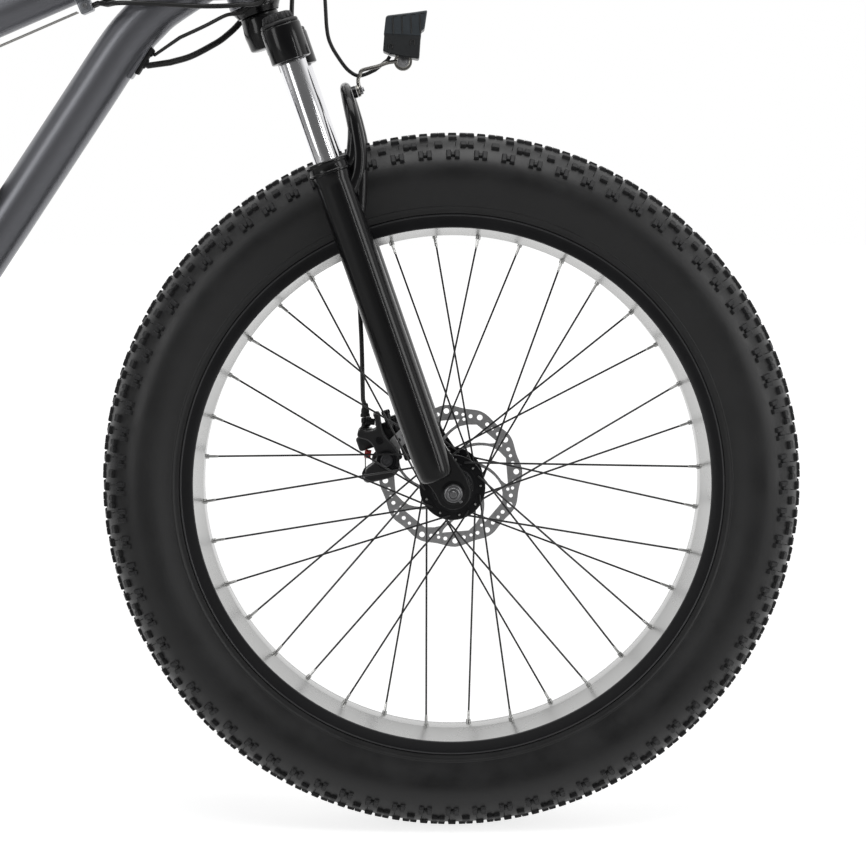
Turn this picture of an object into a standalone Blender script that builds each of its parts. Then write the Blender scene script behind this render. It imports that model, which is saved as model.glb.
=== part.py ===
"""Electric bicycle with 26 x 4.0 tyres, a suspension fork and a rear hub motor.

Metres. +X points to the front wheel, +Y to the rider's left, +Z up.
The origin lies on the ground, midway between the two axles.
"""

import math

import bmesh
import bpy
from mathutils import Matrix, Vector

# Overall layout
WHEELBASE = 1.160
HEAD_TILT = math.radians(19.0)
RAKE = 0.030
GAP = 0.0003
ROUND = 16

# Wheels
TYRE_RADIUS = 0.3688
TYRE_HALF_WIDTH = 0.0505
TYRE_WALL = 0.004
WHEEL_STEPS = 32
RIM_RADIUS = 0.2850
RIM_HALF_WIDTH = 0.0400
RIM_LIP_DEPTH = 0.0138
RIM_BED_DEPTH = 0.0227
SPOKE_RADIUS = 0.0013
SPOKES_PER_SIDE = 18
SPOKE_LEAN = math.radians(60.0)
NIPPLE_OFFSET = 0.010
FIRST_NIPPLE = math.radians(3.3)

# Front hub, axle and brake
DROPOUT_INNER = 0.0680
DROPOUT_THICKNESS = 0.0100
AXLE_RADIUS = 0.0045
HUB_FLANGE_RADIUS = 0.0345
HUB_FLANGE_FACE = 0.0378
SPOKE_CIRCLE = 0.0295
ROTOR_RADIUS = 0.0765
ROTOR_WAVE = 0.0012
ROTOR_THICKNESS = 0.0018
ROTOR_Y = 0.0545

CAM_SEAT_LENGTH = 0.0068
QR_BARREL_RADIUS = 0.0065
QR_BLADE_LENGTH = 0.047
CALIPER = (-0.036, 0.040)
CALIPER_ARM_Y = 0.0745
CALIPER_SLOT = 0.0022
BARREL_TOP = 0.0620

# Fork
LEG_OFFSET = 0.019
LEG_Y = 0.077
LEG_RADIUS = 0.019
LEG_BOTTOM = 0.022
LEG_TOP = 0.3500
SEAL_TOP = 0.3625
SEAL_RADIUS = 0.0225
STANCHION_RADIUS = 0.0140
STANCHION_BOTTOM = 0.205
FORK_TRAVEL = 0.080
ARCH_RADIUS = 0.0090
ARCH_TOP = 0.4250
ARCH_FORWARD = 0.0560
CROWN_BOTTOM = 0.4685
CROWN_TOP = 0.5050
CROWN_RADIUS = 0.0205
CAP_HEIGHT = 0.0120
CROWN_RACE = 0.5280
STEERER_RADIUS = 0.0143
HEAD_BOTTOM = 0.5390
HEAD_TOP = 0.6800
HEAD_RADIUS = 0.0265
STEM_TOP = HEAD_TOP + 0.0650

# Headlight: its side outline is measured from the hinge bolt
LAMP_BOLT_P = 0.0720
LAMP_HINGE = (-0.0511, 0.0, 0.4415)
LAMP_BOLT_RADIUS = 0.0024
LAMP_WIDTH = 0.046
LAMP_SIDE = (
    (-0.0208, 0.0102),
    (-0.0176, 0.0440),
    (-0.0150, 0.0465),
    (0.0249, 0.0515),
    (0.0222, 0.0328),
    (0.0190, 0.0300),
    (0.0169, 0.0021),
    (-0.0127, 0.0070),
)

# Cockpit
BAR_RADIUS = 0.0111
BAR_CLAMP_FORWARD = 0.070
BAR_CLAMP_HEIGHT = 0.752
BAR_RISE = 0.045
BAR_SWEEP = 0.033
BAR_BEND_Y = 0.150
BAR_END_Y = 0.340
GRIP_RADIUS = 0.0165
GRIP_LENGTH = 0.118
THROTTLE_LENGTH = 0.034
LEVER_CLAMP_Y = 0.196
LEVER_FORWARD = 0.030
SHIFT_PIVOT_DROP = 0.0358
DISPLAY_SIZE = (0.052, 0.084, 0.014)
DISPLAY_TILT = math.radians(14.0)

# Frame
BRACKET_X = -0.100
BRACKET_Z = 0.325
BRACKET_HALF = 0.050
BRACKET_RADIUS = 0.0215
SEAT_TILT = math.radians(17.0)
SEAT_TUBE_RADIUS = 0.0168
SEAT_TUBE_LENGTH = 0.460
SEAT_POST_RADIUS = 0.0136
DOWN_TUBE_RADIUS = 0.0250
DOWN_TUBE_FOOT = (0.01234, 0.01985)
DOWN_TUBE_BEND = (-0.4350, 0.3197)
DOWN_TUBE_HEAD = 0.376
TOP_TUBE_RADIUS = 0.0205
TOP_TUBE_HEAD = 0.0475
TOP_TUBE_SEAT = 0.0512
STAY_RADIUS = 0.0090
REAR_DROPOUT_INNER = 0.0880
REAR_DROPOUT_THICKNESS = 0.0070
REAR_TAB_Y = 0.0880
REAR_CALIPER = (0.060, 0.0700, 0.036)
REAR_CALIPER_TURN = math.radians(32.0)
REAR_CALIPER_SIZE = (0.040, 0.0270, 0.036)
KICKSTAND_REACH = (0.175, 0.1000, -0.0458)
KICKSTAND_STEP = (0.030, 0.1350)

# Cables, their port in the down tube and their stops under the top tube
HOUSING = 0.0025
WIRE = 0.0008
THIN_CABLE = 0.0020
HARNESS_CABLE = 0.0034
PORT_REACH = (-0.3197, 0.0, 0.4424)
PORT_TILT = math.radians(32.5)
PORT_SIZE = (0.0320, 0.0160, 0.0056)
PORT_HOLE_DEPTH = 0.0038
THIN_PLACE = 0.0112
HARNESS_PLACE = -0.0018
STOP_REACH = (-0.3790, 0.0, 0.4975)
STOP_Y = 0.0048
STOP_DROP = 0.0078
STOP_HEIGHT = 0.0145
STOP_LENGTH = 0.014
REAR_STOP = 0.385
REAR_STOP_LENGTH = 0.012

# Battery
BATTERY_START = 0.105
BATTERY_LENGTH = 0.285
BATTERY_HEIGHT = 0.068
BATTERY_WIDTH = 0.086
RAIL_HEIGHT = 0.012
RAIL_WIDTH = 0.040

# Saddle
POST_TOP = 0.615
SADDLE_LENGTH = 0.270
SADDLE_WIDTH = 0.180

# Drive
CHAIN_LINE = 0.0720
CHAIN_PITCH = 0.0127
CHAIN_HEIGHT = 0.0080
PLATE_THICKNESS = 0.0013
CHAIN_INNER_HALF = 0.0016
RING_TEETH = 44
COG_TEETH = (28, 24, 20, 17, 14)
COG_USED = 2
COG_SPACING = 0.0048
TOOTH_THICKNESS = 0.0020
CRANK_LENGTH = 0.170
PULLEY_RADIUS = 0.0200
GUIDE_REACH = (0.003, -0.0848)
TENSION_REACH = (0.024, -0.1568)
CAGE_OUTER = 0.0795
SPINDLE_RADIUS = 0.0095
REAR_AXLE_RADIUS = 0.0060
MOTOR_RADIUS = 0.0780
MOTOR_FLANGE_RADIUS = 0.0880
MOTOR_HALF_WIDTH = 0.0500
MOTOR_SPOKE_LEAN = math.radians(8.0)
REAR_ROTOR_Y = 0.0700

FRONT_AXLE = Vector((WHEELBASE / 2, 0.0, TYRE_RADIUS))
REAR_AXLE = Vector((-WHEELBASE / 2, 0.0, TYRE_RADIUS))
X_AXIS = Vector((1.0, 0.0, 0.0))
Y_AXIS = Vector((0.0, 1.0, 0.0))
Z_AXIS = Vector((0.0, 0.0, 1.0))
STEER_AXIS = Vector((-math.sin(HEAD_TILT), 0.0, math.cos(HEAD_TILT)))
FORK_FORWARD = Vector((math.cos(HEAD_TILT), 0.0, math.sin(HEAD_TILT)))
STEER_FOOT = FRONT_AXLE - FORK_FORWARD * RAKE
BRACKET = Vector((BRACKET_X, 0.0, BRACKET_Z))

# Measured from the axles
DOWN_START = BRACKET + Vector((DOWN_TUBE_FOOT[0], 0.0, DOWN_TUBE_FOOT[1]))
DOWN_BEND = FRONT_AXLE + Vector((DOWN_TUBE_BEND[0], 0.0, DOWN_TUBE_BEND[1]))
PORT_MIDDLE = FRONT_AXLE + Vector(PORT_REACH)
STOP_PLACE = FRONT_AXLE + Vector(STOP_REACH)
GUIDE_PULLEY = (REAR_AXLE.x + GUIDE_REACH[0], REAR_AXLE.z + GUIDE_REACH[1])
TENSION_PULLEY = (REAR_AXLE.x + TENSION_REACH[0], REAR_AXLE.z + TENSION_REACH[1])
KICKSTAND_PIVOT = REAR_AXLE + Vector(KICKSTAND_REACH)
KICKSTAND_FOOT = Vector(
    (KICKSTAND_PIVOT.x + KICKSTAND_STEP[0], KICKSTAND_PIVOT.y + KICKSTAND_STEP[1], 0.0)
)

# The top tube runs between a place on the seat tube and one on the head tube
SEAT_ALONG = Vector((-math.sin(SEAT_TILT), 0.0, math.cos(SEAT_TILT)))
TOP_START = BRACKET + SEAT_ALONG * (SEAT_TUBE_LENGTH - TOP_TUBE_SEAT)
TOP_END = STEER_FOOT + STEER_AXIS * (HEAD_TOP - TOP_TUBE_HEAD)

# Axes of the fork, the display, the tubes and the rear caliper, as columns
FORK_AXES = Matrix((FORK_FORWARD, Y_AXIS, STEER_AXIS)).transposed()
DISPLAY_AXES = Matrix.Rotation(-DISPLAY_TILT, 3, "Y") @ FORK_AXES
DOWN_ALONG = (DOWN_BEND - DOWN_START).normalized()
DOWN_ABOVE = DOWN_ALONG.cross(Y_AXIS)
DOWN_AXES = Matrix((DOWN_ALONG, Y_AXIS, DOWN_ABOVE)).transposed()
TOP_ALONG = (TOP_END - TOP_START).normalized()
TOP_BELOW = TOP_ALONG.cross(Y_AXIS) * -1.0
TOP_AXES = Matrix((TOP_ALONG, Y_AXIS, TOP_BELOW)).transposed()
REAR_CALIPER_AXES = Matrix.Rotation(-REAR_CALIPER_TURN, 3, "Y")

# Places that follow from the sizes above
WHEEL_PHASE = math.pi / WHEEL_STEPS
FACET = 1.0 / math.cos(WHEEL_PHASE)
DROPOUT_OUTER = DROPOUT_INNER + DROPOUT_THICKNESS
QR_Y = DROPOUT_OUTER + 2 * GAP + CAM_SEAT_LENGTH + QR_BARREL_RADIUS
REAR_DROPOUT_OUTER = REAR_DROPOUT_INNER + REAR_DROPOUT_THICKNESS
LAMP_PIVOT = FRONT_AXLE + Vector(LAMP_HINGE)
CALIPER_WIRE = FRONT_AXLE + Vector((-0.0930, CALIPER_ARM_Y, 0.0))
CALIPER_ARM_TIP = FRONT_AXLE + Vector((-0.0900, CALIPER_ARM_Y, -0.0040))

PAINTS = {
    "frame_grey": ((0.105, 0.108, 0.125), 0.35, 0.7),
    "gloss_black": ((0.008, 0.008, 0.009), 0.15, 0.0),
    "satin_black": ((0.015, 0.015, 0.016), 0.45, 0.0),
    "chrome": ((0.80, 0.80, 0.82), 0.08, 1.0),
    "steel": ((0.42, 0.42, 0.43), 0.30, 1.0),
    "silver": ((0.62, 0.62, 0.61), 0.30, 1.0),
    "tyre_rubber": ((0.020, 0.020, 0.021), 0.75, 0.0),
    "black_rubber": ((0.014, 0.014, 0.014), 0.70, 0.0),
    "lamp_cover": ((0.035, 0.045, 0.050), 0.40, 0.0),
    "saddle_skin": ((0.012, 0.012, 0.012), 0.55, 0.0),
}


def clear_scene():
    """Remove what the scene holds, so that the script can run twice."""
    for old in list(bpy.data.objects):
        bpy.data.objects.remove(old)


def make_collection(name):
    collection = bpy.data.collections.new(name)
    bpy.context.scene.collection.children.link(collection)
    return collection


def make_materials():
    """One Principled material for each finish."""
    made = {}
    for name, (colour, roughness, metallic) in PAINTS.items():
        material = bpy.data.materials.new(name)
        material.use_nodes = True
        shader = material.node_tree.nodes["Principled BSDF"]
        shader.inputs["Base Color"].default_value = (*colour, 1.0)
        shader.inputs["Roughness"].default_value = roughness
        shader.inputs["Metallic"].default_value = metallic
        material.diffuse_color = (*colour, 1.0)
        made[name] = material
    return made


clear_scene()
PARTS = make_collection("electric_bicycle")
CUTTERS = make_collection("cutters")
MATERIALS = make_materials()


# Shapes


def finish_mesh(name, bm):
    """An object in the cutters' collection; part() moves it out when it becomes a piece."""
    bm.normal_update()
    bmesh.ops.recalc_face_normals(bm, faces=bm.faces)
    mesh = bpy.data.meshes.new(name)
    bm.to_mesh(mesh)
    bm.free()
    obj = bpy.data.objects.new(name, mesh)
    CUTTERS.objects.link(obj)
    obj.hide_render = True
    obj.display_type = "WIRE"
    return obj


def facing(direction, up=None):
    """A rotation whose Z runs along direction, and whose X lies nearest to up."""
    z = Vector(direction).normalized()
    guide = Vector(up) if up else (X_AXIS if abs(z.x) < 0.9 else Y_AXIS)
    y = z.cross(guide).normalized()
    x = y.cross(z)
    return Matrix((x, y, z)).transposed().to_4x4()


def cylinder(start, end, radius, sides=ROUND, end_radius=None, up=None):
    start = Vector(start)
    end = Vector(end)
    bm = bmesh.new()
    place = Matrix.Translation((start + end) / 2) @ facing(end - start, up)
    bmesh.ops.create_cone(
        bm,
        cap_ends=True,
        segments=sides,
        radius1=radius,
        radius2=radius if end_radius is None else end_radius,
        depth=(end - start).length,
        matrix=place,
    )
    return finish_mesh("cylinder", bm)


def block(centre, size, frame=None, bevel=0.0):
    """A box of the given size about centre, along the axes of frame."""
    bm = bmesh.new()
    turn = frame.to_3x3().to_4x4() if frame else Matrix.Identity(4)
    bmesh.ops.create_cube(bm, size=1.0, matrix=Matrix.Diagonal((*size, 1.0)))
    if bevel:
        bmesh.ops.bevel(
            bm, geom=bm.edges, offset=bevel, segments=1, profile=0.5, affect="EDGES"
        )
    bm.transform(Matrix.Translation(Vector(centre)) @ turn)
    return finish_mesh("block", bm)


def turned(profile, frame, steps, ring=True):
    """A (radius, height) profile turned with a Screw about the Z axis of frame."""
    bm = bmesh.new()
    points = [bm.verts.new((r, 0.0, z)) for r, z in profile]
    for first, second in zip(points, points[1:]):
        bm.edges.new((first, second))
    if ring:
        bm.edges.new((points[-1], points[0]))
    obj = finish_mesh("turned", bm)
    screw = obj.modifiers.new("Screw", "SCREW")
    screw.axis = "Z"
    screw.steps = steps
    screw.render_steps = steps
    screw.use_merge_vertices = True
    screw.merge_threshold = 0.00001
    bake(obj)
    bm = bmesh.new()
    bm.from_mesh(obj.data)
    bmesh.ops.remove_doubles(bm, verts=bm.verts, dist=0.000002)
    bm.transform(frame)
    bm.normal_update()
    bmesh.ops.recalc_face_normals(bm, faces=bm.faces)
    bm.to_mesh(obj.data)
    bm.free()
    return obj


def tube(points, radius, resolution=2, factors=None):
    """A round tube through the points; factors scale its radius point by point."""
    curve = bpy.data.curves.new("tube", "CURVE")
    curve.dimensions = "3D"
    curve.bevel_depth = radius
    curve.bevel_resolution = resolution
    curve.use_fill_caps = True
    spline = curve.splines.new("POLY")
    spline.points.add(len(points) - 1)
    for index, point in enumerate(points):
        spline.points[index].co = (*point, 1.0)
        spline.points[index].radius = factors[index] if factors else 1.0
    return curve_to_mesh(curve)


def plate(outlines, thickness, frame):
    """Flat outlines, the first one the rim and the rest holes, as a plate about frame's XY plane."""
    curve = bpy.data.curves.new("plate", "CURVE")
    curve.dimensions = "2D"
    curve.fill_mode = "BOTH"
    curve.extrude = thickness / 2
    for outline in outlines:
        spline = curve.splines.new("POLY")
        spline.points.add(len(outline) - 1)
        spline.use_cyclic_u = True
        for index, (x, y) in enumerate(outline):
            spline.points[index].co = (x, y, 0.0, 1.0)
    return curve_to_mesh(curve, frame)


def curve_to_mesh(curve, frame=None):
    helper = bpy.data.objects.new("curve", curve)
    CUTTERS.objects.link(helper)
    graph = bpy.context.evaluated_depsgraph_get()
    mesh = bpy.data.meshes.new_from_object(helper.evaluated_get(graph))
    bpy.data.objects.remove(helper)
    bm = bmesh.new()
    bm.from_mesh(mesh)
    bmesh.ops.remove_doubles(bm, verts=bm.verts, dist=0.00001)
    if frame:
        bm.transform(frame)
    return finish_mesh("curve", bm)


def bake(obj):
    """Keep what the modifiers make, as the object's own mesh."""
    graph = bpy.context.evaluated_depsgraph_get()
    mesh = bpy.data.meshes.new_from_object(obj.evaluated_get(graph))
    obj.modifiers.clear()
    obj.data = mesh


def boolean(obj, tools, operation):
    for tool in tools:
        modifier = obj.modifiers.new(operation, "BOOLEAN")
        modifier.operation = operation
        modifier.solver = "EXACT"
        modifier.object = tool
    bake(obj)
    for tool in tools:
        bpy.data.objects.remove(tool)
    return obj


def join(obj, *tools):
    return boolean(obj, tools, "UNION")


def cut(obj, *tools):
    return boolean(obj, tools, "DIFFERENCE")


def part(obj, name, material, pivot=None):
    """Turn a finished shape into the named piece, carried by its pivot empty."""
    obj.name = name
    obj.data.name = name
    CUTTERS.objects.unlink(obj)
    PARTS.objects.link(obj)
    obj.hide_render = False
    obj.display_type = "TEXTURED"
    obj.data.materials.clear()
    obj.data.materials.append(MATERIALS[material])
    obj.data.shade_smooth()
    obj.data.set_sharp_from_angle(angle=math.radians(35.0))
    if pivot:
        obj.data.transform(pivot.matrix_world.inverted())
        obj.parent = pivot
    return obj


def pivot_at(name, place, direction, parent=None):
    """An empty on a joint: its Z is the joint's axis."""
    empty = bpy.data.objects.new(name, None)
    empty.empty_display_size = 0.03
    PARTS.objects.link(empty)
    world = Matrix.Translation(Vector(place)) @ facing(direction)
    if parent:
        empty.parent = parent
        empty.matrix_basis = parent.matrix_world.inverted() @ world
    else:
        empty.matrix_basis = world
    bpy.context.view_layer.update()
    return empty


# Places


def fork(p, y, s):
    """A point given by its distance ahead of the steering axis, to the left, and up along it."""
    return STEER_FOOT + FORK_FORWARD * p + Y_AXIS * y + STEER_AXIS * s


def wheel_frame(centre, phase=0.0):
    """Local Z along the axle, towards the rider's left."""
    turn = Matrix.Rotation(-math.pi / 2, 4, "X") @ Matrix.Rotation(phase, 4, "Z")
    return Matrix.Translation(centre) @ turn


def down_line(distance, outwards=0.0):
    """Along the down tube from its lower end, and out of its upper side."""
    return DOWN_START + DOWN_ALONG * distance + DOWN_ABOVE * outwards


def seat_line(distance):
    return BRACKET + SEAT_ALONG * distance


def from_axle(x, y, z):
    return FRONT_AXLE + Vector((x, y, z))


def from_rear_axle(x, y, z):
    return REAR_AXLE + Vector((x, y, z))


def from_stays(x, y, z):
    """A point given from where the seat stays meet the seat tube."""
    return seat_line(SEAT_TUBE_LENGTH - 0.050) + Vector((x, y, z))


def rising(p, y, share):
    """A point on a cable's way from the head tube's lower end, 0, to the handlebar's height, 1."""
    return fork(p, y, HEAD_BOTTOM + (BAR_CLAMP_HEIGHT - HEAD_BOTTOM) * share)


def along_axes(direction):
    """Columns: along direction, across the bicycle, and square to both."""
    along = direction.normalized()
    return Matrix((along, Y_AXIS, along.cross(Y_AXIS))).transposed()


def bar_point(side, distance):
    """A point on the straight outer part of the handlebar; 0 at its bend, 1 at its end."""
    bend = Vector((BAR_CLAMP_FORWARD, side * BAR_BEND_Y, BAR_CLAMP_HEIGHT + BAR_RISE))
    end = Vector((BAR_CLAMP_FORWARD - BAR_SWEEP, side * BAR_END_Y, BAR_CLAMP_HEIGHT + BAR_RISE))
    return fork(*bend.lerp(end, distance))


def bar_at(side, y):
    return bar_point(side, (y - BAR_BEND_Y) / (BAR_END_Y - BAR_BEND_Y))


def bar_axes(side):
    """Unit vectors at one hand: outwards along the bar, forwards, and up."""
    out = (bar_point(side, 1.0) - bar_point(side, 0.0)).normalized()
    up = (Z_AXIS - out * Z_AXIS.dot(out)).normalized()
    ahead = up.cross(out) * -side
    if ahead.x < 0:
        ahead = -ahead
    return out, ahead, up


def smooth_route(points, per_span=4):
    """Points read from a Catmull-Rom curve through the route's own points."""
    route = [Vector(p) for p in points]
    ends = [route[0] * 2 - route[1], *route, route[-1] * 2 - route[-2]]
    out = []
    for a, b, c, d in zip(ends, ends[1:], ends[2:], ends[3:]):
        for step in range(per_span):
            t = step / per_span
            out.append(
                0.5
                * (
                    2 * b
                    + (c - a) * t
                    + (2 * a - 5 * b + 4 * c - d) * t**2
                    + (3 * b - a - 3 * c + d) * t**3
                )
            )
    out.append(route[-1])
    return out


def circle(radius, count):
    turn = math.tau / count
    return [(radius * math.cos(turn * i), radius * math.sin(turn * i)) for i in range(count)]


# Wheels


def make_tyre(centre):
    """An open shell with a flat crown, so that the bicycle stands, and two beads inside the rim."""
    bead = RIM_RADIUS + 0.0006
    outer = [
        (TYRE_RADIUS, 0.025),
        (TYRE_RADIUS - 0.012, 0.0435),
        (TYRE_RADIUS - 0.042, TYRE_HALF_WIDTH),
        (bead, RIM_HALF_WIDTH - 0.0003),
        (bead, RIM_HALF_WIDTH - 0.0032),
        (RIM_RADIUS - 0.0085, RIM_HALF_WIDTH - 0.0040),
    ]
    inner = [
        (RIM_RADIUS - 0.0085, RIM_HALF_WIDTH - 0.0085),
        (TYRE_RADIUS - 0.042, TYRE_HALF_WIDTH - TYRE_WALL),
        (TYRE_RADIUS - 0.003 - TYRE_WALL, 0.0240),
    ]
    half = outer + inner
    profile = half + [(r, -z) for r, z in reversed(half)]
    scaled = [(r * FACET, z) for r, z in profile]
    return turned(scaled, wheel_frame(centre, WHEEL_PHASE), WHEEL_STEPS)


def make_rim(centre):
    lip = RIM_RADIUS - RIM_LIP_DEPTH
    bed = RIM_RADIUS - RIM_BED_DEPTH
    half = [
        (RIM_RADIUS, RIM_HALF_WIDTH),
        (RIM_RADIUS, RIM_HALF_WIDTH - 0.0026),
        (RIM_RADIUS - 0.0095, RIM_HALF_WIDTH - 0.0034),
        (bed + 0.0050, 0.012),
    ]
    hub_side = [
        (bed, 0.012),
        (lip, RIM_HALF_WIDTH),
    ]
    profile = half + [(r, -z) for r, z in reversed(half)]
    profile += [(r, -z) for r, z in reversed(hub_side)] + hub_side
    scaled = [(r * FACET, z) for r, z in profile]
    return turned(scaled, wheel_frame(centre, WHEEL_PHASE), WHEEL_STEPS)


def spoke(frame, hub_angle, rim_angle, hub_radius, hub_y, rim_y):
    rim_end = RIM_RADIUS - RIM_BED_DEPTH - GAP - 0.0003
    start = Vector((hub_radius * math.cos(hub_angle), hub_radius * math.sin(hub_angle), hub_y))
    end = Vector((rim_end * math.cos(rim_angle), rim_end * math.sin(rim_angle), rim_y))
    return cylinder(frame @ start, frame @ end, SPOKE_RADIUS, sides=3)


def gather(shapes):
    """Several shapes that don't touch, as one object."""
    bm = bmesh.new()
    for shape in shapes:
        bm.from_mesh(shape.data)
        bpy.data.objects.remove(shape)
    return finish_mesh("gathered", bm)


def make_front_spokes(side):
    """Half leading and half trailing spokes of one flange, three crosses; they touch where they cross."""
    frame = wheel_frame(FRONT_AXLE)
    pitch = math.tau / SPOKES_PER_SIDE
    first = FIRST_NIPPLE + (0.0 if side < 0 else pitch / 2)
    families = []
    for family, lean in ((0, -SPOKE_LEAN), (1, SPOKE_LEAN)):
        spokes = []
        hub_y = side * (HUB_FLANGE_FACE + 0.0027 + 0.0004 * family)
        for index in range(family, SPOKES_PER_SIDE, 2):
            angle = -(first + index * pitch)
            spokes.append(spoke(frame, angle + lean, angle, SPOKE_CIRCLE, hub_y, side * NIPPLE_OFFSET))
        families.append(gather(spokes))
    return join(*families)


def make_front_hub():
    """Shell with two large flanges; the disc's seat and pilot are on the left."""
    end = DROPOUT_INNER - GAP
    seat = ROTOR_Y - ROTOR_THICKNESS / 2 - GAP
    face = HUB_FLANGE_FACE
    inside = face - 0.0033
    bore = AXLE_RADIUS + GAP
    profile = [
        (bore, end),
        (0.0110, end),
        (0.0110, seat + 0.0032),
        (0.0165, seat + 0.0032),
        (0.0165, seat),
        (0.0225, seat),
        (0.0225, seat - 0.0050),
        (0.0190, face),
        (HUB_FLANGE_RADIUS, face),
        (HUB_FLANGE_RADIUS, inside),
        (0.0190, inside),
        (0.0165, 0.0),
        (0.0190, -inside),
        (HUB_FLANGE_RADIUS, -inside),
        (HUB_FLANGE_RADIUS, -face),
        (0.0190, -face),
        (0.0135, -face - 0.0140),
        (0.0110, -end),
        (bore, -end),
    ]
    return turned(profile, wheel_frame(FRONT_AXLE), 14)


def make_rotor(centre, y):
    """Waved steel ring on six swept arms."""
    lobes = 12
    count = 36
    rim = []
    for index in range(count):
        angle = math.tau * index / count
        radius = ROTOR_RADIUS + ROTOR_WAVE * math.cos(lobes * angle)
        rim.append((radius * math.cos(angle), radius * math.sin(angle)))
    outlines = [rim, circle(0.0170, 18)]
    arms = 6
    sweep = math.radians(34.0)
    for arm in range(arms):
        base = math.tau * arm / arms
        low = [(0.0245, base + math.radians(a)) for a in (14, 46)]
        high = [(0.0610, base + sweep + math.radians(a)) for a in (54, 30, 6)]
        outlines.append([(r * math.cos(a), r * math.sin(a)) for r, a in low + high])
    frame = wheel_frame(centre) @ Matrix.Translation((0.0, 0.0, y))
    return plate(outlines, ROTOR_THICKNESS, frame)


def make_front_axle():
    """Spindle, domed nut on the right and cam seat on the left."""
    seat = DROPOUT_OUTER + GAP
    profile = [
        (0.0, seat + CAM_SEAT_LENGTH),
        (0.0085, seat + CAM_SEAT_LENGTH),
        (0.0085, seat),
        (AXLE_RADIUS, seat),
        (AXLE_RADIUS, -seat),
        (0.0095, -seat),
        (0.0095, -seat - 0.0080),
        (0.0070, -seat - 0.0100),
        (0.0, -seat - 0.0100),
    ]
    return turned(profile, wheel_frame(FRONT_AXLE), 16, ring=False)


def make_quick_release():
    """Cam barrel, a root inside the barrel's own radius and the blade, set outwards past the leg."""
    barrel = cylinder(fork(RAKE - 0.008, QR_Y, 0), fork(RAKE + 0.008, QR_Y, 0), QR_BARREL_RADIUS, 12)
    root = block(fork(RAKE, QR_Y + 0.0035, 0.006), (0.010, 0.0058, 0.012), FORK_AXES)
    place = fork(RAKE, QR_Y + 0.0072, 0.0102 + QR_BLADE_LENGTH / 2)
    blade = block(place, (0.012, 0.0036, QR_BLADE_LENGTH), FORK_AXES, 0.0008)
    return join(barrel, root, blade)


# Fork


def make_fork_lowers():
    """Two legs with their seals, the arch in front of them, dropouts and the brake tab."""
    legs = []
    profile = [
        (0.0, SEAL_TOP),
        (SEAL_RADIUS, SEAL_TOP),
        (SEAL_RADIUS, LEG_TOP),
        (LEG_RADIUS, LEG_TOP),
        (LEG_RADIUS, LEG_BOTTOM + 0.020),
        (LEG_RADIUS * 0.82, LEG_BOTTOM),
        (0.0, LEG_BOTTOM),
    ]
    for side in (-1, 1):
        y = side * LEG_Y
        place = Matrix.Translation(fork(LEG_OFFSET, y, 0.0)) @ facing(STEER_AXIS)
        leg = turned(profile, place, ROUND, ring=False)
        middle = side * (DROPOUT_INNER + DROPOUT_THICKNESS / 2)
        half = DROPOUT_THICKNESS / 2
        eye = cylinder(fork(RAKE, middle - half, 0), fork(RAKE, middle + half, 0), 0.0175)
        web = block(fork(0.0245, middle, 0.022), (0.030, DROPOUT_THICKNESS, 0.044), FORK_AXES)
        legs += [leg, eye, web]
    arch = tube(arch_route(), ARCH_RADIUS, resolution=2)
    tab = block(fork(-0.003, 0.068, 0.056), (0.018, 0.012, 0.052), FORK_AXES)
    bolt_s = ARCH_TOP - 0.004
    lamp_boss = cylinder(fork(ARCH_FORWARD, 0, bolt_s), fork(LAMP_BOLT_P - 0.0022, 0, bolt_s), 0.0065, 12)
    lowers = join(legs[0], *legs[1:], arch, tab, lamp_boss)
    tools = []
    bottom = STANCHION_BOTTOM - FORK_TRAVEL - 0.010
    for side in (-1, 1):
        tools.append(leg_cylinder(side, bottom, SEAL_TOP + 0.01, STANCHION_RADIUS + GAP))
    reach = DROPOUT_OUTER + 0.005
    slot = AXLE_RADIUS + GAP
    tools.append(cylinder(fork(RAKE, -reach, 0), fork(RAKE, reach, 0), slot))
    tools.append(block(fork(RAKE, 0, -0.0125), (2 * slot, 2 * reach, 0.025), FORK_AXES))
    return cut(lowers, *tools)


def arch_route():
    half = [
        (0.028, LEG_Y, 0.322),
        (0.045, LEG_Y, 0.338),
        (0.054, LEG_Y - 0.001, 0.372),
        (ARCH_FORWARD, LEG_Y - 0.012, 0.402),
        (ARCH_FORWARD, LEG_Y - 0.036, ARCH_TOP - 0.005),
    ]
    left = [fork(*point) for point in half]
    right = [fork(p, -y, s) for p, y, s in reversed(half)]
    return left + [fork(ARCH_FORWARD, 0.0, ARCH_TOP)] + right


def leg_cylinder(side, low, high, radius, sides=ROUND):
    """A cylinder on one leg's axis, between two heights along the steering axis."""
    y = side * LEG_Y
    return cylinder(fork(LEG_OFFSET, y, low), fork(LEG_OFFSET, y, high), radius, sides)


def make_stanchion(side):
    return leg_cylinder(side, STANCHION_BOTTOM, CROWN_TOP, STANCHION_RADIUS)


def make_crown():
    """Forged bridge between the two clamps, with the steerer tube."""
    bridge = block(fork(0.0115, 0, 0.4930), (0.026, 2 * LEG_Y, 0.021), FORK_AXES, 0.004)
    boss = cylinder(fork(0, 0, 0.498), fork(0, 0, CROWN_RACE), 0.0205, end_radius=0.0195)
    race = cylinder(fork(0, 0, CROWN_RACE - 0.001), fork(0, 0, STEM_TOP - 0.001), STEERER_RADIUS)
    clamps = [leg_cylinder(side, CROWN_BOTTOM, CROWN_TOP, CROWN_RADIUS) for side in (-1, 1)]
    crown = join(bridge, boss, race, *clamps)
    low = CROWN_BOTTOM - 0.01
    high = CROWN_TOP + 0.01
    bores = [leg_cylinder(side, low, high, STANCHION_RADIUS + GAP) for side in (-1, 1)]
    return cut(crown, cylinder(fork(0, 0, low), fork(0, 0, CROWN_RACE + 0.07), 0.0115), *bores)


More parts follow.
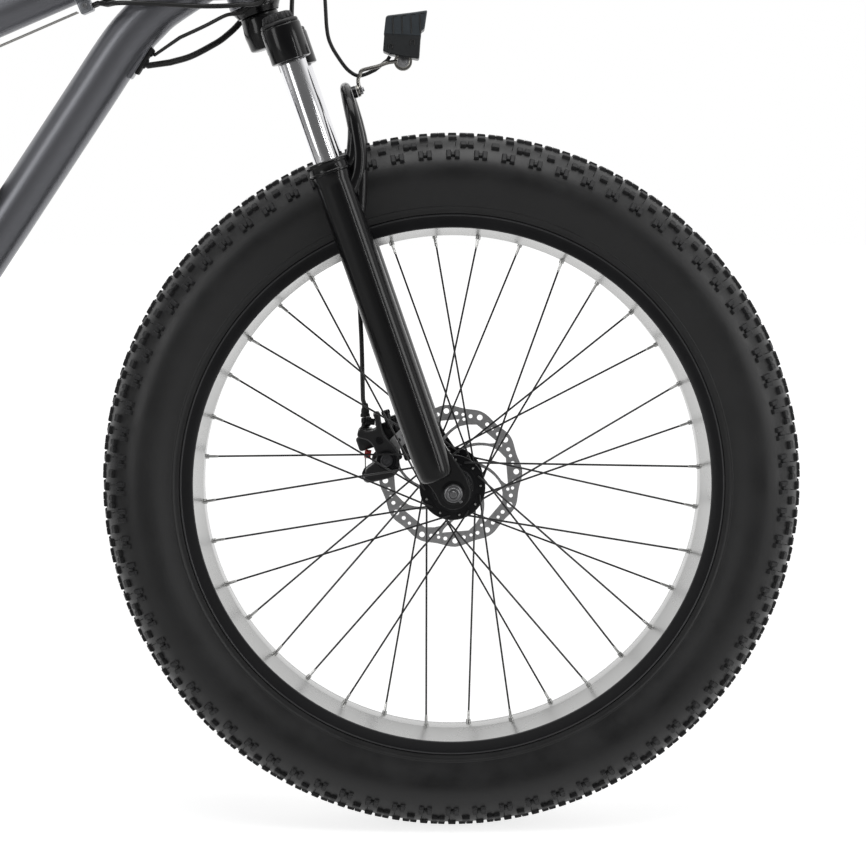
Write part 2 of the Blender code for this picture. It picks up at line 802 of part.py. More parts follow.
def make_cap(side):
    """Knurled preload knob on top of one leg."""
    foot = CROWN_TOP + GAP
    skirt = leg_cylinder(side, foot, foot + 0.0045, CROWN_RADIUS - 0.0010)
    knob = leg_cylinder(side, foot + 0.004, foot + CAP_HEIGHT, CROWN_RADIUS - 0.0055, 12)
    return join(skirt, knob)


def make_lower_cup():
    """Lower headset cup, between the crown and the head tube."""
    height = HEAD_BOTTOM - CROWN_RACE - GAP
    bore = STEERER_RADIUS + GAP
    rim = HEAD_RADIUS - 0.0003
    profile = [(bore, height), (rim, height), (rim, 0.0060), (rim - 0.0047, GAP), (bore, GAP)]
    frame = Matrix.Translation(fork(0, 0, CROWN_RACE)) @ facing(STEER_AXIS)
    return turned(profile, frame, ROUND)


def make_stem():
    """Clamp on the steerer, extension and handlebar clamp."""
    low = HEAD_TOP + 0.0125
    clamp = cylinder(fork(0, 0, low), fork(0, 0, STEM_TOP + 0.004), 0.0190)
    bar = fork(BAR_CLAMP_FORWARD, 0, BAR_CLAMP_HEIGHT)
    half = Y_AXIS * 0.023
    reach = cylinder(fork(0.006, 0, HEAD_TOP + 0.042), bar, 0.0150, 12)
    face = cylinder(bar - half, bar + half, BAR_RADIUS + 0.0084)
    stem = join(clamp, reach, face)
    return cut(
        stem,
        cylinder(fork(0, 0, low - 0.01), fork(0, 0, STEM_TOP), STEERER_RADIUS + GAP),
        cylinder(bar - 2 * half, bar + 2 * half, BAR_RADIUS + GAP),
    )


def make_handlebar():
    half = [
        (0.0, 0.026, 0.0),
        (0.0, 0.045, 0.0),
        (0.0, 0.062, 0.006),
        (0.0, 0.128, BAR_RISE - 0.006),
    ]
    left = [fork(BAR_CLAMP_FORWARD + p, y, BAR_CLAMP_HEIGHT + s) for p, y, s in half]
    right = [fork(BAR_CLAMP_FORWARD + p, -y, BAR_CLAMP_HEIGHT + s) for p, y, s in half]
    ends = [bar_at(1, BAR_BEND_Y), bar_point(1, 1.0)]
    other = [bar_at(-1, BAR_BEND_Y), bar_point(-1, 1.0)]
    route = list(reversed(other)) + list(reversed(right)) + left + ends
    return tube(route, BAR_RADIUS, resolution=3)


def make_grip(side):
    out, _, _ = bar_axes(side)
    end = bar_point(side, 1.0)
    length = GRIP_LENGTH - (THROTTLE_LENGTH + 0.0006 if side < 0 else 0.0)
    grip = cylinder(end - out * length, end + out * 0.004, GRIP_RADIUS, 16)
    return cut(grip, cylinder(end - out * 0.2, end + out * GAP, BAR_RADIUS + GAP, 16))


def make_throttle():
    """Twist sleeve between the right grip and the lever's clamp."""
    out, _, up = bar_axes(-1)
    outer = bar_point(-1, 1.0) - out * (GRIP_LENGTH - THROTTLE_LENGTH)
    inner = outer - out * THROTTLE_LENGTH
    ring = cylinder(inner, outer, GRIP_RADIUS + 0.0015, 16)
    lug = block((inner + outer) / 2 + up * 0.017, (0.020, 0.008, 0.010))
    return cut(join(ring, lug), cylinder(inner - out * 0.05, outer + out * 0.05, BAR_RADIUS + GAP, 16))


def lever_pivot(side):
    out, ahead, up = bar_axes(side)
    return bar_at(side, LEVER_CLAMP_Y) + ahead * LEVER_FORWARD + out * 0.006 - up * 0.004


def make_lever_mount(side):
    """Clamp ring on the bar with the yoke that holds the brake lever; the right one carries the shifter."""
    out, ahead, up = bar_axes(side)
    centre = bar_at(side, LEVER_CLAMP_Y)
    axes = Matrix((out, ahead, up)).transposed()
    ring = cylinder(centre - out * 0.008, centre + out * 0.008, BAR_RADIUS + 0.0054, 16)
    hub = lever_pivot(side)
    arm = block(centre + ahead * 0.0165 - up * 0.004, (0.014, 0.012, 0.016), axes, 0.001)
    pieces = [arm]
    for sign in (-1, 1):
        pieces.append(cylinder(hub + up * sign * 0.0052, hub + up * sign * 0.0082, 0.0075, 10))
        pieces.append(block(hub - ahead * 0.007 + up * sign * 0.0067, (0.012, 0.014, 0.003), axes))
    stop = hub - out * 0.022 - ahead * 0.004
    pieces.append(cylinder(stop - out * 0.006, stop + out * 0.014, 0.0052, 8))
    if side < 0:
        pod = centre - up * 0.0245 - out * 0.010
        pieces.append(block(pod, (0.034, 0.026, 0.018), axes, 0.003))
        pieces.append(block(centre - up * 0.015, (0.012, 0.014, 0.012), axes))
    mount = join(ring, *pieces)
    return cut(
        mount,
        cylinder(centre - out * 0.05, centre + out * 0.05, BAR_RADIUS + GAP, 16),
        cylinder(hub - up * 0.02, hub + up * 0.02, 0.0022, 12),
    )


def make_brake_lever(side):
    """Blade that swings on a pin between the yoke's two ears."""
    out, ahead, up = bar_axes(side)
    hub = lever_pivot(side)
    knuckle = cylinder(hub - up * 0.0047, hub + up * 0.0047, 0.0070, 12)
    pin = cylinder(hub - up * 0.0086, hub + up * 0.0086, 0.0019, 12)
    route = [
        hub,
        hub + out * 0.018 + ahead * 0.010,
        hub + out * 0.045 + ahead * 0.024,
        hub + out * 0.080 + ahead * 0.032,
        hub + out * 0.112 + ahead * 0.036,
    ]
    blade = tube(route, 0.0043, resolution=1)
    tip = cylinder(route[-1] - up * 0.0050, route[-1] + up * 0.0050, 0.0062, 10)
    return join(knuckle, pin, blade, tip)


def shift_pivot():
    out, _, up = bar_axes(-1)
    return bar_at(-1, LEVER_CLAMP_Y) - up * SHIFT_PIVOT_DROP - out * 0.010


def make_shift_lever():
    """Thumb paddle under the shifter's housing, turning on a short post."""
    out, ahead, up = bar_axes(-1)
    axes = Matrix((out, ahead, up)).transposed()
    hub = shift_pivot()
    disc = cylinder(hub - up * 0.0020, hub + up * 0.0020, 0.0090, 12)
    paddle = block(hub + out * 0.020 - ahead * 0.006, (0.034, 0.012, 0.0034), axes, 0.0008)
    return join(disc, paddle)


def display_centre():
    return fork(BAR_CLAMP_FORWARD + 0.004, 0.0, BAR_CLAMP_HEIGHT + 0.041)


def make_display():
    """Screen on a short arm, clamped beside the stem."""
    y = 0.036
    bar = fork(BAR_CLAMP_FORWARD, y, BAR_CLAMP_HEIGHT)
    ring = cylinder(bar - Y_AXIS * 0.006, bar + Y_AXIS * 0.006, BAR_RADIUS + 0.0049)
    lug = block(fork(BAR_CLAMP_FORWARD, y, BAR_CLAMP_HEIGHT + 0.024), (0.016, 0.012, 0.026), FORK_AXES)
    body = block(display_centre(), DISPLAY_SIZE, DISPLAY_AXES, 0.003)
    display = join(ring, lug, body)
    return cut(display, cylinder(bar - Y_AXIS * 0.02, bar + Y_AXIS * 0.02, BAR_RADIUS + GAP))


# Headlight

def make_lamp_bracket():
    """Bent steel rod from the arch to the lamp's hinge bolt, with an eye at each end."""
    low = fork(LAMP_BOLT_P, 0.0, ARCH_TOP - 0.004)
    eye = cylinder(low - FORK_FORWARD * 0.0019, low + FORK_FORWARD * 0.0060, 0.0062, 12)
    bend = FRONT_AXLE + Vector((-0.0958, 0.0, 0.4332))
    route = [
        low + FORK_FORWARD * 0.002,
        low + FORK_FORWARD * 0.0035 + STEER_AXIS * 0.010,
        bend + Vector((0.0, 0.0, -0.004)),
        bend + Vector((0.004, -0.001, 0.0)),
        LAMP_PIVOT + Vector((-0.016, -0.0075, -0.0015)),
        LAMP_PIVOT + Vector((-0.004, -0.0075, -0.0005)),
    ]
    rod = tube(route, 0.0021, resolution=2)
    ear = cylinder(LAMP_PIVOT - Y_AXIS * 0.0093, LAMP_PIVOT - Y_AXIS * 0.0055, 0.0095, 16)
    bolt = cylinder(LAMP_PIVOT - Y_AXIS * 0.0125, LAMP_PIVOT + Y_AXIS * 0.0080, LAMP_BOLT_RADIUS, 12)
    return join(eye, rod, ear, bolt)


def make_headlight():
    """Housing with its visor, and the tongue that turns on the hinge bolt."""
    frame = Matrix.Translation(LAMP_PIVOT) @ Matrix.Rotation(math.pi / 2, 4, "X")
    body = plate([LAMP_SIDE], LAMP_WIDTH, frame)
    tongue = block(LAMP_PIVOT + Vector((0.0010, 0.0, 0.0050)), (0.0130, 0.0092, 0.0120))
    knuckle = cylinder(LAMP_PIVOT - Y_AXIS * 0.0046, LAMP_PIVOT + Y_AXIS * 0.0046, 0.0080, 14)
    return cut(
        join(body, tongue, knuckle),
        cylinder(LAMP_PIVOT - Y_AXIS * 0.03, LAMP_PIVOT + Y_AXIS * 0.03, LAMP_BOLT_RADIUS + GAP, 12),
        cylinder(LAMP_PIVOT - Y_AXIS * 0.04, LAMP_PIVOT - Y_AXIS * 0.0050, 0.0106),
    )


# Front brake caliper

def make_front_caliper():
    """Body astride the disc, its bracket to the fork's tab, and the cable's barrel."""
    p, s = CALIPER
    body = block(fork(p, ROTOR_Y + 0.0013, s), (0.040, 0.0316, 0.036), FORK_AXES, 0.002)
    bracket = block(fork(-0.0214, 0.0660, 0.056), (0.018, 0.0100, 0.050), FORK_AXES)
    post = cylinder(fork(p, 0.068, s), fork(p, CALIPER_ARM_Y - 0.0023, s), 0.0100, 14)
    lug = block(CALIPER_WIRE + Vector((0.0005, -0.0045, 0.0480)), (0.016, 0.016, 0.014))
    barrel = cylinder(CALIPER_WIRE + Z_AXIS * 0.040, CALIPER_WIRE + Z_AXIS * BARREL_TOP, 0.0042, 12)
    link = block(fork(-0.0450, 0.0660, 0.064), (0.030, 0.0100, 0.020), FORK_AXES)
    caliper = join(body, bracket, post, lug, barrel, link)
    low = fork(RAKE, ROTOR_Y - CALIPER_SLOT, 0)
    high = fork(RAKE, ROTOR_Y + CALIPER_SLOT, 0)
    return cut(
        caliper,
        cylinder(low, high, ROTOR_RADIUS + 0.0030, 48),
        cylinder(CALIPER_WIRE, CALIPER_WIRE + Z_AXIS * 0.1, 2 * WIRE, 8),
    )


def make_front_caliper_arm():
    """Lever on the caliper's outer side that the cable pulls up."""
    hub = fork(CALIPER[0], CALIPER_ARM_Y, CALIPER[1])
    tip = CALIPER_ARM_TIP
    half = Y_AXIS * 0.0020
    disc = cylinder(hub - half, hub + half, 0.0105, 14)
    arm = block((hub + tip) / 2, ((tip - hub).length, 0.0040, 0.0100), along_axes(tip - hub))
    bolt = cylinder(tip - half * 0.9, tip + half * 2.2, 0.0052, 10)
    return join(disc, arm, bolt)


# Frame


def down_tube_route():
    """Straight from the bottom bracket, then bending forward into the head tube."""
    head = HEAD_BOTTOM + (HEAD_TOP - HEAD_BOTTOM) * DOWN_TUBE_HEAD
    return [
        down_line(0.0),
        DOWN_BEND + DOWN_ALONG * 0.112,
        from_axle(-0.3525, 0.0, 0.4417),
        from_axle(-0.3360, 0.0, 0.4642),
        from_axle(-0.3175, 0.0, 0.4842),
        from_axle(-0.2940, 0.0, 0.5042),
        fork(0.0, 0.0, head),
    ]


def stay_route(side):
    """Chainstay: out of the shell, past the chainring, then outwards round the tyre."""
    y = side
    end = REAR_DROPOUT_INNER + REAR_DROPOUT_THICKNESS / 2
    return [
        Vector((BRACKET_X - 0.006, y * 0.036, BRACKET_Z)),
        Vector((BRACKET_X - 0.075, y * 0.044, BRACKET_Z + 0.002)),
        Vector((BRACKET_X - 0.115, y * 0.057, BRACKET_Z + 0.006)),
        Vector((BRACKET_X - 0.150, y * 0.066, BRACKET_Z + 0.010)),
        Vector((BRACKET_X - 0.240, y * 0.073, BRACKET_Z + 0.022)),
        Vector((REAR_AXLE.x + 0.090, y * 0.087, REAR_AXLE.z - 0.008)),
        Vector((REAR_AXLE.x + 0.040, y * end, REAR_AXLE.z - 0.003)),
    ]


def seat_stay_route(side):
    end = REAR_DROPOUT_INNER + REAR_DROPOUT_THICKNESS / 2
    top = seat_line(SEAT_TUBE_LENGTH - 0.050)
    return [
        Vector((REAR_AXLE.x + 0.006, side * end, REAR_AXLE.z + 0.024)),
        Vector((REAR_AXLE.x + 0.060, side * 0.086, REAR_AXLE.z + 0.090)),
        Vector((REAR_AXLE.x + 0.200, side * 0.072, REAR_AXLE.z + 0.246)),
        Vector((REAR_AXLE.x + 0.260, side * 0.060, REAR_AXLE.z + 0.306)),
        Vector((top.x - 0.040, side * 0.034, top.z - 0.014)),
        Vector((top.x - 0.004, side * 0.010, top.z + 0.006)),
    ]


def make_frame():
    """All the welded tubes, the head tube with its upper cup, the dropouts and their tabs."""
    head = cylinder(fork(0, 0, HEAD_BOTTOM), fork(0, 0, HEAD_TOP), HEAD_RADIUS, 20)
    cup = cylinder(fork(0, 0, HEAD_TOP - 0.001), fork(0, 0, HEAD_TOP + 0.0118), 0.0215, 20)
    down = tube(down_tube_route(), DOWN_TUBE_RADIUS, resolution=4)
    top = cylinder(TOP_START - TOP_ALONG * 0.0057, TOP_END - TOP_ALONG * 0.0072, TOP_TUBE_RADIUS, 14)
    seat = cylinder(seat_line(0.0), seat_line(SEAT_TUBE_LENGTH), SEAT_TUBE_RADIUS, 14)
    shell = cylinder(BRACKET - Y_AXIS * BRACKET_HALF, BRACKET + Y_AXIS * BRACKET_HALF, BRACKET_RADIUS, 18)
    pieces = [top, head, cup, seat, shell]
    for side in (-1, 1):
        pieces.append(tube(stay_route(side), STAY_RADIUS, resolution=1))
        pieces.append(tube(seat_stay_route(side), STAY_RADIUS * 0.9, resolution=1))
        pieces.append(make_dropout(side))
    bridge = REAR_AXLE + Vector((0.262, 0.0, 0.308))
    pieces.append(cylinder(bridge - Y_AXIS * 0.058, bridge + Y_AXIS * 0.058, 0.0070, 12))
    pieces.append(port_boss())
    pieces.append(kickstand_knee())
    pieces.append(stop_block(REAR_STOP, REAR_STOP_LENGTH))
    tab = REAR_AXLE + Vector((0.060, REAR_TAB_Y, 0.052))
    pieces.append(block(tab, (0.040, 0.008, 0.060)))
    frame = join(down, *pieces)
    reach = REAR_DROPOUT_INNER + 0.02
    slot = REAR_AXLE_RADIUS + GAP
    return cut(
        frame,
        port_pocket(),
        *wire_holes(REAR_STOP),
        cylinder(fork(0, 0, HEAD_BOTTOM - 0.04), fork(0, 0, HEAD_TOP + 0.12), STEERER_RADIUS + 0.0012),
        cylinder(seat_line(0.150), seat_line(SEAT_TUBE_LENGTH + 0.05), SEAT_POST_RADIUS + GAP),
        cylinder(BRACKET - Y_AXIS * 0.08, BRACKET + Y_AXIS * 0.08, SPINDLE_RADIUS + GAP),
        cylinder(REAR_AXLE - Y_AXIS * reach, REAR_AXLE + Y_AXIS * reach, slot, 16),
        block(REAR_AXLE + Vector((0.0, 0.0, -0.0150)), (2 * slot, 2 * reach, 0.030)),
    )


def make_dropout(side):
    """Flat plate at the rear axle; the right one also carries the derailleur's hanger."""
    outline = [
        (-0.020, 0.020),
        (-0.020, -0.022),
        (0.018, -0.022),
        (0.046, -0.012),
        (0.046, 0.010),
        (0.022, 0.040),
        (-0.006, 0.040),
    ]
    if side < 0:
        hanger = [(-0.024, -0.010), (-0.026, -0.052), (-0.004, -0.052), (0.000, -0.024)]
        outline = outline[:1] + hanger + outline[2:]
    y = side * (REAR_DROPOUT_INNER + REAR_DROPOUT_THICKNESS / 2)
    frame = Matrix.Translation(REAR_AXLE + Y_AXIS * y) @ Matrix.Rotation(math.pi / 2, 4, "X")
    return plate([outline], REAR_DROPOUT_THICKNESS, frame)


def port_axes():
    """Along the port's plate, across it, and out of the down tube."""
    along = Vector((math.sin(PORT_TILT), 0.0, math.cos(PORT_TILT)))
    out = Vector((math.cos(PORT_TILT), 0.0, -math.sin(PORT_TILT)))
    return Matrix((along, Y_AXIS, out)).transposed()


def port_boss():
    out = port_axes().col[2]
    return block(PORT_MIDDLE - out * 0.0064, (0.048, 0.024, 0.012), port_axes(), 0.002)


def port_pocket():
    long, wide, thick = PORT_SIZE
    deep = PORT_MIDDLE + port_axes().col[2] * 0.010
    return block(deep, (long + 2 * GAP, wide + 2 * GAP, thick + 2 * (0.010 + GAP)), port_axes())


def make_cable_port():
    """Rubber plate in the down tube's pocket, with a blind hole for each of two cables."""
    axes = port_axes()
    along, out = axes.col[0], axes.col[2]
    tools = []
    for place, radius in ((THIN_PLACE, THIN_CABLE), (HARNESS_PLACE, HARNESS_CABLE)):
        mouth = PORT_MIDDLE + along * place
        floor = PORT_SIZE[2] / 2 - PORT_HOLE_DEPTH
        tools.append(cylinder(mouth + out * floor, mouth + out * 0.02, radius + GAP, 12))
    return cut(block(PORT_MIDDLE, PORT_SIZE, axes, 0.001), *tools)


def make_cable_stop():
    """Band round the top tube with a block below it that ends the two housings."""
    centre = stop_centre()
    half = TOP_ALONG * STOP_LENGTH / 2
    band = cylinder(centre - half, centre + half, TOP_TUBE_RADIUS + 0.0022, 14)
    bore = cylinder(centre - 3 * half, centre + 3 * half, TOP_TUBE_RADIUS + GAP, 14)
    return cut(join(band, stop_block(0.0, STOP_LENGTH)), bore, *wire_holes(0.0))


def stop_block(back, length):
    """Block below the top tube that the two wires run through."""
    drop = TOP_TUBE_RADIUS + STOP_DROP - STOP_HEIGHT / 2 + 0.0048
    centre = stop_centre() - TOP_ALONG * back + TOP_BELOW * drop
    return block(centre, (length, 0.018, STOP_HEIGHT), TOP_AXES)


def wire_holes(back):
    middle = [stop_hole(y) - TOP_ALONG * back for y in (-STOP_Y, STOP_Y)]
    reach = TOP_ALONG * 0.02
    return [cylinder(here - reach, here + reach, WIRE + 0.0005, 8) for here in middle]


def stop_centre():
    return TOP_START + TOP_ALONG * (STOP_PLACE - TOP_START).dot(TOP_ALONG)


def stop_hole(y):
    return stop_centre() + TOP_BELOW * (TOP_TUBE_RADIUS + STOP_DROP) + Y_AXIS * y


# Battery


def make_battery_rail():
    """Mount bolted along the down tube, shaped to it below and flat above."""
    middle = BATTERY_START + BATTERY_LENGTH / 2
    top = DOWN_TUBE_RADIUS + RAIL_HEIGHT
    size = (BATTERY_LENGTH - 0.016, RAIL_WIDTH, 0.020)
    rail = block(down_line(middle, top - size[2] / 2), size, DOWN_AXES, 0.002)
    return cut(rail, cylinder(down_line(0.0), down_line(0.5), DOWN_TUBE_RADIUS + GAP, 12))


def make_battery():
    middle = BATTERY_START + BATTERY_LENGTH / 2
    foot = DOWN_TUBE_RADIUS + RAIL_HEIGHT + GAP
    return block(
        down_line(middle, foot + BATTERY_HEIGHT / 2),
        (BATTERY_LENGTH, BATTERY_WIDTH, BATTERY_HEIGHT),
        DOWN_AXES,
        0.010,
    )


# Seat


def make_seat_clamp():
    ring = cylinder(seat_line(SEAT_TUBE_LENGTH + GAP), seat_line(SEAT_TUBE_LENGTH + 0.0135), 0.0205, 14)
    lug = block(seat_line(SEAT_TUBE_LENGTH + 0.0070) + X_AXIS * -0.0225, (0.012, 0.016, 0.012))
    bore = cylinder(seat_line(0.3), seat_line(0.6), SEAT_POST_RADIUS + GAP)
    return cut(join(ring, lug), bore)


def make_seat_post():
    """Post with the saddle's clamp head."""
    top = seat_line(POST_TOP)
    post = cylinder(seat_line(0.270), top, SEAT_POST_RADIUS)
    head = block(top + Vector((0.0, 0.0, 0.002)), (0.052, 0.036, 0.016), bevel=0.002)
    return join(post, head)


def saddle_height():
    return seat_line(POST_TOP).z + 0.010 + GAP


def make_saddle_base():
    """Rails and pan under the cushion."""
    z = saddle_height()
    x = seat_line(POST_TOP).x
    rails = []
    for side in (-1, 1):
        y = side * 0.022
        route = [
            Vector((x - 0.085, y * 1.9, z + 0.036)),
            Vector((x - 0.060, y * 1.4, z + 0.012)),
            Vector((x - 0.035, y, z + 0.0036)),
            Vector((x + 0.045, y, z + 0.0036)),
            Vector((x + 0.080, y * 0.7, z + 0.014)),
            Vector((x + 0.120, y * 0.25, z + 0.036)),
        ]
        rails.append(tube(route, 0.0035, resolution=1))
    yoke = block((x, 0.0, z + 0.0030), (0.044, 0.060, 0.0060))
    pan = plate([saddle_outline(0.90)], 0.006, Matrix.Translation((0.0, 0.0, z + 0.036)))
    return join(pan, *rails, yoke)


def saddle_outline(scale):
    """Plan of the saddle, wide at the back and narrow at the nose."""
    x = seat_line(POST_TOP).x + 0.005
    long = SADDLE_LENGTH / 2
    wide = SADDLE_WIDTH / 2
    half = [
        (-long, 0.30 * wide),
        (-0.86 * long, 0.85 * wide),
        (-0.55 * long, 1.00 * wide),
        (-0.15 * long, 0.62 * wide),
        (0.25 * long, 0.30 * wide),
        (0.80 * long, 0.24 * wide),
        (long, 0.10 * wide),
    ]
    points = half + [(a, -b) for a, b in reversed(half)]
    return [(x + a * scale, b * scale) for a, b in points]


def make_saddle_cushion():
    """Crowned pad over the pan."""
    z = saddle_height() + 0.0395
    rows = ((0.94, 0.0), (1.0, 0.012), (0.97, 0.026), (0.80, 0.040), (0.45, 0.047))
    bm = bmesh.new()
    rings = []
    for scale, rise in rows:
        rings.append([bm.verts.new((x, y, z + rise)) for x, y in saddle_outline(scale)])
    for low, high in zip(rings, rings[1:]):
        count = len(low)
        for index in range(count):
            after = (index + 1) % count
            bm.faces.new((low[index], low[after], high[after], high[index]))
    bm.faces.new(rings[0])
    bm.faces.new(rings[-1])
    return finish_mesh("cushion", bm)


# Rear wheel


def make_motor():
    """Hub motor's casing with its spoke flanges, and the 36 short spokes laced into them."""
    half = MOTOR_HALF_WIDTH
    bore = REAR_AXLE_RADIUS + GAP
    profile = [
        (bore, REAR_ROTOR_Y + 0.0030),
        (0.0165, REAR_ROTOR_Y + 0.0030),
        (0.0165, REAR_ROTOR_Y - 0.0012),
        (0.0225, REAR_ROTOR_Y - 0.0012),
        (0.0225, half + 0.004),
        (MOTOR_RADIUS - 0.020, half),
        (MOTOR_RADIUS, half - 0.010),
        (MOTOR_FLANGE_RADIUS, 0.036),
        (MOTOR_FLANGE_RADIUS, 0.030),
        (MOTOR_RADIUS, 0.0),
        (MOTOR_FLANGE_RADIUS, -0.030),
        (MOTOR_FLANGE_RADIUS, -0.036),
        (MOTOR_RADIUS, -half + 0.010),
        (MOTOR_RADIUS - 0.020, -half),
        (0.0200, -half - 0.002),
        (0.0200, -CHAIN_LINE + 0.0125),
        (bore, -CHAIN_LINE + 0.0125),
    ]
    motor = turned(profile, wheel_frame(REAR_AXLE), 20)
    spokes = []
    frame = wheel_frame(REAR_AXLE)
    pitch = math.tau / SPOKES_PER_SIDE
    foot = MOTOR_FLANGE_RADIUS - 0.004
    for side in (-1, 1):
        for index in range(SPOKES_PER_SIDE):
            angle = index * pitch + (pitch / 2 if side > 0 else 0.0)
            lean = MOTOR_SPOKE_LEAN * (1 if index % 2 else -1)
            spokes.append(spoke(frame, angle + lean, angle, foot, side * 0.033, side * NIPPLE_OFFSET))
    return join(motor, gather(spokes))


def make_rear_axle():
    """Fixed spindle with a washer and nut outside each dropout."""
    seat = REAR_DROPOUT_OUTER + GAP
    profile = [
        (0.0, seat + 0.016),
        (REAR_AXLE_RADIUS, seat + 0.016),
        (REAR_AXLE_RADIUS, seat + 0.010),
        (0.0115, seat + 0.010),
        (0.0115, seat),
        (REAR_AXLE_RADIUS, seat),
        (REAR_AXLE_RADIUS, -seat),
        (0.0115, -seat),
        (0.0115, -seat - 0.010),
        (REAR_AXLE_RADIUS, -seat - 0.010),
        (REAR_AXLE_RADIUS, -seat - 0.016),
        (0.0, -seat - 0.016),
    ]
    return turned(profile, wheel_frame(REAR_AXLE), 12, ring=False)


def cog_radius(teeth):
    return teeth * CHAIN_PITCH / math.tau


def make_freewheel():
    """Five sprockets on one body."""
    first = -CHAIN_LINE + COG_SPACING * COG_USED
    outer = first - COG_SPACING * (len(COG_TEETH) - 1) - 0.0020
    inner = -CHAIN_LINE + 0.0122
    body = cylinder(REAR_AXLE + Y_AXIS * outer, REAR_AXLE + Y_AXIS * inner, 0.0190)
    cogs = []
    for index, teeth in enumerate(COG_TEETH):
        y = first - COG_SPACING * index
        half = TOOTH_THICKNESS / 2
        tip = cog_radius(teeth) + 0.0020
        cogs.append(cylinder(REAR_AXLE + Y_AXIS * (y - half), REAR_AXLE + Y_AXIS * (y + half), tip, 18))
    wheel = join(body, *cogs)
    reach = Y_AXIS * 0.05
    middle = REAR_AXLE - Y_AXIS * CHAIN_LINE
    return cut(wheel, cylinder(middle - reach, middle + reach, REAR_AXLE_RADIUS + GAP, 16))


# Crankset


def crank_end(side):
    """The right crank points forward at rest and the left one back."""
    return BRACKET + X_AXIS * (CRANK_LENGTH * -side) + Y_AXIS * side * 0.0960


def make_right_crank():
    """Arm with the chainring riveted to it, and a socket for the spindle."""
    frame = wheel_frame(BRACKET - Y_AXIS * CHAIN_LINE)
    windows = []
    for arm in range(4):
        base = math.tau * arm / 4 + math.radians(45.0)
        low = [(0.038, base + math.radians(a)) for a in (-24, 24)]
        high = [(0.070, base + math.radians(a)) for a in (34, 12, -12, -34)]
        windows.append([(r * math.cos(a), r * math.sin(a)) for r, a in low + high])
    rim = circle(cog_radius(RING_TEETH) + 0.0030, 36)
    ring = plate([rim, *windows], TOOTH_THICKNESS, frame)
    hub = cylinder(BRACKET - Y_AXIS * 0.0665, BRACKET - Y_AXIS * 0.0960, 0.0175)
    return cut(join(ring, hub, crank_arm(-1)), *crank_bores(-1))


def crank_arm(side):
    end = crank_end(side)
    start = BRACKET + Y_AXIS * side * 0.0880
    size = ((end - start).length, 0.0110, 0.0220)
    arm = block((start + end) / 2, size, along_axes(end - start), 0.002)
    eye = cylinder(end - Y_AXIS * 0.0060, end + Y_AXIS * 0.0060, 0.0140, 16)
    return join(arm, eye)


def crank_bores(side):
    end = crank_end(side)
    pedal = cylinder(end - Y_AXIS * 0.02, end + Y_AXIS * 0.02, 0.0060 + GAP, 12)
    if side > 0:
        return [pedal]
    return [pedal, cylinder(BRACKET, BRACKET - Y_AXIS * 0.0920, SPINDLE_RADIUS + GAP)]


def make_left_crank():
    """Arm and the spindle that runs through the bottom bracket."""
    spindle = cylinder(BRACKET - Y_AXIS * 0.0915, BRACKET + Y_AXIS * 0.0700, SPINDLE_RADIUS)
    hub = cylinder(BRACKET + Y_AXIS * 0.0560, BRACKET + Y_AXIS * 0.0960, 0.0175)
    return cut(join(hub, spindle, crank_arm(1)), *crank_bores(1))


def make_pedal(side):
    """Platform on its own spindle, which is screwed into the crank."""
    end = crank_end(side)
    inner = end - Y_AXIS * side * 0.0065
    outer = end + Y_AXIS * side * 0.030
    axle = cylinder(inner, outer + Y_AXIS * side * 0.04, 0.0060, 12)
    collar = cylinder(end + Y_AXIS * side * 0.0063, end + Y_AXIS * side * 0.0120, 0.0095, 12)
    middle = end + Y_AXIS * side * 0.064
    body = block(middle, (0.092, 0.098, 0.020), bevel=0.004)
    windows = [
        block(middle + X_AXIS * x, (0.024, 0.066, 0.05)) for x in (-0.026, 0.026)
    ]
    return join(cut(body, *windows), axle, collar)


# Chain


def tangent(first, second):
    """Ends of the straight run between two wheels; a wheel's sign is the way the chain turns on it."""
    (ax, az, ar), (bx, bz, br) = first, second
    dx = bx - ax
    dz = bz - az
    length = math.hypot(dx, dz)
    base = math.atan2(dz, dx)
    angle = base - math.acos((ar - br) / length)
    start = (ax + ar * math.cos(angle), az + ar * math.sin(angle))
    end = (bx + br * math.cos(angle), bz + br * math.sin(angle))
    return start, end


def chain_wheels():
    """Centre and signed radius of each wheel on the chain's way, in order."""
    return [
        (BRACKET_X, BRACKET_Z, -cog_radius(RING_TEETH)),
        (*TENSION_PULLEY, -PULLEY_RADIUS),
        (*GUIDE_PULLEY, PULLEY_RADIUS),
        (REAR_AXLE.x, REAR_AXLE.z, -cog_radius(COG_TEETH[COG_USED])),
    ]


def chain_path():
    """Closed pitch line as a list of points, and its straight runs."""
    wheels = chain_wheels()
    runs = [tangent(a, b) for a, b in zip(wheels, wheels[1:] + wheels[:1])]
    path = []
    for index, wheel in enumerate(wheels):
        x, z, radius = wheel
        start = runs[index - 1][1]
        end = runs[index][0]
        first = math.atan2(start[1] - z, start[0] - x)
        last = math.atan2(end[1] - z, end[0] - x)
        sweep = (last - first) % math.tau
        if radius < 0:
            sweep -= math.tau
        steps = max(3, int(abs(sweep) / math.radians(20.0)))
        for step in range(steps + 1):
            angle = first + sweep * step / steps
            path.append((x + abs(radius) * math.cos(angle), z + abs(radius) * math.sin(angle)))
    return path, runs


def offset_path(path, distance):
    out = []
    count = len(path)
    for index in range(count):
        before = Vector(path[index - 1])
        here = Vector(path[index])
        after = Vector(path[(index + 1) % count])
        way = ((here - before).normalized() + (after - here).normalized()).normalized()
        out.append((here.x + way.y * distance, here.y - way.x * distance))
    return out


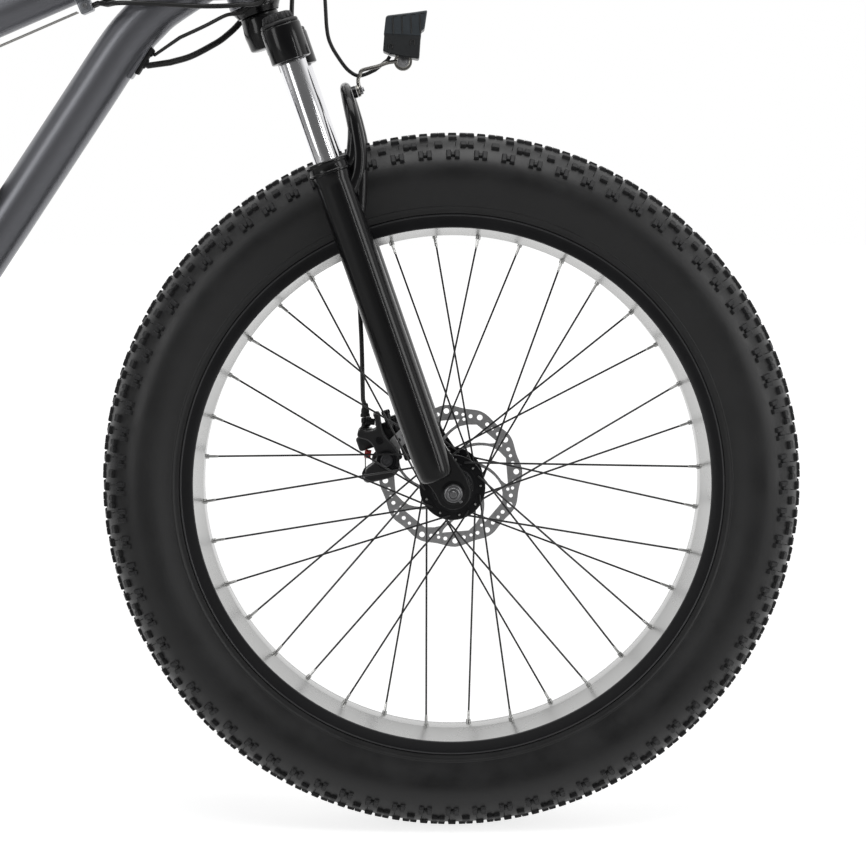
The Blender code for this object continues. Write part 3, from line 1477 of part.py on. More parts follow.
def make_chain():
    """Two side plates all the way round, with pins along the two long runs."""
    path, runs = chain_path()
    half = CHAIN_HEIGHT / 2
    outlines = [offset_path(path, half), offset_path(path, -half)]
    sides = []
    for sign in (-1, 1):
        y = -CHAIN_LINE + sign * (CHAIN_INNER_HALF + PLATE_THICKNESS / 2)
        frame = Matrix.Translation((0.0, y, 0.0)) @ Matrix.Rotation(math.pi / 2, 4, "X")
        sides.append(plate(outlines, PLATE_THICKNESS, frame))
    pins = []
    reach = Y_AXIS * (CHAIN_INNER_HALF + PLATE_THICKNESS * 0.7)
    for run in (runs[0], runs[3]):
        start = Vector((run[0][0], -CHAIN_LINE, run[0][1]))
        end = Vector((run[1][0], -CHAIN_LINE, run[1][1]))
        for share in (0.25, 0.42, 0.58, 0.75):
            middle = start.lerp(end, share)
            pins.append(cylinder(middle - reach, middle + reach, 0.0026, 4))
    return join(sides[0], sides[1], *pins)


# Rear derailleur, caliper and kickstand


def make_derailleur_body():
    """Hanger bolt, link body and the knuckle that the cage turns on."""
    hanger = Vector((REAR_AXLE.x - 0.015, 0.0, REAR_AXLE.z - 0.044))
    face = REAR_DROPOUT_OUTER + GAP
    bolt = cylinder(hanger - Y_AXIS * face, hanger - Y_AXIS * (face + 0.014), 0.0080, 14)
    cage = Vector((GUIDE_PULLEY[0], 0.0, GUIDE_PULLEY[1]))
    knuckle = cylinder(cage - Y_AXIS * (CAGE_OUTER + GAP), cage - Y_AXIS * (face + 0.014), 0.0110, 16)
    start = hanger - Y_AXIS * (face + 0.007)
    end = cage - Y_AXIS * (face + 0.007)
    link = block((start + end) / 2, ((end - start).length, 0.0140, 0.0140), along_axes(end - start), 0.002)
    return join(bolt, knuckle, link)


def make_derailleur_cage():
    """Two side plates with the guide and tension pulleys between them."""
    top = Vector((GUIDE_PULLEY[0], 0.0, GUIDE_PULLEY[1]))
    low = Vector((TENSION_PULLEY[0], 0.0, TENSION_PULLEY[1]))
    axes = along_axes(low - top)
    middle = (top + low) / 2
    pieces = []
    for y in (-CAGE_OUTER + 0.0010, -CHAIN_LINE + 0.0055):
        pieces.append(block(middle + Y_AXIS * y, ((low - top).length, 0.0018, 0.0130), axes))
        pieces.append(cylinder(top + Y_AXIS * (y - 0.0009), top + Y_AXIS * (y + 0.0009), 0.0100, 10))
        pieces.append(cylinder(low + Y_AXIS * (y - 0.0009), low + Y_AXIS * (y + 0.0009), 0.0100, 10))
    for centre in (top, low):
        here = centre - Y_AXIS * CHAIN_LINE
        pieces.append(cylinder(here - Y_AXIS * 0.0011, here + Y_AXIS * 0.0011, PULLEY_RADIUS + 0.0020, 14))
        pieces.append(cylinder(centre - Y_AXIS * (CAGE_OUTER - 0.0005), here + Y_AXIS * 0.0060, 0.0045, 6))
    return join(pieces[0], *pieces[1:])


def make_rear_caliper():
    """Body astride the rear disc, seated against the tab on the left stays."""
    body = block(REAR_AXLE + Vector(REAR_CALIPER), REAR_CALIPER_SIZE, REAR_CALIPER_AXES, 0.002)
    low = REAR_AXLE + Y_AXIS * (REAR_ROTOR_Y - CALIPER_SLOT)
    high = REAR_AXLE + Y_AXIS * (REAR_ROTOR_Y + CALIPER_SLOT)
    return cut(body, cylinder(low, high, ROTOR_RADIUS + 0.0030, 48))


def kickstand_axis():
    """Square to the leg as it stands and as it is stowed, when it points back along the chainstay."""
    down = (KICKSTAND_FOOT - KICKSTAND_PIVOT).normalized()
    stowed = Vector((-1.0, 0.08, 0.04)).normalized()
    return down.cross(stowed).normalized()


def kickstand_knee():
    """The frame's bracket above the kickstand's barrel."""
    axes = facing(kickstand_axis(), X_AXIS)
    up = -axes.to_3x3().col[1]
    centre = KICKSTAND_PIVOT - kickstand_axis() * (0.0030 + 0.011) + up * 0.014
    return block(centre, (0.034, 0.050, 0.022), axes)


def make_kickstand():
    """Leg with its pivot barrel and a flat rubber foot."""
    axis = kickstand_axis()
    barrel = cylinder(KICKSTAND_PIVOT - axis * 0.0027, KICKSTAND_PIVOT + axis * 0.0110, 0.0110)
    down = (KICKSTAND_FOOT - KICKSTAND_PIVOT).normalized()
    leg = cylinder(KICKSTAND_PIVOT + axis * 0.0055, KICKSTAND_FOOT - down * 0.010, 0.0080, 12)
    pad = cylinder(KICKSTAND_FOOT, KICKSTAND_FOOT + Z_AXIS * 0.014, 0.0190, end_radius=0.0120)
    return join(barrel, leg, pad)


# Cables


def cable(radius, start, route, end=(), wire=(), rear=()):
    """A tube along points that stay straight at its ends; the bare wire between housings is thinner."""
    front = [*start, *smooth_route(route, per_span=2), *end]
    thin = WIRE / HOUSING
    points = []
    factors = []
    if rear:
        points += rear
        factors += [1.0] * len(rear)
        points.append(rear[-1] + (wire[0] - rear[-1]).normalized() * 0.0002)
        factors.append(thin)
    if wire:
        points += [*wire, front[0] - (front[0] - wire[-1]).normalized() * 0.0002]
        factors += [thin] * (len(wire) + 1)
    return tube([*points, *front], radius, resolution=2, factors=factors + [1.0] * len(front))


def lever_stop(side):
    """Two points of a housing: short of the lever's stop, and on it."""
    out, ahead, _ = bar_axes(side)
    place = lever_pivot(side) - out * (0.028 + GAP) - ahead * 0.004
    return [place - out * 0.014, place]


def shifter_stop():
    out, _, up = bar_axes(-1)
    place = bar_at(-1, LEVER_CLAMP_Y) - up * 0.0245 - out * (0.027 + GAP)
    return [place - out * 0.014, place]


def make_front_brake_cable():
    """Bare wire through the caliper's barrel, then housing behind the left leg to the left lever."""
    low = CALIPER_WIRE + Z_AXIS * 0.0019
    barrel = CALIPER_WIRE + Z_AXIS * (BARREL_TOP + GAP)
    start = [barrel, barrel + Z_AXIS * 0.012]
    route = [
        from_axle(-0.0954, 0.0770, 0.0812),
        from_axle(-0.0975, 0.0880, 0.1565),
        from_axle(-0.1028, 0.0940, 0.2163),
        from_axle(-0.1202, 0.1020, 0.2760),
        from_axle(-0.1439, 0.1060, 0.3409),
        from_axle(-0.1675, 0.1080, 0.4110),
        from_axle(-0.1720, 0.1120, 0.5012),
        rising(0.0665, 0.1200, 0.346),
        rising(0.0958, 0.1300, 0.746),
        rising(0.0986, 0.1480, 1.029),
    ]
    return cable(HOUSING, start, route, lever_stop(1), wire=[low])


def stop_start(y):
    """Wire between the two stops, and the front housing's first two points."""
    hole = stop_hole(y)
    front = hole + TOP_ALONG * (STOP_LENGTH / 2 + GAP)
    wire = [hole - TOP_ALONG * (REAR_STOP - 0.010), hole - TOP_ALONG * 0.010]
    return wire, [front, front + TOP_ALONG * 0.006]


def rear_housing(start, route, y):
    """Housing from the back of the bicycle to the welded stop."""
    seat = stop_hole(y) - TOP_ALONG * (REAR_STOP + REAR_STOP_LENGTH / 2 + GAP)
    return [*start, *smooth_route(route, per_span=2), seat - TOP_ALONG * 0.006, seat]


def make_rear_brake_cable():
    """From the right lever, past the head tube, under the top tube and down the left seat stay."""
    wire, start = stop_start(STOP_Y)
    forwards = REAR_CALIPER_AXES.col[0]
    face = REAR_AXLE + Vector(REAR_CALIPER) + forwards * (REAR_CALIPER_SIZE[0] / 2 + GAP)
    rear_route = [
        from_rear_axle(0.1035, 0.0770, 0.0862),
        from_rear_axle(0.1325, 0.0800, 0.1492),
        from_rear_axle(0.2085, 0.0720, 0.2372),
        from_rear_axle(0.2740, 0.0590, 0.2932),
        from_stays(-0.0351, 0.0380, -0.0311),
        from_stays(0.0079, 0.0250, -0.0251),
        from_stays(0.0379, 0.0150, -0.0191),
    ]
    route = [
        from_axle(-0.3490, -0.0100, 0.5057),
        from_axle(-0.3320, -0.0280, 0.5087),
        from_axle(-0.2940, -0.0340, 0.5072),
        from_axle(-0.2500, -0.0350, 0.5042),
        from_axle(-0.2160, -0.0345, 0.5072),
        from_axle(-0.1840, -0.0400, 0.5192),
        rising(0.0628, -0.0560, 0.253),
        rising(0.0936, -0.0800, 0.600),
        rising(0.1048, -0.1200, 0.969),
    ]
    rear = rear_housing([face, face + forwards * 0.010], rear_route, STOP_Y)
    return cable(HOUSING, start, route, lever_stop(-1), wire, rear)


def make_shift_cable():
    """From the shifter, past the head tube, under the top tube and down the right seat stay."""
    wire, start = stop_start(-STOP_Y)
    seat = from_rear_axle(-0.0127, -0.1020, -0.0674)
    outlet = from_rear_axle(-0.0210, -0.1020, -0.0710)
    rear_route = [
        from_rear_axle(-0.0470, -0.1020, -0.0688),
        from_rear_axle(-0.0500, -0.1020, -0.0388),
        from_rear_axle(-0.0330, -0.1020, 0.0032),
        from_rear_axle(0.0050, -0.1020, 0.0322),
        from_rear_axle(0.0440, -0.1000, 0.0592),
        from_rear_axle(0.0940, -0.0880, 0.1112),
        from_rear_axle(0.1300, -0.0820, 0.1512),
        from_rear_axle(0.2085, -0.0720, 0.2372),
        from_rear_axle(0.2740, -0.0590, 0.2932),
        from_stays(-0.0351, -0.0380, -0.0311),
        from_stays(0.0079, -0.0250, -0.0251),
        from_stays(0.0379, -0.0150, -0.0191),
    ]
    route = [
        from_axle(-0.3550, -0.0150, 0.4988),
        from_axle(-0.3390, -0.0285, 0.4998),
        from_axle(-0.2995, -0.0320, 0.4985),
        from_axle(-0.2586, -0.0350, 0.4960),
        from_axle(-0.2177, -0.0345, 0.4975),
        from_axle(-0.1900, -0.0480, 0.5042),
        rising(0.0463, -0.0740, 0.230),
        rising(0.0723, -0.1000, 0.585),
        rising(0.0775, -0.1300, 0.914),
    ]
    rear = rear_housing([seat, outlet], rear_route, -STOP_Y)
    return cable(HOUSING, start, route, shifter_stop(), wire, rear)


def port_start(place):
    """Two points of a cable: in its blind hole in the port, and straight out of it."""
    along, out = port_axes().col[0], port_axes().col[2]
    mouth = PORT_MIDDLE + along * place
    return [mouth + out * (PORT_SIZE[2] / 2 - PORT_HOLE_DEPTH + GAP), mouth + out * 0.0060]


def make_harness_cable():
    route = [
        from_axle(-0.2939, 0.0080, 0.4412),
        from_axle(-0.2737, 0.0170, 0.4477),
        from_axle(-0.2534, 0.0250, 0.4586),
        from_axle(-0.2381, 0.0300, 0.4688),
        from_axle(-0.2200, 0.0340, 0.4872),
        rising(0.0169, 0.0360, 0.103),
        rising(0.0485, 0.0300, 0.375),
        rising(0.0779, 0.0300, 0.675),
        rising(0.0984, 0.0300, 0.940),
    ]
    return cable(HARNESS_CABLE, port_start(HARNESS_PLACE), route, display_stop(0.020))


def make_sensor_cable():
    route = [
        from_axle(-0.2812, -0.0120, 0.4657),
        from_axle(-0.2544, -0.0230, 0.4768),
        from_axle(-0.2320, -0.0300, 0.4872),
        from_axle(-0.2145, -0.0310, 0.4912),
        from_axle(-0.1900, -0.0300, 0.5162),
        rising(0.0547, -0.0240, 0.315),
        rising(0.0813, -0.0200, 0.620),
        rising(0.0977, -0.0180, 0.916),
    ]
    return cable(THIN_CABLE, port_start(THIN_PLACE), route, display_stop(-0.018))


def display_stop(y):
    """Two points of a cable: below the display, and at its underside."""
    place = display_centre() + DISPLAY_AXES @ Vector((0.018, y, -0.0070 - GAP))
    return [place - DISPLAY_AXES.col[2] * 0.012, place]


def make_headlight_cable():
    """From the lamp's underside, behind its bracket and up to the display."""
    route = [
        LAMP_PIVOT + Vector((-0.0137, 0.0030, 0.0060)),
        LAMP_PIVOT + Vector((-0.0160, 0.0034, 0.0022)),
        from_axle(-0.0803, 0.0045, 0.4334),
        from_axle(-0.0907, 0.0045, 0.4288),
        from_axle(-0.0991, 0.0045, 0.4277),
        from_axle(-0.1084, 0.0045, 0.4334),
        from_axle(-0.1167, 0.0040, 0.4437),
        from_axle(-0.1259, 0.0020, 0.4590),
        from_axle(-0.1299, 0.0000, 0.4742),
        from_axle(-0.1317, -0.0020, 0.5046),
        rising(0.0906, -0.0020, 0.257),
        rising(0.1105, 0.0000, 0.672),
        rising(0.1054, 0.0010, 0.978),
    ]
    return cable(THIN_CABLE, [], route, display_stop(0.001))


def build_front():
    """The steered front end and its wheel."""
    steering = pivot_at("steering_pivot", fork(0, 0, HEAD_BOTTOM), STEER_AXIS)
    slide = pivot_at("fork_slide_pivot", fork(0, 0, SEAL_TOP), STEER_AXIS, steering)
    wheel = pivot_at("front_wheel_pivot", FRONT_AXLE, Y_AXIS, slide)

    part(make_crown(), "fork_crown", "gloss_black", steering)
    part(make_stanchion(-1), "stanchion_right", "chrome", steering)
    part(make_stanchion(1), "stanchion_left", "chrome", steering)
    for side, word in ((-1, "right"), (1, "left")):
        top = fork(LEG_OFFSET, side * LEG_Y, CROWN_TOP)
        knob = pivot_at(f"preload_{word}_pivot", top, STEER_AXIS, steering)
        part(make_cap(side), f"preload_knob_{word}", "satin_black", knob)
        part(make_lever_mount(side), f"lever_mount_{word}", "satin_black", steering)
        _, _, up = bar_axes(side)
        lever = pivot_at(f"brake_lever_{word}_pivot", lever_pivot(side), up, steering)
        part(make_brake_lever(side), f"brake_lever_{word}", "satin_black", lever)
        part(make_grip(side), f"grip_{word}", "black_rubber", steering)
    part(make_stem(), "stem", "satin_black", steering)
    part(make_handlebar(), "handlebar", "satin_black", steering)
    part(make_display(), "display", "satin_black", steering)
    out, _, up = bar_axes(-1)
    twist = pivot_at("throttle_pivot", bar_at(-1, 0.24), out, steering)
    part(make_throttle(), "throttle", "black_rubber", twist)
    shift = pivot_at("shift_pivot", shift_pivot(), up, steering)
    part(make_shift_lever(), "shift_lever", "satin_black", shift)

    part(make_fork_lowers(), "fork_lowers", "gloss_black", slide)
    part(make_front_axle(), "front_axle", "steel", slide)
    part(make_front_caliper(), "front_caliper", "satin_black", slide)
    part(make_lamp_bracket(), "headlight_bracket", "silver", slide)
    release = pivot_at("quick_release_pivot", fork(RAKE, QR_Y, 0), -FORK_FORWARD, slide)
    part(make_quick_release(), "quick_release_lever", "steel", release)
    arm = pivot_at("front_arm_pivot", fork(CALIPER[0], CALIPER_ARM_Y, CALIPER[1]), Y_AXIS, slide)
    part(make_front_caliper_arm(), "front_caliper_arm", "steel", arm)
    lamp_hinge = pivot_at("headlight_pivot", LAMP_PIVOT, Y_AXIS, slide)
    part(make_headlight(), "headlight", "lamp_cover", lamp_hinge)

    part(make_front_hub(), "front_hub", "gloss_black", wheel)
    part(make_front_spokes(-1), "front_spokes_right", "satin_black", wheel)
    part(make_front_spokes(1), "front_spokes_left", "satin_black", wheel)
    part(make_rim(FRONT_AXLE), "front_rim", "gloss_black", wheel)
    part(make_tyre(FRONT_AXLE), "front_tyre", "tyre_rubber", wheel)
    part(make_rotor(FRONT_AXLE, ROTOR_Y), "front_brake_disc", "steel", wheel)

    part(make_front_brake_cable(), "front_brake_cable", "black_rubber", steering)
    part(make_headlight_cable(), "headlight_cable", "black_rubber", steering)


def build_frame():
    """The frame and everything that doesn't move on it."""
    part(make_frame(), "main_frame", "frame_grey")
    part(make_lower_cup(), "lower_headset_cup", "gloss_black")
    part(make_cable_port(), "cable_port", "black_rubber")
    part(make_cable_stop(), "top_tube_cable_stop", "frame_grey")
    part(make_battery_rail(), "battery_rail", "satin_black")
    part(make_seat_clamp(), "seat_clamp", "satin_black")
    part(make_rear_axle(), "rear_axle", "steel")
    part(make_rear_caliper(), "rear_caliper", "satin_black")
    part(make_derailleur_body(), "derailleur_body", "satin_black")
    part(make_chain(), "chain", "steel")
    part(make_shift_cable(), "shift_cable", "black_rubber")
    part(make_harness_cable(), "harness_cable", "black_rubber")
    part(make_sensor_cable(), "sensor_cable", "black_rubber")
    part(make_rear_brake_cable(), "rear_brake_cable", "black_rubber")

    battery = pivot_at("battery_slide", down_line(BATTERY_START), DOWN_AXES.col[0])
    part(make_battery(), "battery_pack", "satin_black", battery)
    seat = pivot_at("seat_post_slide", seat_line(SEAT_TUBE_LENGTH), seat_line(1.0) - seat_line(0.0))
    part(make_seat_post(), "seat_post", "satin_black", seat)
    part(make_saddle_base(), "saddle_base", "satin_black", seat)
    part(make_saddle_cushion(), "saddle_cushion", "saddle_skin", seat)
    stand = pivot_at("kickstand_pivot", KICKSTAND_PIVOT, kickstand_axis())
    part(make_kickstand(), "kickstand", "satin_black", stand)


def build_drive():
    """Rear wheel, freewheel, crankset and derailleur cage."""
    wheel = pivot_at("rear_wheel_pivot", REAR_AXLE, Y_AXIS)
    part(make_motor(), "rear_hub_motor", "satin_black", wheel)
    part(make_rim(REAR_AXLE), "rear_rim", "gloss_black", wheel)
    part(make_tyre(REAR_AXLE), "rear_tyre", "tyre_rubber", wheel)
    part(make_rotor(REAR_AXLE, REAR_ROTOR_Y), "rear_brake_disc", "steel", wheel)
    ratchet = pivot_at("freewheel_pivot", REAR_AXLE - Y_AXIS * CHAIN_LINE, Y_AXIS)
    part(make_freewheel(), "freewheel", "steel", ratchet)
    cranks = pivot_at("crank_pivot", BRACKET, Y_AXIS)
    part(make_right_crank(), "crank_right", "satin_black", cranks)
    part(make_left_crank(), "crank_left", "satin_black", cranks)
    for side, word in ((-1, "right"), (1, "left")):
        pedal = pivot_at(f"pedal_{word}_pivot", crank_end(side), Y_AXIS, cranks)
        part(make_pedal(side), f"pedal_{word}", "satin_black", pedal)
    top = Vector((GUIDE_PULLEY[0], -CHAIN_LINE, GUIDE_PULLEY[1]))
    cage = pivot_at("cage_pivot", top, Y_AXIS)
    part(make_derailleur_cage(), "derailleur_cage", "satin_black", cage)


build_front()
build_frame()
build_drive()
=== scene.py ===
"""The looks of an electric bicycle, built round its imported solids.

Metres, in the frame of the solids: +X points to the front wheel, +Y to the rider's left, +Z up.
"""

import logging
import math
from dataclasses import dataclass
from enum import Enum
from typing import Callable, Optional, Sequence

import bmesh
import bpy
from mathutils import Matrix, Vector
from mathutils.bvhtree import BVHTree


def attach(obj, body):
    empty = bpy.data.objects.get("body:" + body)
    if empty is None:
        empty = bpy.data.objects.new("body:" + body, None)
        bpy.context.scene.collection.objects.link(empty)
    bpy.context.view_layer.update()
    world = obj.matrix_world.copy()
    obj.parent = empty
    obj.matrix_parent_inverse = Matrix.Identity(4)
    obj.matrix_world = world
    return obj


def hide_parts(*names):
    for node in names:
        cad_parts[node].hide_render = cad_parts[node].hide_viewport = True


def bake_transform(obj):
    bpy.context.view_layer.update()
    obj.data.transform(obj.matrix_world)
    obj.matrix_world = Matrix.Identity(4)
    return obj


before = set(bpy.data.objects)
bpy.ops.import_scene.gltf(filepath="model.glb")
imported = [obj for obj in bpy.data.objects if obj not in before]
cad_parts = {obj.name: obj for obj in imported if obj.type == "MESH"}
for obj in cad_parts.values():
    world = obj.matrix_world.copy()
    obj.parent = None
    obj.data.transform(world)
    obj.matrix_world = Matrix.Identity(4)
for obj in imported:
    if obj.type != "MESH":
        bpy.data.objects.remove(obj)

LOG = logging.getLogger("electric_bicycle")

# The sizes that the solids have
WHEELBASE = 1.16
HEAD_TILT = math.radians(19.0)
RAKE = 0.03
TYRE_RADIUS = 0.3688
FRONT_AXLE = Vector((WHEELBASE / 2, 0.0, TYRE_RADIUS))
REAR_AXLE = Vector((-WHEELBASE / 2, 0.0, TYRE_RADIUS))
BRACKET = Vector((-0.1, 0.0, 0.325))
X_AXIS = Vector((1.0, 0.0, 0.0))
Y_AXIS = Vector((0.0, 1.0, 0.0))
Z_AXIS = Vector((0.0, 0.0, 1.0))
STEER_AXIS = Vector((-math.sin(HEAD_TILT), 0.0, math.cos(HEAD_TILT)))
FORK_FORWARD = Vector((math.cos(HEAD_TILT), 0.0, math.sin(HEAD_TILT)))
STEER_FOOT = FRONT_AXLE - FORK_FORWARD * RAKE
FORK_AXES = Matrix((FORK_FORWARD, Y_AXIS, STEER_AXIS)).transposed()

# Places that follow from the sizes above
BAR_FORWARD = 0.07
BAR_HEIGHT = 0.752
BAR_RISE = 0.045
HEAD_TOP = 0.68
STEM_TOP = 0.745
BAR_BEND_Y = 0.15
BAR_END_Y = 0.34
BAR_SWEEP = 0.033
LEVER_Y = 0.196
LAMP_SEAT = 0.421
DOWN_JOIN = 0.592
RIM_SEAT = 0.2622
SPOKE_SPREAD = 0.01
WIRE_HOLE_Y = 0.0048
SHELL_RADIUS = 0.0215
CRANK_EYE_Y = 0.096
DISPLAY_AXES = Matrix.Rotation(-math.radians(14.0), 3, "Y") @ FORK_AXES
DOWN_START = BRACKET + Vector((0.01234, 0.0, 0.01985))
DOWN_BEND = FRONT_AXLE + Vector((-0.435, 0.0, 0.3197))
DOWN_ALONG = (DOWN_BEND - DOWN_START).normalized()
DOWN_ABOVE = DOWN_ALONG.cross(Y_AXIS)
DOWN_AXES = Matrix((DOWN_ALONG, Y_AXIS, DOWN_ABOVE)).transposed()
SEAT_TILT = math.radians(17.0)
SEAT_LENGTH = 0.46
POST_TOP = 0.615
SEAT_ALONG = Vector((-math.sin(SEAT_TILT), 0.0, math.cos(SEAT_TILT)))
TOP_START = BRACKET + SEAT_ALONG * (SEAT_LENGTH - 0.0512)
TOP_END = STEER_FOOT + STEER_AXIS * (HEAD_TOP - 0.0475)
TOP_ALONG = (TOP_END - TOP_START).normalized()
TOP_BELOW = TOP_ALONG.cross(Y_AXIS) * -1.0
TOP_AXES = Matrix((TOP_ALONG, Y_AXIS, TOP_BELOW)).transposed()
STOP_PLACE = FRONT_AXLE + Vector((-0.379, 0.0, 0.4975))
STOP_CENTRE = TOP_START + TOP_ALONG * (STOP_PLACE - TOP_START).dot(TOP_ALONG)
PORT_MIDDLE = FRONT_AXLE + Vector((-0.3197, 0.0, 0.4424))
PORT_TILT = math.radians(32.5)
PORT_AXES = Matrix(
    (
        (math.sin(PORT_TILT), 0.0, math.cos(PORT_TILT)),
        (0.0, 1.0, 0.0),
        (math.cos(PORT_TILT), 0.0, -math.sin(PORT_TILT)),
    )
).transposed()
LAMP_PIVOT = FRONT_AXLE + Vector((-0.0511, 0.0, 0.4415))
REAR_CALIPER = REAR_AXLE + Vector((0.06, 0.07, 0.036))
REAR_CALIPER_AXES = Matrix.Rotation(-math.radians(32.0), 3, "Y")

Profile = Sequence[tuple[float, float]]
Colour = tuple[float, float, float]


class Side(Enum):
    """A side of the bicycle, with the sign that Y has there."""

    RIGHT = -1
    LEFT = 1

    @property
    def word(self) -> str:
        """Return the side's name as the solids have it."""
        return self.name.lower()


class Lacing(Enum):
    """The way that a spoke leans round its hub."""

    TRAILING = -1
    LEADING = 1


# Places


def fork(p: float, y: float, s: float) -> Vector:
    """Return the point p ahead of the steering axis, y to the left and s up along it."""
    return STEER_FOOT + FORK_FORWARD * p + Y_AXIS * y + STEER_AXIS * s


def mm(*points: Sequence[float]) -> list[tuple[float, ...]]:
    """Return points in metres that are given in millimetres."""
    return [tuple(value / 1000 for value in point) for point in points]


def places(centre: Callable[..., Vector], *points: Sequence[float]) -> list[Vector]:
    """Return what a function such as from_axle makes of points in millimetres."""
    return [centre(*point) for point in mm(*points)]


def from_axle(x: float, y: float, z: float) -> Vector:
    """Return a point given from the middle of the front axle."""
    return FRONT_AXLE + Vector((x, y, z))


def from_rear_axle(x: float, y: float, z: float) -> Vector:
    """Return a point given from the middle of the rear axle."""
    return REAR_AXLE + Vector((x, y, z))


def facing(direction: Vector, up: Optional[Vector] = None) -> Matrix:
    """Make a rotation from a direction.

    Args:
        direction: where its Z runs.
        up: what its X lies nearest to.

    Returns:
        The rotation as a 4 x 4 matrix.
    """
    z = Vector(direction).normalized()
    guide = Vector(up) if up else (X_AXIS if abs(z.x) < 0.9 else Y_AXIS)
    y = z.cross(guide).normalized()
    return Matrix((y.cross(z), y, z)).transposed().to_4x4()


def placed(place: Vector, direction: Vector, up: Optional[Vector] = None) -> Matrix:
    """Return a frame at a place whose Z runs along a direction."""
    return Matrix.Translation(place) @ facing(direction, up)


def wheel_frame(centre: Vector) -> Matrix:
    """Return a wheel's frame: X forward, Z along the axle to the left."""
    return Matrix.Translation(centre) @ Matrix.Rotation(-math.pi / 2, 4, "X")


def wheel_way(angle: float) -> Vector:
    """Return the direction out from an axle at an angle, from ahead over the top."""
    return Vector((math.cos(angle), 0.0, math.sin(angle)))


def side_on(centre: Vector) -> Matrix:
    """Return a frame seen from the right: X forward and Y up."""
    return Matrix.Translation(centre) @ Matrix.Rotation(math.pi / 2, 4, "X")


def at_axes(place: Vector, axes: Optional[Matrix]) -> Matrix:
    """Return the frame at a place with these axes as its columns, or unturned."""
    return Matrix.Translation(place) @ (axes.to_3x3().to_4x4() if axes else Matrix.Identity(4))


def along_axes(direction: Vector) -> Matrix:
    """Return columns along a direction, across the bicycle, and square to both."""
    along = direction.normalized()
    return Matrix((along, Y_AXIS, along.cross(Y_AXIS))).transposed()


def smooth_route(points: Sequence[Vector], per_span: int = 6) -> list[Vector]:
    """Read points from a Catmull-Rom curve.

    Args:
        points: the route's own points.
        per_span: how many steps each span gets.

    Returns:
        The points along the curve, both ends included.
    """
    route = [Vector(p) for p in points]
    ends = [route[0] * 2 - route[1], *route, route[-1] * 2 - route[-2]]
    out = []
    for a, b, c, d in zip(ends, ends[1:], ends[2:], ends[3:]):
        for step in range(per_span):
            t = step / per_span
            bend = (2 * a - 5 * b + 4 * c - d) * t**2 + (3 * b - a - 3 * c + d) * t**3
            out.append(0.5 * (2 * b + (c - a) * t + bend))
    out.append(route[-1])
    return out


def ring_points(radius: float, count: int, centre: tuple[float, float] = (0.0, 0.0)) -> list:
    """Return the points of a circle in the plane.

    Args:
        radius: the circle's radius.
        count: how many points it has.
        centre: its middle.

    Returns:
        The points once round it.
    """
    turn = math.tau / count
    return [
        (centre[0] + radius * math.cos(turn * i), centre[1] + radius * math.sin(turn * i))
        for i in range(count)
    ]


def polar(radius: float, degrees: float) -> tuple[float, float]:
    """Return a point in the plane from its radius and its angle."""
    angle = math.radians(degrees)
    return radius * math.cos(angle), radius * math.sin(angle)


def spun(axis: Matrix, radius: float, turn: float, height: float) -> Vector:
    """Return the place at a radius, a turn and a height in a frame."""
    return axis @ Vector((radius * math.cos(turn), radius * math.sin(turn), height))


def bar_point(side: Side, distance: float) -> Vector:
    """Return a point on the bar's straight outer part: 0 at its bend, 1 at its end.

    Args:
        side: the side of the bicycle.
        distance: 0 at the bar's bend, 1 at its end.

    Returns:
        The point on the bar's centre line.
    """
    bend = Vector((BAR_FORWARD, side.value * BAR_BEND_Y, BAR_HEIGHT + BAR_RISE))
    end = Vector((BAR_FORWARD - BAR_SWEEP, side.value * BAR_END_Y, BAR_HEIGHT + BAR_RISE))
    return fork(*bend.lerp(end, distance))


def bar_at(side: Side, y: float) -> Vector:
    """Return the bar's middle at a distance from the bicycle's middle."""
    return bar_point(side, (y - BAR_BEND_Y) / (BAR_END_Y - BAR_BEND_Y))


def bar_axes(side: Side) -> tuple[Vector, Vector, Vector]:
    """Return the directions at one hand: outwards along the bar, forwards, and up.

    Args:
        side: the hand's side.

    Returns:
        The three directions, each of length 1.
    """
    out = (bar_point(side, 1.0) - bar_point(side, 0.0)).normalized()
    up = (Z_AXIS - out * Z_AXIS.dot(out)).normalized()
    ahead = up.cross(out)
    return out, ahead if ahead.x > 0 else -ahead, up


def lever_pivot(side: Side) -> Vector:
    """Return the place of a brake lever's pin."""
    out, ahead, up = bar_axes(side)
    return bar_at(side, LEVER_Y) + ahead * 0.03 + out * 0.006 - up * 0.004


def lever_stop(side: Side) -> list[Vector]:
    """Return the last two points of a brake housing, at its lever.

    Args:
        side: the lever's side.

    Returns:
        Two points, the last one inside the lever's mount.
    """
    out, ahead, _ = bar_axes(side)
    place = lever_pivot(side) - out * 0.0283 - ahead * 0.004
    return [place - out * 0.014, place]


def shifter_stop() -> list[Vector]:
    """Return the last two points of the shift housing.

    Returns:
        Two points, the last one inside the shifter.
    """
    out, _, up = bar_axes(Side.RIGHT)
    place = bar_at(Side.RIGHT, LEVER_Y) - up * 0.0245 - out * 0.0273
    return [place - out * 0.014, place]


def display_centre() -> Vector:
    """Return the middle of the display."""
    return fork(BAR_FORWARD + 0.004, 0.0, BAR_HEIGHT + 0.041)


def display_stop(y: float) -> list[Vector]:
    """Return the last two points of a cable that ends under the display.

    Args:
        y: the cable's place across the display.

    Returns:
        Two points, the last one at the display.
    """
    place = display_centre() + DISPLAY_AXES @ Vector((0.018, y, -0.0073))
    return [place - DISPLAY_AXES.col[2] * 0.012, place]


def down_line(distance: float, outwards: float = 0.0) -> Vector:
    """Return a point along the down tube and out of its upper side."""
    return DOWN_START + DOWN_ALONG * distance + DOWN_ABOVE * outwards


def seat_line(distance: float) -> Vector:
    """Return a point up the seat tube from the bottom bracket."""
    return BRACKET + SEAT_ALONG * distance


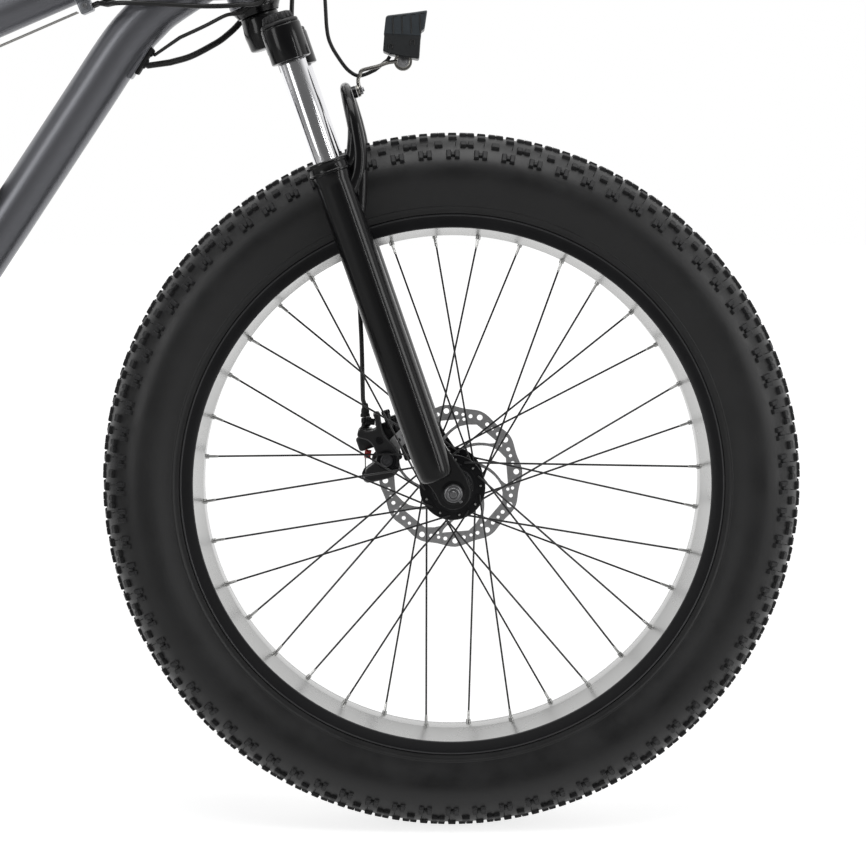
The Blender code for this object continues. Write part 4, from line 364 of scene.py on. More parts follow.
def stop_hole(y: float) -> Vector:
    """Return the place of a wire's hole in the front cable stop."""
    return STOP_CENTRE + TOP_BELOW * 0.0283 + Y_AXIS * y


def port_start(place: float) -> list[Vector]:
    """Return the first two points of a cable that leaves the port in the down tube.

    Args:
        place: the cable's place along the port.

    Returns:
        Two points, the first one inside the port.
    """
    mouth = PORT_MIDDLE + PORT_AXES.col[0] * place
    return [mouth - PORT_AXES.col[2] * 0.0007, mouth + PORT_AXES.col[2] * 0.006]


# Shapes


class Shape:
    """Closed forms gathered in one mesh, each painted with one of the finishes."""

    def __init__(self, *finishes: str) -> None:
        """Start an empty mesh that may wear the finishes of these names."""
        self.mesh = bmesh.new()
        self.finishes = finishes

    def take(
        self,
        form: bmesh.types.BMesh,
        place: Optional[Matrix] = None,
        paint: Optional[int] = 0,
    ) -> None:
        """Move a form into the mesh.

        Args:
            form: the form, which is used up.
            place: the frame that it is given in.
            paint: the finish's number, or None where its faces have their own.
        """
        if place is not None:
            form.transform(place)
        bmesh.ops.recalc_face_normals(form, faces=form.faces)
        if paint is not None:
            for face in form.faces:
                face.material_index = paint
        pour(form, self.mesh)

    def turned(
        self,
        profile: Profile,
        place: Matrix,
        steps: int = 48,
        paint: int = 0,
        ring: bool = False,
        bands: Optional[Callable[[float, float], int]] = None,
    ) -> None:
        """Turn a profile about the Z axis of a frame.

        Args:
            profile: (radius, height) points.
            place: the frame.
            steps: how many steps make the turn.
            paint: the finish's number.
            ring: whether the last point joins the first.
            bands: gives the finish's number for a face at a radius and height.
        """
        form = bmesh.new()
        points = [form.verts.new((radius, 0.0, height)) for radius, height in profile]
        pairs = list(zip(points, points[1:]))
        if ring:
            pairs.append((points[-1], points[0]))
        for pair in pairs:
            form.edges.new(pair)
        bmesh.ops.spin(
            form,
            geom=form.verts[:] + form.edges[:],
            cent=(0.0, 0.0, 0.0),
            axis=(0.0, 0.0, 1.0),
            dvec=(0.0, 0.0, 0.0),
            angle=math.tau,
            steps=steps,
            use_merge=True,
            use_duplicate=False,
        )
        bmesh.ops.remove_doubles(form, verts=form.verts, dist=0.000001)
        for face in form.faces:
            middle = face.calc_center_median()
            face.material_index = bands(middle.xy.length, middle.z) if bands else paint
        self.take(form, place, None)

    def rod(
        self,
        start: Vector,
        end: Vector,
        radius: float,
        paint: int = 0,
        sides: int = 32,
        end_radius: Optional[float] = None,
        bevel: float = 0.0,
    ) -> None:
        """Add a round or many-sided rod between two points.

        Args:
            start: the middle of its first end.
            end: the middle of its last end.
            radius: its radius at the first end.
            paint: the finish's number.
            sides: how many sides it has.
            end_radius: its radius at the last end, where that differs.
            bevel: how far its two rims are rounded.
        """
        form = bmesh.new()
        bmesh.ops.create_cone(
            form,
            cap_ends=True,
            segments=sides,
            radius1=radius,
            radius2=radius if end_radius is None else end_radius,
            depth=(end - start).length,
        )
        if bevel:
            rims = [e for e in form.edges if abs(e.verts[0].co.z - e.verts[1].co.z) < 1e-6]
            round_edges(form, rims, bevel, 2)
        self.take(form, placed((start + end) / 2, end - start), paint)

    def block(
        self,
        centre: Vector,
        size: Sequence[float],
        axes: Optional[Matrix] = None,
        bevel: float = 0.0,
        paint: int = 0,
        segments: int = 2,
    ) -> None:
        """Add a box with rounded edges.

        Args:
            centre: its middle.
            size: its three sides.
            axes: their directions, as columns.
            bevel: how far its edges are rounded.
            paint: the finish's number.
            segments: how many steps the rounding has.
        """
        form = bmesh.new()
        bmesh.ops.create_cube(form, size=1.0, matrix=Matrix.Diagonal((*size, 1.0)))
        if bevel:
            round_edges(form, form.edges, bevel, segments)
        self.take(form, at_axes(centre, axes), paint)

    def tube(
        self,
        points: Sequence[Vector],
        radius: float,
        paint: int = 0,
        factors: Optional[Sequence[float]] = None,
        resolution: int = 5,
        closed: bool = False,
    ) -> None:
        """Add a round tube through points.

        Args:
            points: its centre line.
            radius: its radius.
            paint: the finish's number.
            factors: what the radius is times at each point.
            resolution: how finely its section is cut.
            closed: whether its end joins its start.
        """
        curve = bpy.data.curves.new("tube", "CURVE")
        curve.dimensions = "3D"
        curve.bevel_depth = radius
        curve.bevel_resolution = resolution
        curve.use_fill_caps = True
        spline = curve.splines.new("POLY")
        spline.points.add(len(points) - 1)
        spline.use_cyclic_u = closed
        for index, point in enumerate(points):
            spline.points[index].co = (*point, 1.0)
            spline.points[index].radius = factors[index] if factors else 1.0
        self.take(curve_form(curve), None, paint)

    def plate(
        self,
        outlines: Sequence[Profile],
        thickness: float,
        place: Matrix,
        paint: int = 0,
        edge: float = 0.0,
    ) -> None:
        """Add a flat plate, its rim first and its holes after that.

        Args:
            outlines: the closed outlines, in the frame's XY plane.
            thickness: how thick it is, half to each side of that plane.
            place: the frame.
            paint: the finish's number.
            edge: how far its edges are broken.
        """
        curve = bpy.data.curves.new("plate", "CURVE")
        curve.dimensions = "2D"
        curve.fill_mode = "BOTH"
        curve.extrude = thickness / 2 - edge
        curve.bevel_depth = edge
        curve.bevel_resolution = 0
        curve.offset = -edge
        for outline in outlines:
            spline = curve.splines.new("POLY")
            spline.points.add(len(outline) - 1)
            spline.use_cyclic_u = True
            for index, (x, y) in enumerate(outline):
                spline.points[index].co = (x, y, 0.0, 1.0)
        self.take(curve_form(curve), place, paint)

    def ball(
        self, centre: Vector, radii: Sequence[float], axes: Optional[Matrix] = None, paint: int = 0
    ) -> None:
        """Add an ellipsoid with three radii along the axes' columns.

        Args:
            centre: its middle.
            radii: its three radii.
            axes: their directions, as columns.
            paint: the finish's number.
        """
        form = bmesh.new()
        bmesh.ops.create_uvsphere(form, u_segments=24, v_segments=14, radius=1.0)
        self.take(form, at_axes(centre, axes) @ Matrix.Diagonal((*radii, 1.0)), paint)

    def bolt(
        self, foot: Vector, direction: Vector, radius: float, height: float, paint: int = 0
    ) -> None:
        """Add a round bolt head with a hexagonal socket.

        Args:
            foot: the middle of its seat.
            direction: where its head points.
            radius: the head's radius.
            height: the head's height.
            paint: the finish's number.
        """
        form = bmesh.new()
        bmesh.ops.create_cone(
            form, cap_ends=True, segments=24, radius1=radius, radius2=radius, depth=height
        )
        form.faces.ensure_lookup_table()
        top = max(form.faces, key=lambda face: face.calc_center_median().z)
        round_edges(form, list(top.edges), radius * 0.15, 1)
        top = max(form.faces, key=lambda face: face.calc_center_median().z)
        bmesh.ops.inset_region(form, faces=[top], thickness=radius * 0.34)
        for vert in top.verts:
            angle = math.atan2(vert.co.y, vert.co.x)
            corner = (angle + math.tau) % (math.pi / 3) - math.pi / 6
            reach = radius * 0.47 / math.cos(corner)
            vert.co.x = reach * math.cos(angle)
            vert.co.y = reach * math.sin(angle)
        sunk = bmesh.ops.extrude_discrete_faces(form, faces=[top])["faces"][0]
        for vert in sunk.verts:
            vert.co.z -= height * 0.55
        place = placed(foot + direction.normalized() * (height / 2), direction)
        self.take(form, place, paint)

    def piece(
        self,
        name: str,
        body: str | tuple[str, str, Vector, Vector],
        nodes: Sequence[str] = (),
        smooth: float = 32.0,
    ) -> bpy.types.Object:
        """Make the mesh an object, riding on a body where one body is named.

        Args:
            name: the piece's name.
            body: the body that it rides on; given as two bodies with two points, it is only fixed in place
                and rides on neither.
            nodes: the solids that it stands for.
            smooth: the angle in degrees past which an edge stays sharp.

        Returns:
            The object.
        """
        data = bpy.data.meshes.new(name)
        self.mesh.to_mesh(data)
        self.mesh.free()
        made = bpy.data.objects.new(name, data)
        bpy.context.scene.collection.objects.link(made)
        for finish in self.finishes:
            data.materials.append(FINISH[finish])
        data.shade_smooth()
        data.set_sharp_from_angle(angle=math.radians(smooth))
        if isinstance(body, tuple):
            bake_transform(made)
        else:
            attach(made, body)
        if nodes:
            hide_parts(*nodes)
        LOG.info("%s: %d faces", name, len(data.polygons))
        return made


def round_edges(
    form: bmesh.types.BMesh, edges: Sequence[bmesh.types.BMEdge], reach: float, segments: int
) -> None:
    """Round some edges of a form by a reach, in a number of segments.

    Args:
        form: the form.
        edges: the edges that are rounded.
        reach: how far the rounding reaches from each edge.
        segments: how many steps the rounding has.
    """
    bmesh.ops.bevel(
        form,
        geom=list(edges),
        offset=reach,
        segments=segments,
        profile=0.5,
        affect="EDGES",
        material=-1,
    )


def pour(form: bmesh.types.BMesh, into: bmesh.types.BMesh) -> None:
    """Move all of a form, which is used up, into another.

    Args:
        form: the form.
        into: what it is added to.
    """
    carried = bpy.data.meshes.new("form")
    form.to_mesh(carried)
    form.free()
    into.from_mesh(carried)
    bpy.data.meshes.remove(carried)


def curve_form(curve: bpy.types.Curve) -> bmesh.types.BMesh:
    """Return what a curve makes, as a closed form.

    Args:
        curve: the curve, which is used up.

    Returns:
        The form, its doubled points merged.
    """
    helper = bpy.data.objects.new("curve", curve)
    bpy.context.scene.collection.objects.link(helper)
    graph = bpy.context.evaluated_depsgraph_get()
    mesh = bpy.data.meshes.new_from_object(helper.evaluated_get(graph))
    bpy.data.objects.remove(helper)
    form = bmesh.new()
    form.from_mesh(mesh)
    bmesh.ops.remove_doubles(form, verts=form.verts, dist=0.00001)
    bpy.data.meshes.remove(mesh)
    return form


# Finishes


def set_inputs(node: bpy.types.Node, values: dict[str, object]) -> None:
    """Set a node's inputs to values, by name."""
    for name, value in values.items():
        node.inputs[name].default_value = value


def add_node(
    tree: bpy.types.NodeTree, kind: str, values: Optional[dict[str, object]] = None, **settings: object
) -> bpy.types.Node:
    """Add a node to a tree.

    Args:
        tree: the tree.
        kind: the node's type.
        values: what its inputs are set to, by name.
        settings: what is set on the node itself.

    Returns:
        The node.
    """
    node = tree.nodes.new(kind)
    for name, value in settings.items():
        setattr(node, name, value)
    set_inputs(node, values or {})
    return node


def new_group(
    name: str, inlets: Sequence[str], outlets: Sequence[str]
) -> tuple[bpy.types.NodeTree, bpy.types.Node, bpy.types.Node]:
    """Start a node group.

    Args:
        name: the group's name.
        inlets: the names of what goes in: Place is a vector, the others are numbers.
        outlets: the names of the numbers that come out.

    Returns:
        The group, its inlet node and its outlet node.
    """
    group = bpy.data.node_groups.new(name, "ShaderNodeTree")
    for way, names in (("INPUT", inlets), ("OUTPUT", outlets)):
        for socket in names:
            kind = "NodeSocketVector" if socket == "Place" else "NodeSocketFloat"
            group.interface.new_socket(socket, in_out=way, socket_type=kind)
    return group, add_node(group, "NodeGroupInput"), add_node(group, "NodeGroupOutput")


def make_grain_group() -> bpy.types.NodeTree:
    """Build the effect that every finish shares.

    Returns:
        A group that gives a fine height and a slow patchiness from a place.
    """
    group, inlet, outlet = new_group("surface_grain", ("Place", "Grain", "Patches"), ("Height", "Patch"))
    fine = add_node(group, "ShaderNodeTexNoise", {"Detail": 3.0})
    slow = add_node(group, "ShaderNodeTexNoise", {"Detail": 5.0, "Roughness": 0.6})
    link = group.links.new
    link(inlet.outputs["Place"], fine.inputs["Vector"])
    link(inlet.outputs["Place"], slow.inputs["Vector"])
    link(inlet.outputs["Grain"], fine.inputs["Scale"])
    link(inlet.outputs["Patches"], slow.inputs["Scale"])
    link(fine.outputs["Fac"], outlet.inputs["Height"])
    link(slow.outputs["Fac"], outlet.inputs["Patch"])
    return group


def make_turning_group() -> bpy.types.NodeTree:
    """Build the marks that a lathe or a grinding wheel leaves round an axle.

    Returns:
        A group that gives rings round the axis through a centre, along Y.
    """
    group, inlet, outlet = new_group("turning_marks", ("Place", "Rings"), ("Mark",))
    split = add_node(group, "ShaderNodeSeparateXYZ")
    flat = add_node(group, "ShaderNodeCombineXYZ")
    length = add_node(group, "ShaderNodeVectorMath", operation="LENGTH")
    stretched = add_node(group, "ShaderNodeMath", operation="MULTIPLY")
    steps = {"Scale": 1.0, "Detail": 4.0}
    noise = add_node(group, "ShaderNodeTexNoise", steps, noise_dimensions="1D")
    link = group.links.new
    link(inlet.outputs["Place"], split.inputs[0])
    link(split.outputs["X"], flat.inputs["X"])
    link(split.outputs["Z"], flat.inputs["Y"])
    link(flat.outputs[0], length.inputs[0])
    link(length.outputs["Value"], stretched.inputs[0])
    link(inlet.outputs["Rings"], stretched.inputs[1])
    link(stretched.outputs[0], noise.inputs["W"])
    link(noise.outputs["Fac"], outlet.inputs["Mark"])
    return group


GRAIN = make_grain_group()
TURNING = make_turning_group()


@dataclass(frozen=True)
class Finish:
    """A surface: its colour and gloss, and how both vary over it."""

    name: str
    colour: Colour
    roughness: float
    metallic: float = 0.0
    grain: float = 1600.0
    depth: float = 0.00002
    patches: float = 18.0
    tint: float = 0.12
    gloss_spread: float = 0.06
    coat: float = 0.0
    coat_roughness: float = 0.05
    specular: float = 0.5
    sheen: float = 0.0
    rings: float = 0.0
    centre: Optional[Vector] = None
    glow: float = 0.0

    def build(self) -> bpy.types.Material:
        """Make the material.

        Returns:
            A material whose colour, roughness and bump come from its nodes.
        """
        material = bpy.data.materials.new(self.name)
        material.use_nodes = True
        tree = material.node_tree
        shader = tree.nodes["Principled BSDF"]
        set_inputs(shader, {
            "Metallic": self.metallic,
            "Coat Weight": self.coat,
            "Coat Roughness": self.coat_roughness,
            "Specular IOR Level": self.specular,
            "Sheen Weight": self.sheen,
        })
        if self.glow:
            set_inputs(shader, {"Emission Color": (*self.colour, 1.0), "Emission Strength": self.glow})
        place = self.place(tree)
        grain = add_node(tree, "ShaderNodeGroup", node_tree=GRAIN)
        set_inputs(grain, {"Grain": self.grain, "Patches": self.patches})
        tree.links.new(place, grain.inputs["Place"])
        height, patch = grain.outputs["Height"], grain.outputs["Patch"]
        if self.rings:
            marks = add_node(tree, "ShaderNodeGroup", node_tree=TURNING)
            set_inputs(marks, {"Rings": self.rings})
            tree.links.new(place, marks.inputs["Place"])
            height = patch = marks.outputs["Mark"]
        self.paint(tree, shader, patch)
        self.bump(tree, shader, height)
        return material

    def place(self, tree: bpy.types.NodeTree) -> bpy.types.NodeSocket:
        """Return the place on the piece, from the finish's centre where it has one.

        Args:
            tree: the material's nodes.

        Returns:
            The socket that gives the place.
        """
        where = add_node(tree, "ShaderNodeTexCoord").outputs["Object"]
        if self.centre is None:
            return where
        shift = add_node(tree, "ShaderNodeMapping", {"Location": tuple(-self.centre)})
        tree.links.new(where, shift.inputs["Vector"])
        return shift.outputs["Vector"]

    def paint(
        self,
        tree: bpy.types.NodeTree,
        shader: bpy.types.Node,
        patch: bpy.types.NodeSocket,
    ) -> None:
        """Vary colour and roughness with the patches.

        Args:
            tree: the material's nodes.
            shader: its Principled node.
            patch: the value that they follow.
        """
        ramp = add_node(tree, "ShaderNodeMapRange", {"From Min": 0.3, "From Max": 0.7})
        dark = tuple(c * (1.0 - self.tint) for c in self.colour)
        light = tuple(min(1.0, c * (1.0 + self.tint)) for c in self.colour)
        shades = {"A": (*dark, 1.0), "B": (*light, 1.0)}
        mix = add_node(tree, "ShaderNodeMix", shades, data_type="RGBA")
        rough = add_node(tree, "ShaderNodeMapRange", {
            "To Min": max(0.02, self.roughness - self.gloss_spread),
            "To Max": min(1.0, self.roughness + self.gloss_spread),
        })
        tree.links.new(patch, ramp.inputs["Value"])
        tree.links.new(ramp.outputs["Result"], mix.inputs["Factor"])
        tree.links.new(mix.outputs["Result"], shader.inputs["Base Color"])
        tree.links.new(ramp.outputs["Result"], rough.inputs["Value"])
        tree.links.new(rough.outputs["Result"], shader.inputs["Roughness"])

    def bump(
        self,
        tree: bpy.types.NodeTree,
        shader: bpy.types.Node,
        height: bpy.types.NodeSocket,
    ) -> None:
        """Raise the surface by the grain.

        Args:
            tree: the material's nodes.
            shader: its Principled node.
            height: the grain's height, from 0 to 1.
        """
        node = add_node(tree, "ShaderNodeBump", {"Distance": self.depth})
        tree.links.new(height, node.inputs["Height"])
        tree.links.new(node.outputs["Normal"], shader.inputs["Normal"])


def make_finishes() -> dict[str, bpy.types.Material]:
    """Return every finish of the bicycle by name.

    Returns:
        The materials, by the names that the pieces call them.
    """
    kinds = [
        Finish("tyre_rubber", (0.012, 0.012, 0.0125), 0.42, grain=2600, depth=0.00006, patches=26,
               tint=0.22, gloss_spread=0.08, specular=0.52),
        Finish("tread_rubber", (0.014, 0.014, 0.015), 0.56, grain=1800, depth=0.00008, patches=60,
               tint=0.25, specular=0.45),
        Finish("rim_black", (0.008, 0.008, 0.009), 0.36, grain=3000, depth=0.00001, specular=0.28),
        # Dark metal for the valve's stem, also laid as a lighter line on the rim's lip and flange edge,
        # where it is a painted highlight.
        Finish("valve_metal_and_edge_highlight", (0.06, 0.06, 0.062), 0.36, 0.6, tint=0.06, depth=0.000004),
        Finish("dark_steel", (0.105, 0.105, 0.11), 0.34, 1.0, grain=2400, depth=0.00001),
        Finish("rim_silver", (0.5, 0.5, 0.495), 0.27, 1.0, grain=2400, depth=0.000006, tint=0.05),
        Finish("bright_edge", (0.8, 0.8, 0.8), 0.2, 1.0, tint=0.04, depth=0.000004),
        Finish("spoke_black", (0.016, 0.016, 0.017), 0.32, grain=2600, depth=0.000004),
        Finish("nipple", (0.55, 0.55, 0.54), 0.28, 1.0, tint=0.08, depth=0.000006),
        Finish("gloss_black", (0.0035, 0.0035, 0.004), 0.3, grain=900, depth=0.000004, patches=9,
               tint=0.06, gloss_spread=0.03, coat=0.55, coat_roughness=0.13, specular=0.12),
        Finish("hub_black", (0.005, 0.005, 0.006), 0.3, grain=2400, depth=0.000006, specular=0.22),
        Finish("satin_black", (0.011, 0.011, 0.012), 0.42, grain=2200, depth=0.00003, tint=0.15),
        Finish("cast_black", (0.01, 0.01, 0.011), 0.38, grain=1500, depth=0.00006, tint=0.2),
        Finish("chrome", (0.86, 0.86, 0.88), 0.15, 1.0, grain=700, depth=0.000002, tint=0.02,
               gloss_spread=0.02),
        Finish("steel", (0.4, 0.4, 0.41), 0.3, 1.0, grain=2600, depth=0.00001, tint=0.12),
        Finish("zinc", (0.36, 0.35, 0.325), 0.3, 1.0, grain=1500, depth=0.00002, tint=0.14),
        Finish("axle_steel", (0.2, 0.2, 0.205), 0.32, 0.8, rings=2200.0, centre=FRONT_AXLE,
               depth=0.00001, tint=0.25),
        Finish("disc_steel", (0.46, 0.46, 0.465), 0.4, 0.55, rings=1500.0, centre=FRONT_AXLE,
               depth=0.000006, tint=0.1, gloss_spread=0.04),
        Finish("rear_disc_steel", (0.46, 0.46, 0.465), 0.4, 0.55, rings=1500.0, centre=REAR_AXLE,
               depth=0.000006, tint=0.1, gloss_spread=0.04),
        Finish("frame_grey", (0.185, 0.188, 0.205), 0.36, 0.75, grain=5200, depth=0.000012,
               patches=7, tint=0.05, gloss_spread=0.03, coat=0.35, coat_roughness=0.22),
        Finish("clamp_grey", (0.3, 0.31, 0.33), 0.35, 0.6, grain=2400, depth=0.00001, tint=0.05),
        Finish("housing_black", (0.013, 0.013, 0.013), 0.4, grain=2600, depth=0.00002, tint=0.15),
        Finish("wire_steel", (0.5, 0.49, 0.47), 0.3, 1.0, grain=3500, depth=0.00003, tint=0.15),
        Finish("soft_rubber", (0.012, 0.012, 0.012), 0.66, grain=1900, depth=0.00006, tint=0.2,
               specular=0.4),
        Finish("lamp_shell", (0.026, 0.028, 0.03), 0.42, grain=1800, depth=0.00003, tint=0.1),
        Finish("lamp_cover", (0.042, 0.05, 0.057), 0.42, grain=1800, depth=0.00003, tint=0.1),
        Finish("lamp_lens", (0.62, 0.64, 0.66), 0.1, grain=500, depth=0.0001, tint=0.1, coat=1.0),
        Finish("lamp_glow", (0.95, 0.93, 0.82), 0.3, grain=900, depth=0.00002, glow=0.4),
        Finish("reflector_red", (0.42, 0.015, 0.012), 0.2, grain=700, depth=0.0001, coat=0.8),
        Finish("reflector_amber", (0.75, 0.26, 0.02), 0.2, grain=700, depth=0.0001, coat=0.8),
        Finish("pack_black", (0.012, 0.012, 0.013), 0.48, grain=1500, depth=0.00007, tint=0.12),
        Finish("screen", (0.01, 0.012, 0.014), 0.08, grain=300, depth=0.000002, coat=1.0),
        Finish("mark_white", (0.72, 0.73, 0.74), 0.45, depth=0.000002, tint=0.05),
        Finish("vinyl", (0.014, 0.014, 0.014), 0.5, grain=1100, depth=0.00012, patches=40,
               tint=0.14, sheen=0.12),
        Finish("thread", (0.05, 0.05, 0.052), 0.7, grain=3000, depth=0.00008, tint=0.2, sheen=0.2),
        Finish("chain_steel", (0.33, 0.32, 0.3), 0.33, 1.0, grain=1900, depth=0.00003, tint=0.3),
        Finish("cog_steel", (0.45, 0.44, 0.42), 0.3, 1.0, rings=1200.0, centre=REAR_AXLE,
               depth=0.00001, tint=0.14),
    ]
    return {kind.name: kind.build() for kind in kinds}


FINISH = make_finishes()


# Studio


@dataclass(frozen=True)
class Softbox:
    """A lamp with a flat rectangular face."""

    name: str
    place: Vector
    aim: Vector
    size: tuple[float, float]
    power: float

    def build(self) -> None:
        """Add the lamp to the scene."""
        lamp = bpy.data.lights.new(self.name, "AREA")
        lamp.shape = "RECTANGLE"
        lamp.size, lamp.size_y = self.size
        lamp.energy = self.power
        made = bpy.data.objects.new(self.name, lamp)
        way = self.aim - self.place
        turn = way.to_track_quat("-Z", "Y").to_matrix().to_4x4()
        made.matrix_world = Matrix.Translation(self.place) @ turn
        bpy.context.scene.collection.objects.link(made)


@dataclass
class Studio:
    """Camera, floor, surroundings and lamps."""

    camera_place: Vector = Vector((0.532, -2.4, 0.6938))
    pitch: float = math.radians(-6.46)
    yaw: float = math.radians(-0.67)
    lens: float = 2281.0 / 866.0 * 36.0
    room_light: float = 0.5
    room_fade: tuple[float, float] = (-0.6, 0.45)
    room_dark: float = 0.13
    floor_size: float = 40.0
    floor_grey: float = 0.55
    floor_glow: tuple[float, float] = (0.8, 0.99)
    glow_reach: tuple[float, float] = (1.4, 4.5)
    floor_fade: tuple[float, float] = (-0.45, 0.25)
    floor_dark: float = 0.1

    def make_camera(self) -> None:
        """Put the camera where the photograph was taken from."""
        data = bpy.data.cameras.new("camera")
        data.lens = self.lens
        data.sensor_width = 36.0
        data.clip_end = 100.0
        made = bpy.data.objects.new("camera", data)
        turn = Matrix.Rotation(self.yaw, 4, "Z") @ Matrix.Rotation(math.pi / 2 + self.pitch, 4, "X")
        made.matrix_world = Matrix.Translation(self.camera_place) @ turn
        bpy.context.scene.collection.objects.link(made)
        bpy.context.scene.camera = made

    def make_world(self) -> None:
        """White behind the bicycle and above it, dim towards the photographer."""
        world = bpy.data.worlds.new("studio")
        bpy.context.scene.world = world
        world.use_nodes = True
        tree = world.node_tree
        tree.nodes.clear()
        where = add_node(tree, "ShaderNodeTexCoord")
        split = add_node(tree, "ShaderNodeSeparateXYZ")
        depth = self.fade(tree, self.room_fade, self.room_dark)
        paths = add_node(tree, "ShaderNodeLightPath")
        room = add_node(tree, "ShaderNodeBackground")
        white = add_node(tree, "ShaderNodeBackground", {"Color": (1.0, 1.0, 1.0, 1.0)})
        mix = add_node(tree, "ShaderNodeMixShader")
        out = add_node(tree, "ShaderNodeOutputWorld")
        link = tree.links.new
        link(where.outputs["Generated"], split.inputs[0])
        link(split.outputs["Y"], depth.inputs["Value"])
        soft = add_node(tree, "ShaderNodeMath", operation="MULTIPLY")
        soft.inputs[1].default_value = self.room_light
        link(depth.outputs["Result"], soft.inputs[0])
        link(soft.outputs[0], room.inputs["Strength"])
        seen = add_node(tree, "ShaderNodeMath", operation="MAXIMUM")
        link(paths.outputs["Is Camera Ray"], seen.inputs[0])
        link(depth.outputs["Result"], seen.inputs[1])
        link(seen.outputs[0], white.inputs["Strength"])
        link(self.shown(tree, paths), mix.inputs["Fac"])
        link(room.outputs[0], mix.inputs[1])
        link(white.outputs[0], mix.inputs[2])
        link(mix.outputs[0], out.inputs["Surface"])

    def fade(
        self, tree: bpy.types.NodeTree, ends: tuple[float, float], dark: float
    ) -> bpy.types.Node:
        """Add a soft step from a dark level to 1.

        Args:
            tree: the tree that it is added to.
            ends: where it starts and ends.
            dark: the level where it starts.

        Returns:
            The node.
        """
        steps = {"From Min": ends[0], "From Max": ends[1], "To Min": dark, "To Max": 1.0}
        return add_node(tree, "ShaderNodeMapRange", steps, interpolation_type="SMOOTHSTEP")

    def shown(self, tree: bpy.types.NodeTree, paths: bpy.types.Node) -> bpy.types.NodeSocket:
        """Return 1 for the rays that show the background: from the camera, metal or glass.

        Args:
            tree: the tree that it is added to.
            paths: its light path node.

        Returns:
            The socket that gives 0 or 1.
        """
        total = paths.outputs["Is Camera Ray"]
        for kind in ("Is Glossy Ray", "Is Transmission Ray"):
            either = add_node(tree, "ShaderNodeMath", operation="MAXIMUM")
            tree.links.new(total, either.inputs[0])
            tree.links.new(paths.outputs[kind], either.inputs[1])
            total = either.outputs[0]
        return total

    def make_floor(self) -> None:
        """A pale floor that keeps the bicycle's shadow."""
        form = bmesh.new()
        bmesh.ops.create_grid(form, x_segments=1, y_segments=1, size=self.floor_size / 2)
        data = bpy.data.meshes.new("floor")
        form.to_mesh(data)
        form.free()
        floor = bpy.data.objects.new("floor", data)
        floor.location.z = -0.0006
        bpy.context.scene.collection.objects.link(floor)
        material = bpy.data.materials.new("floor")
        material.use_nodes = True
        tree = material.node_tree
        shader = tree.nodes["Principled BSDF"]
        grey = (self.floor_grey, self.floor_grey, self.floor_grey, 1.0)
        set_inputs(shader, {"Base Color": grey, "Roughness": 0.9, "Specular IOR Level": 0.1})
        paths = add_node(tree, "ShaderNodeLightPath")
        where = add_node(tree, "ShaderNodeTexCoord")
        split = add_node(tree, "ShaderNodeSeparateXYZ")
        behind = self.fade(tree, self.floor_fade, self.floor_dark)
        away = add_node(tree, "ShaderNodeVectorMath", operation="LENGTH")
        level = add_node(tree, "ShaderNodeMapRange", {
            "From Min": self.glow_reach[0],
            "From Max": self.glow_reach[1],
            "To Min": self.floor_glow[0],
            "To Max": self.floor_glow[1],
        })
        seen = add_node(tree, "ShaderNodeMath", operation="MAXIMUM")
        masked = add_node(tree, "ShaderNodeMath", operation="MULTIPLY")
        strength = add_node(tree, "ShaderNodeMath", operation="MULTIPLY")
        link = tree.links.new
        link(where.outputs["Object"], split.inputs[0])
        link(split.outputs["Y"], behind.inputs["Value"])
        link(where.outputs["Object"], away.inputs[0])
        link(away.outputs["Value"], level.inputs["Value"])
        link(paths.outputs["Is Camera Ray"], seen.inputs[0])
        link(behind.outputs["Result"], seen.inputs[1])
        link(self.shown(tree, paths), masked.inputs[0])
        link(seen.outputs[0], masked.inputs[1])
        link(masked.outputs[0], strength.inputs[0])
        link(level.outputs["Result"], strength.inputs[1])
        set_inputs(shader, {"Emission Color": (1.0, 1.0, 1.0, 1.0)})
        link(strength.outputs[0], shader.inputs["Emission Strength"])
        data.materials.append(material)

    def make_lamps(self) -> None:
        """Two tall side boxes, one above, and a narrow one for the fork's stripe."""
        middle = Vector((0.45, 0.0, 0.55))
        boxes = [
            Softbox("left_box", Vector((-1.7, -2.1, 1.3)), middle, (0.9, 2.2), 17.0),
            Softbox("right_box", Vector((2.9, -1.2, 1.2)), middle, (0.7, 2.2), 16.0),
            Softbox("top_box", Vector((0.5, -0.7, 2.9)), middle, (2.6, 1.6), 34.0),
            Softbox("stripe_box", Vector((2.25, -1.95, 0.9)), middle, (0.1, 2.0), 5.0),
        ]
        for box in boxes:
            box.build()

    def build(self) -> None:
        """Set up the whole studio."""
        bpy.context.scene.view_settings.view_transform = "Standard"
        self.make_camera()
        self.make_world()
        self.make_floor()
        self.make_lamps()


# Wheels


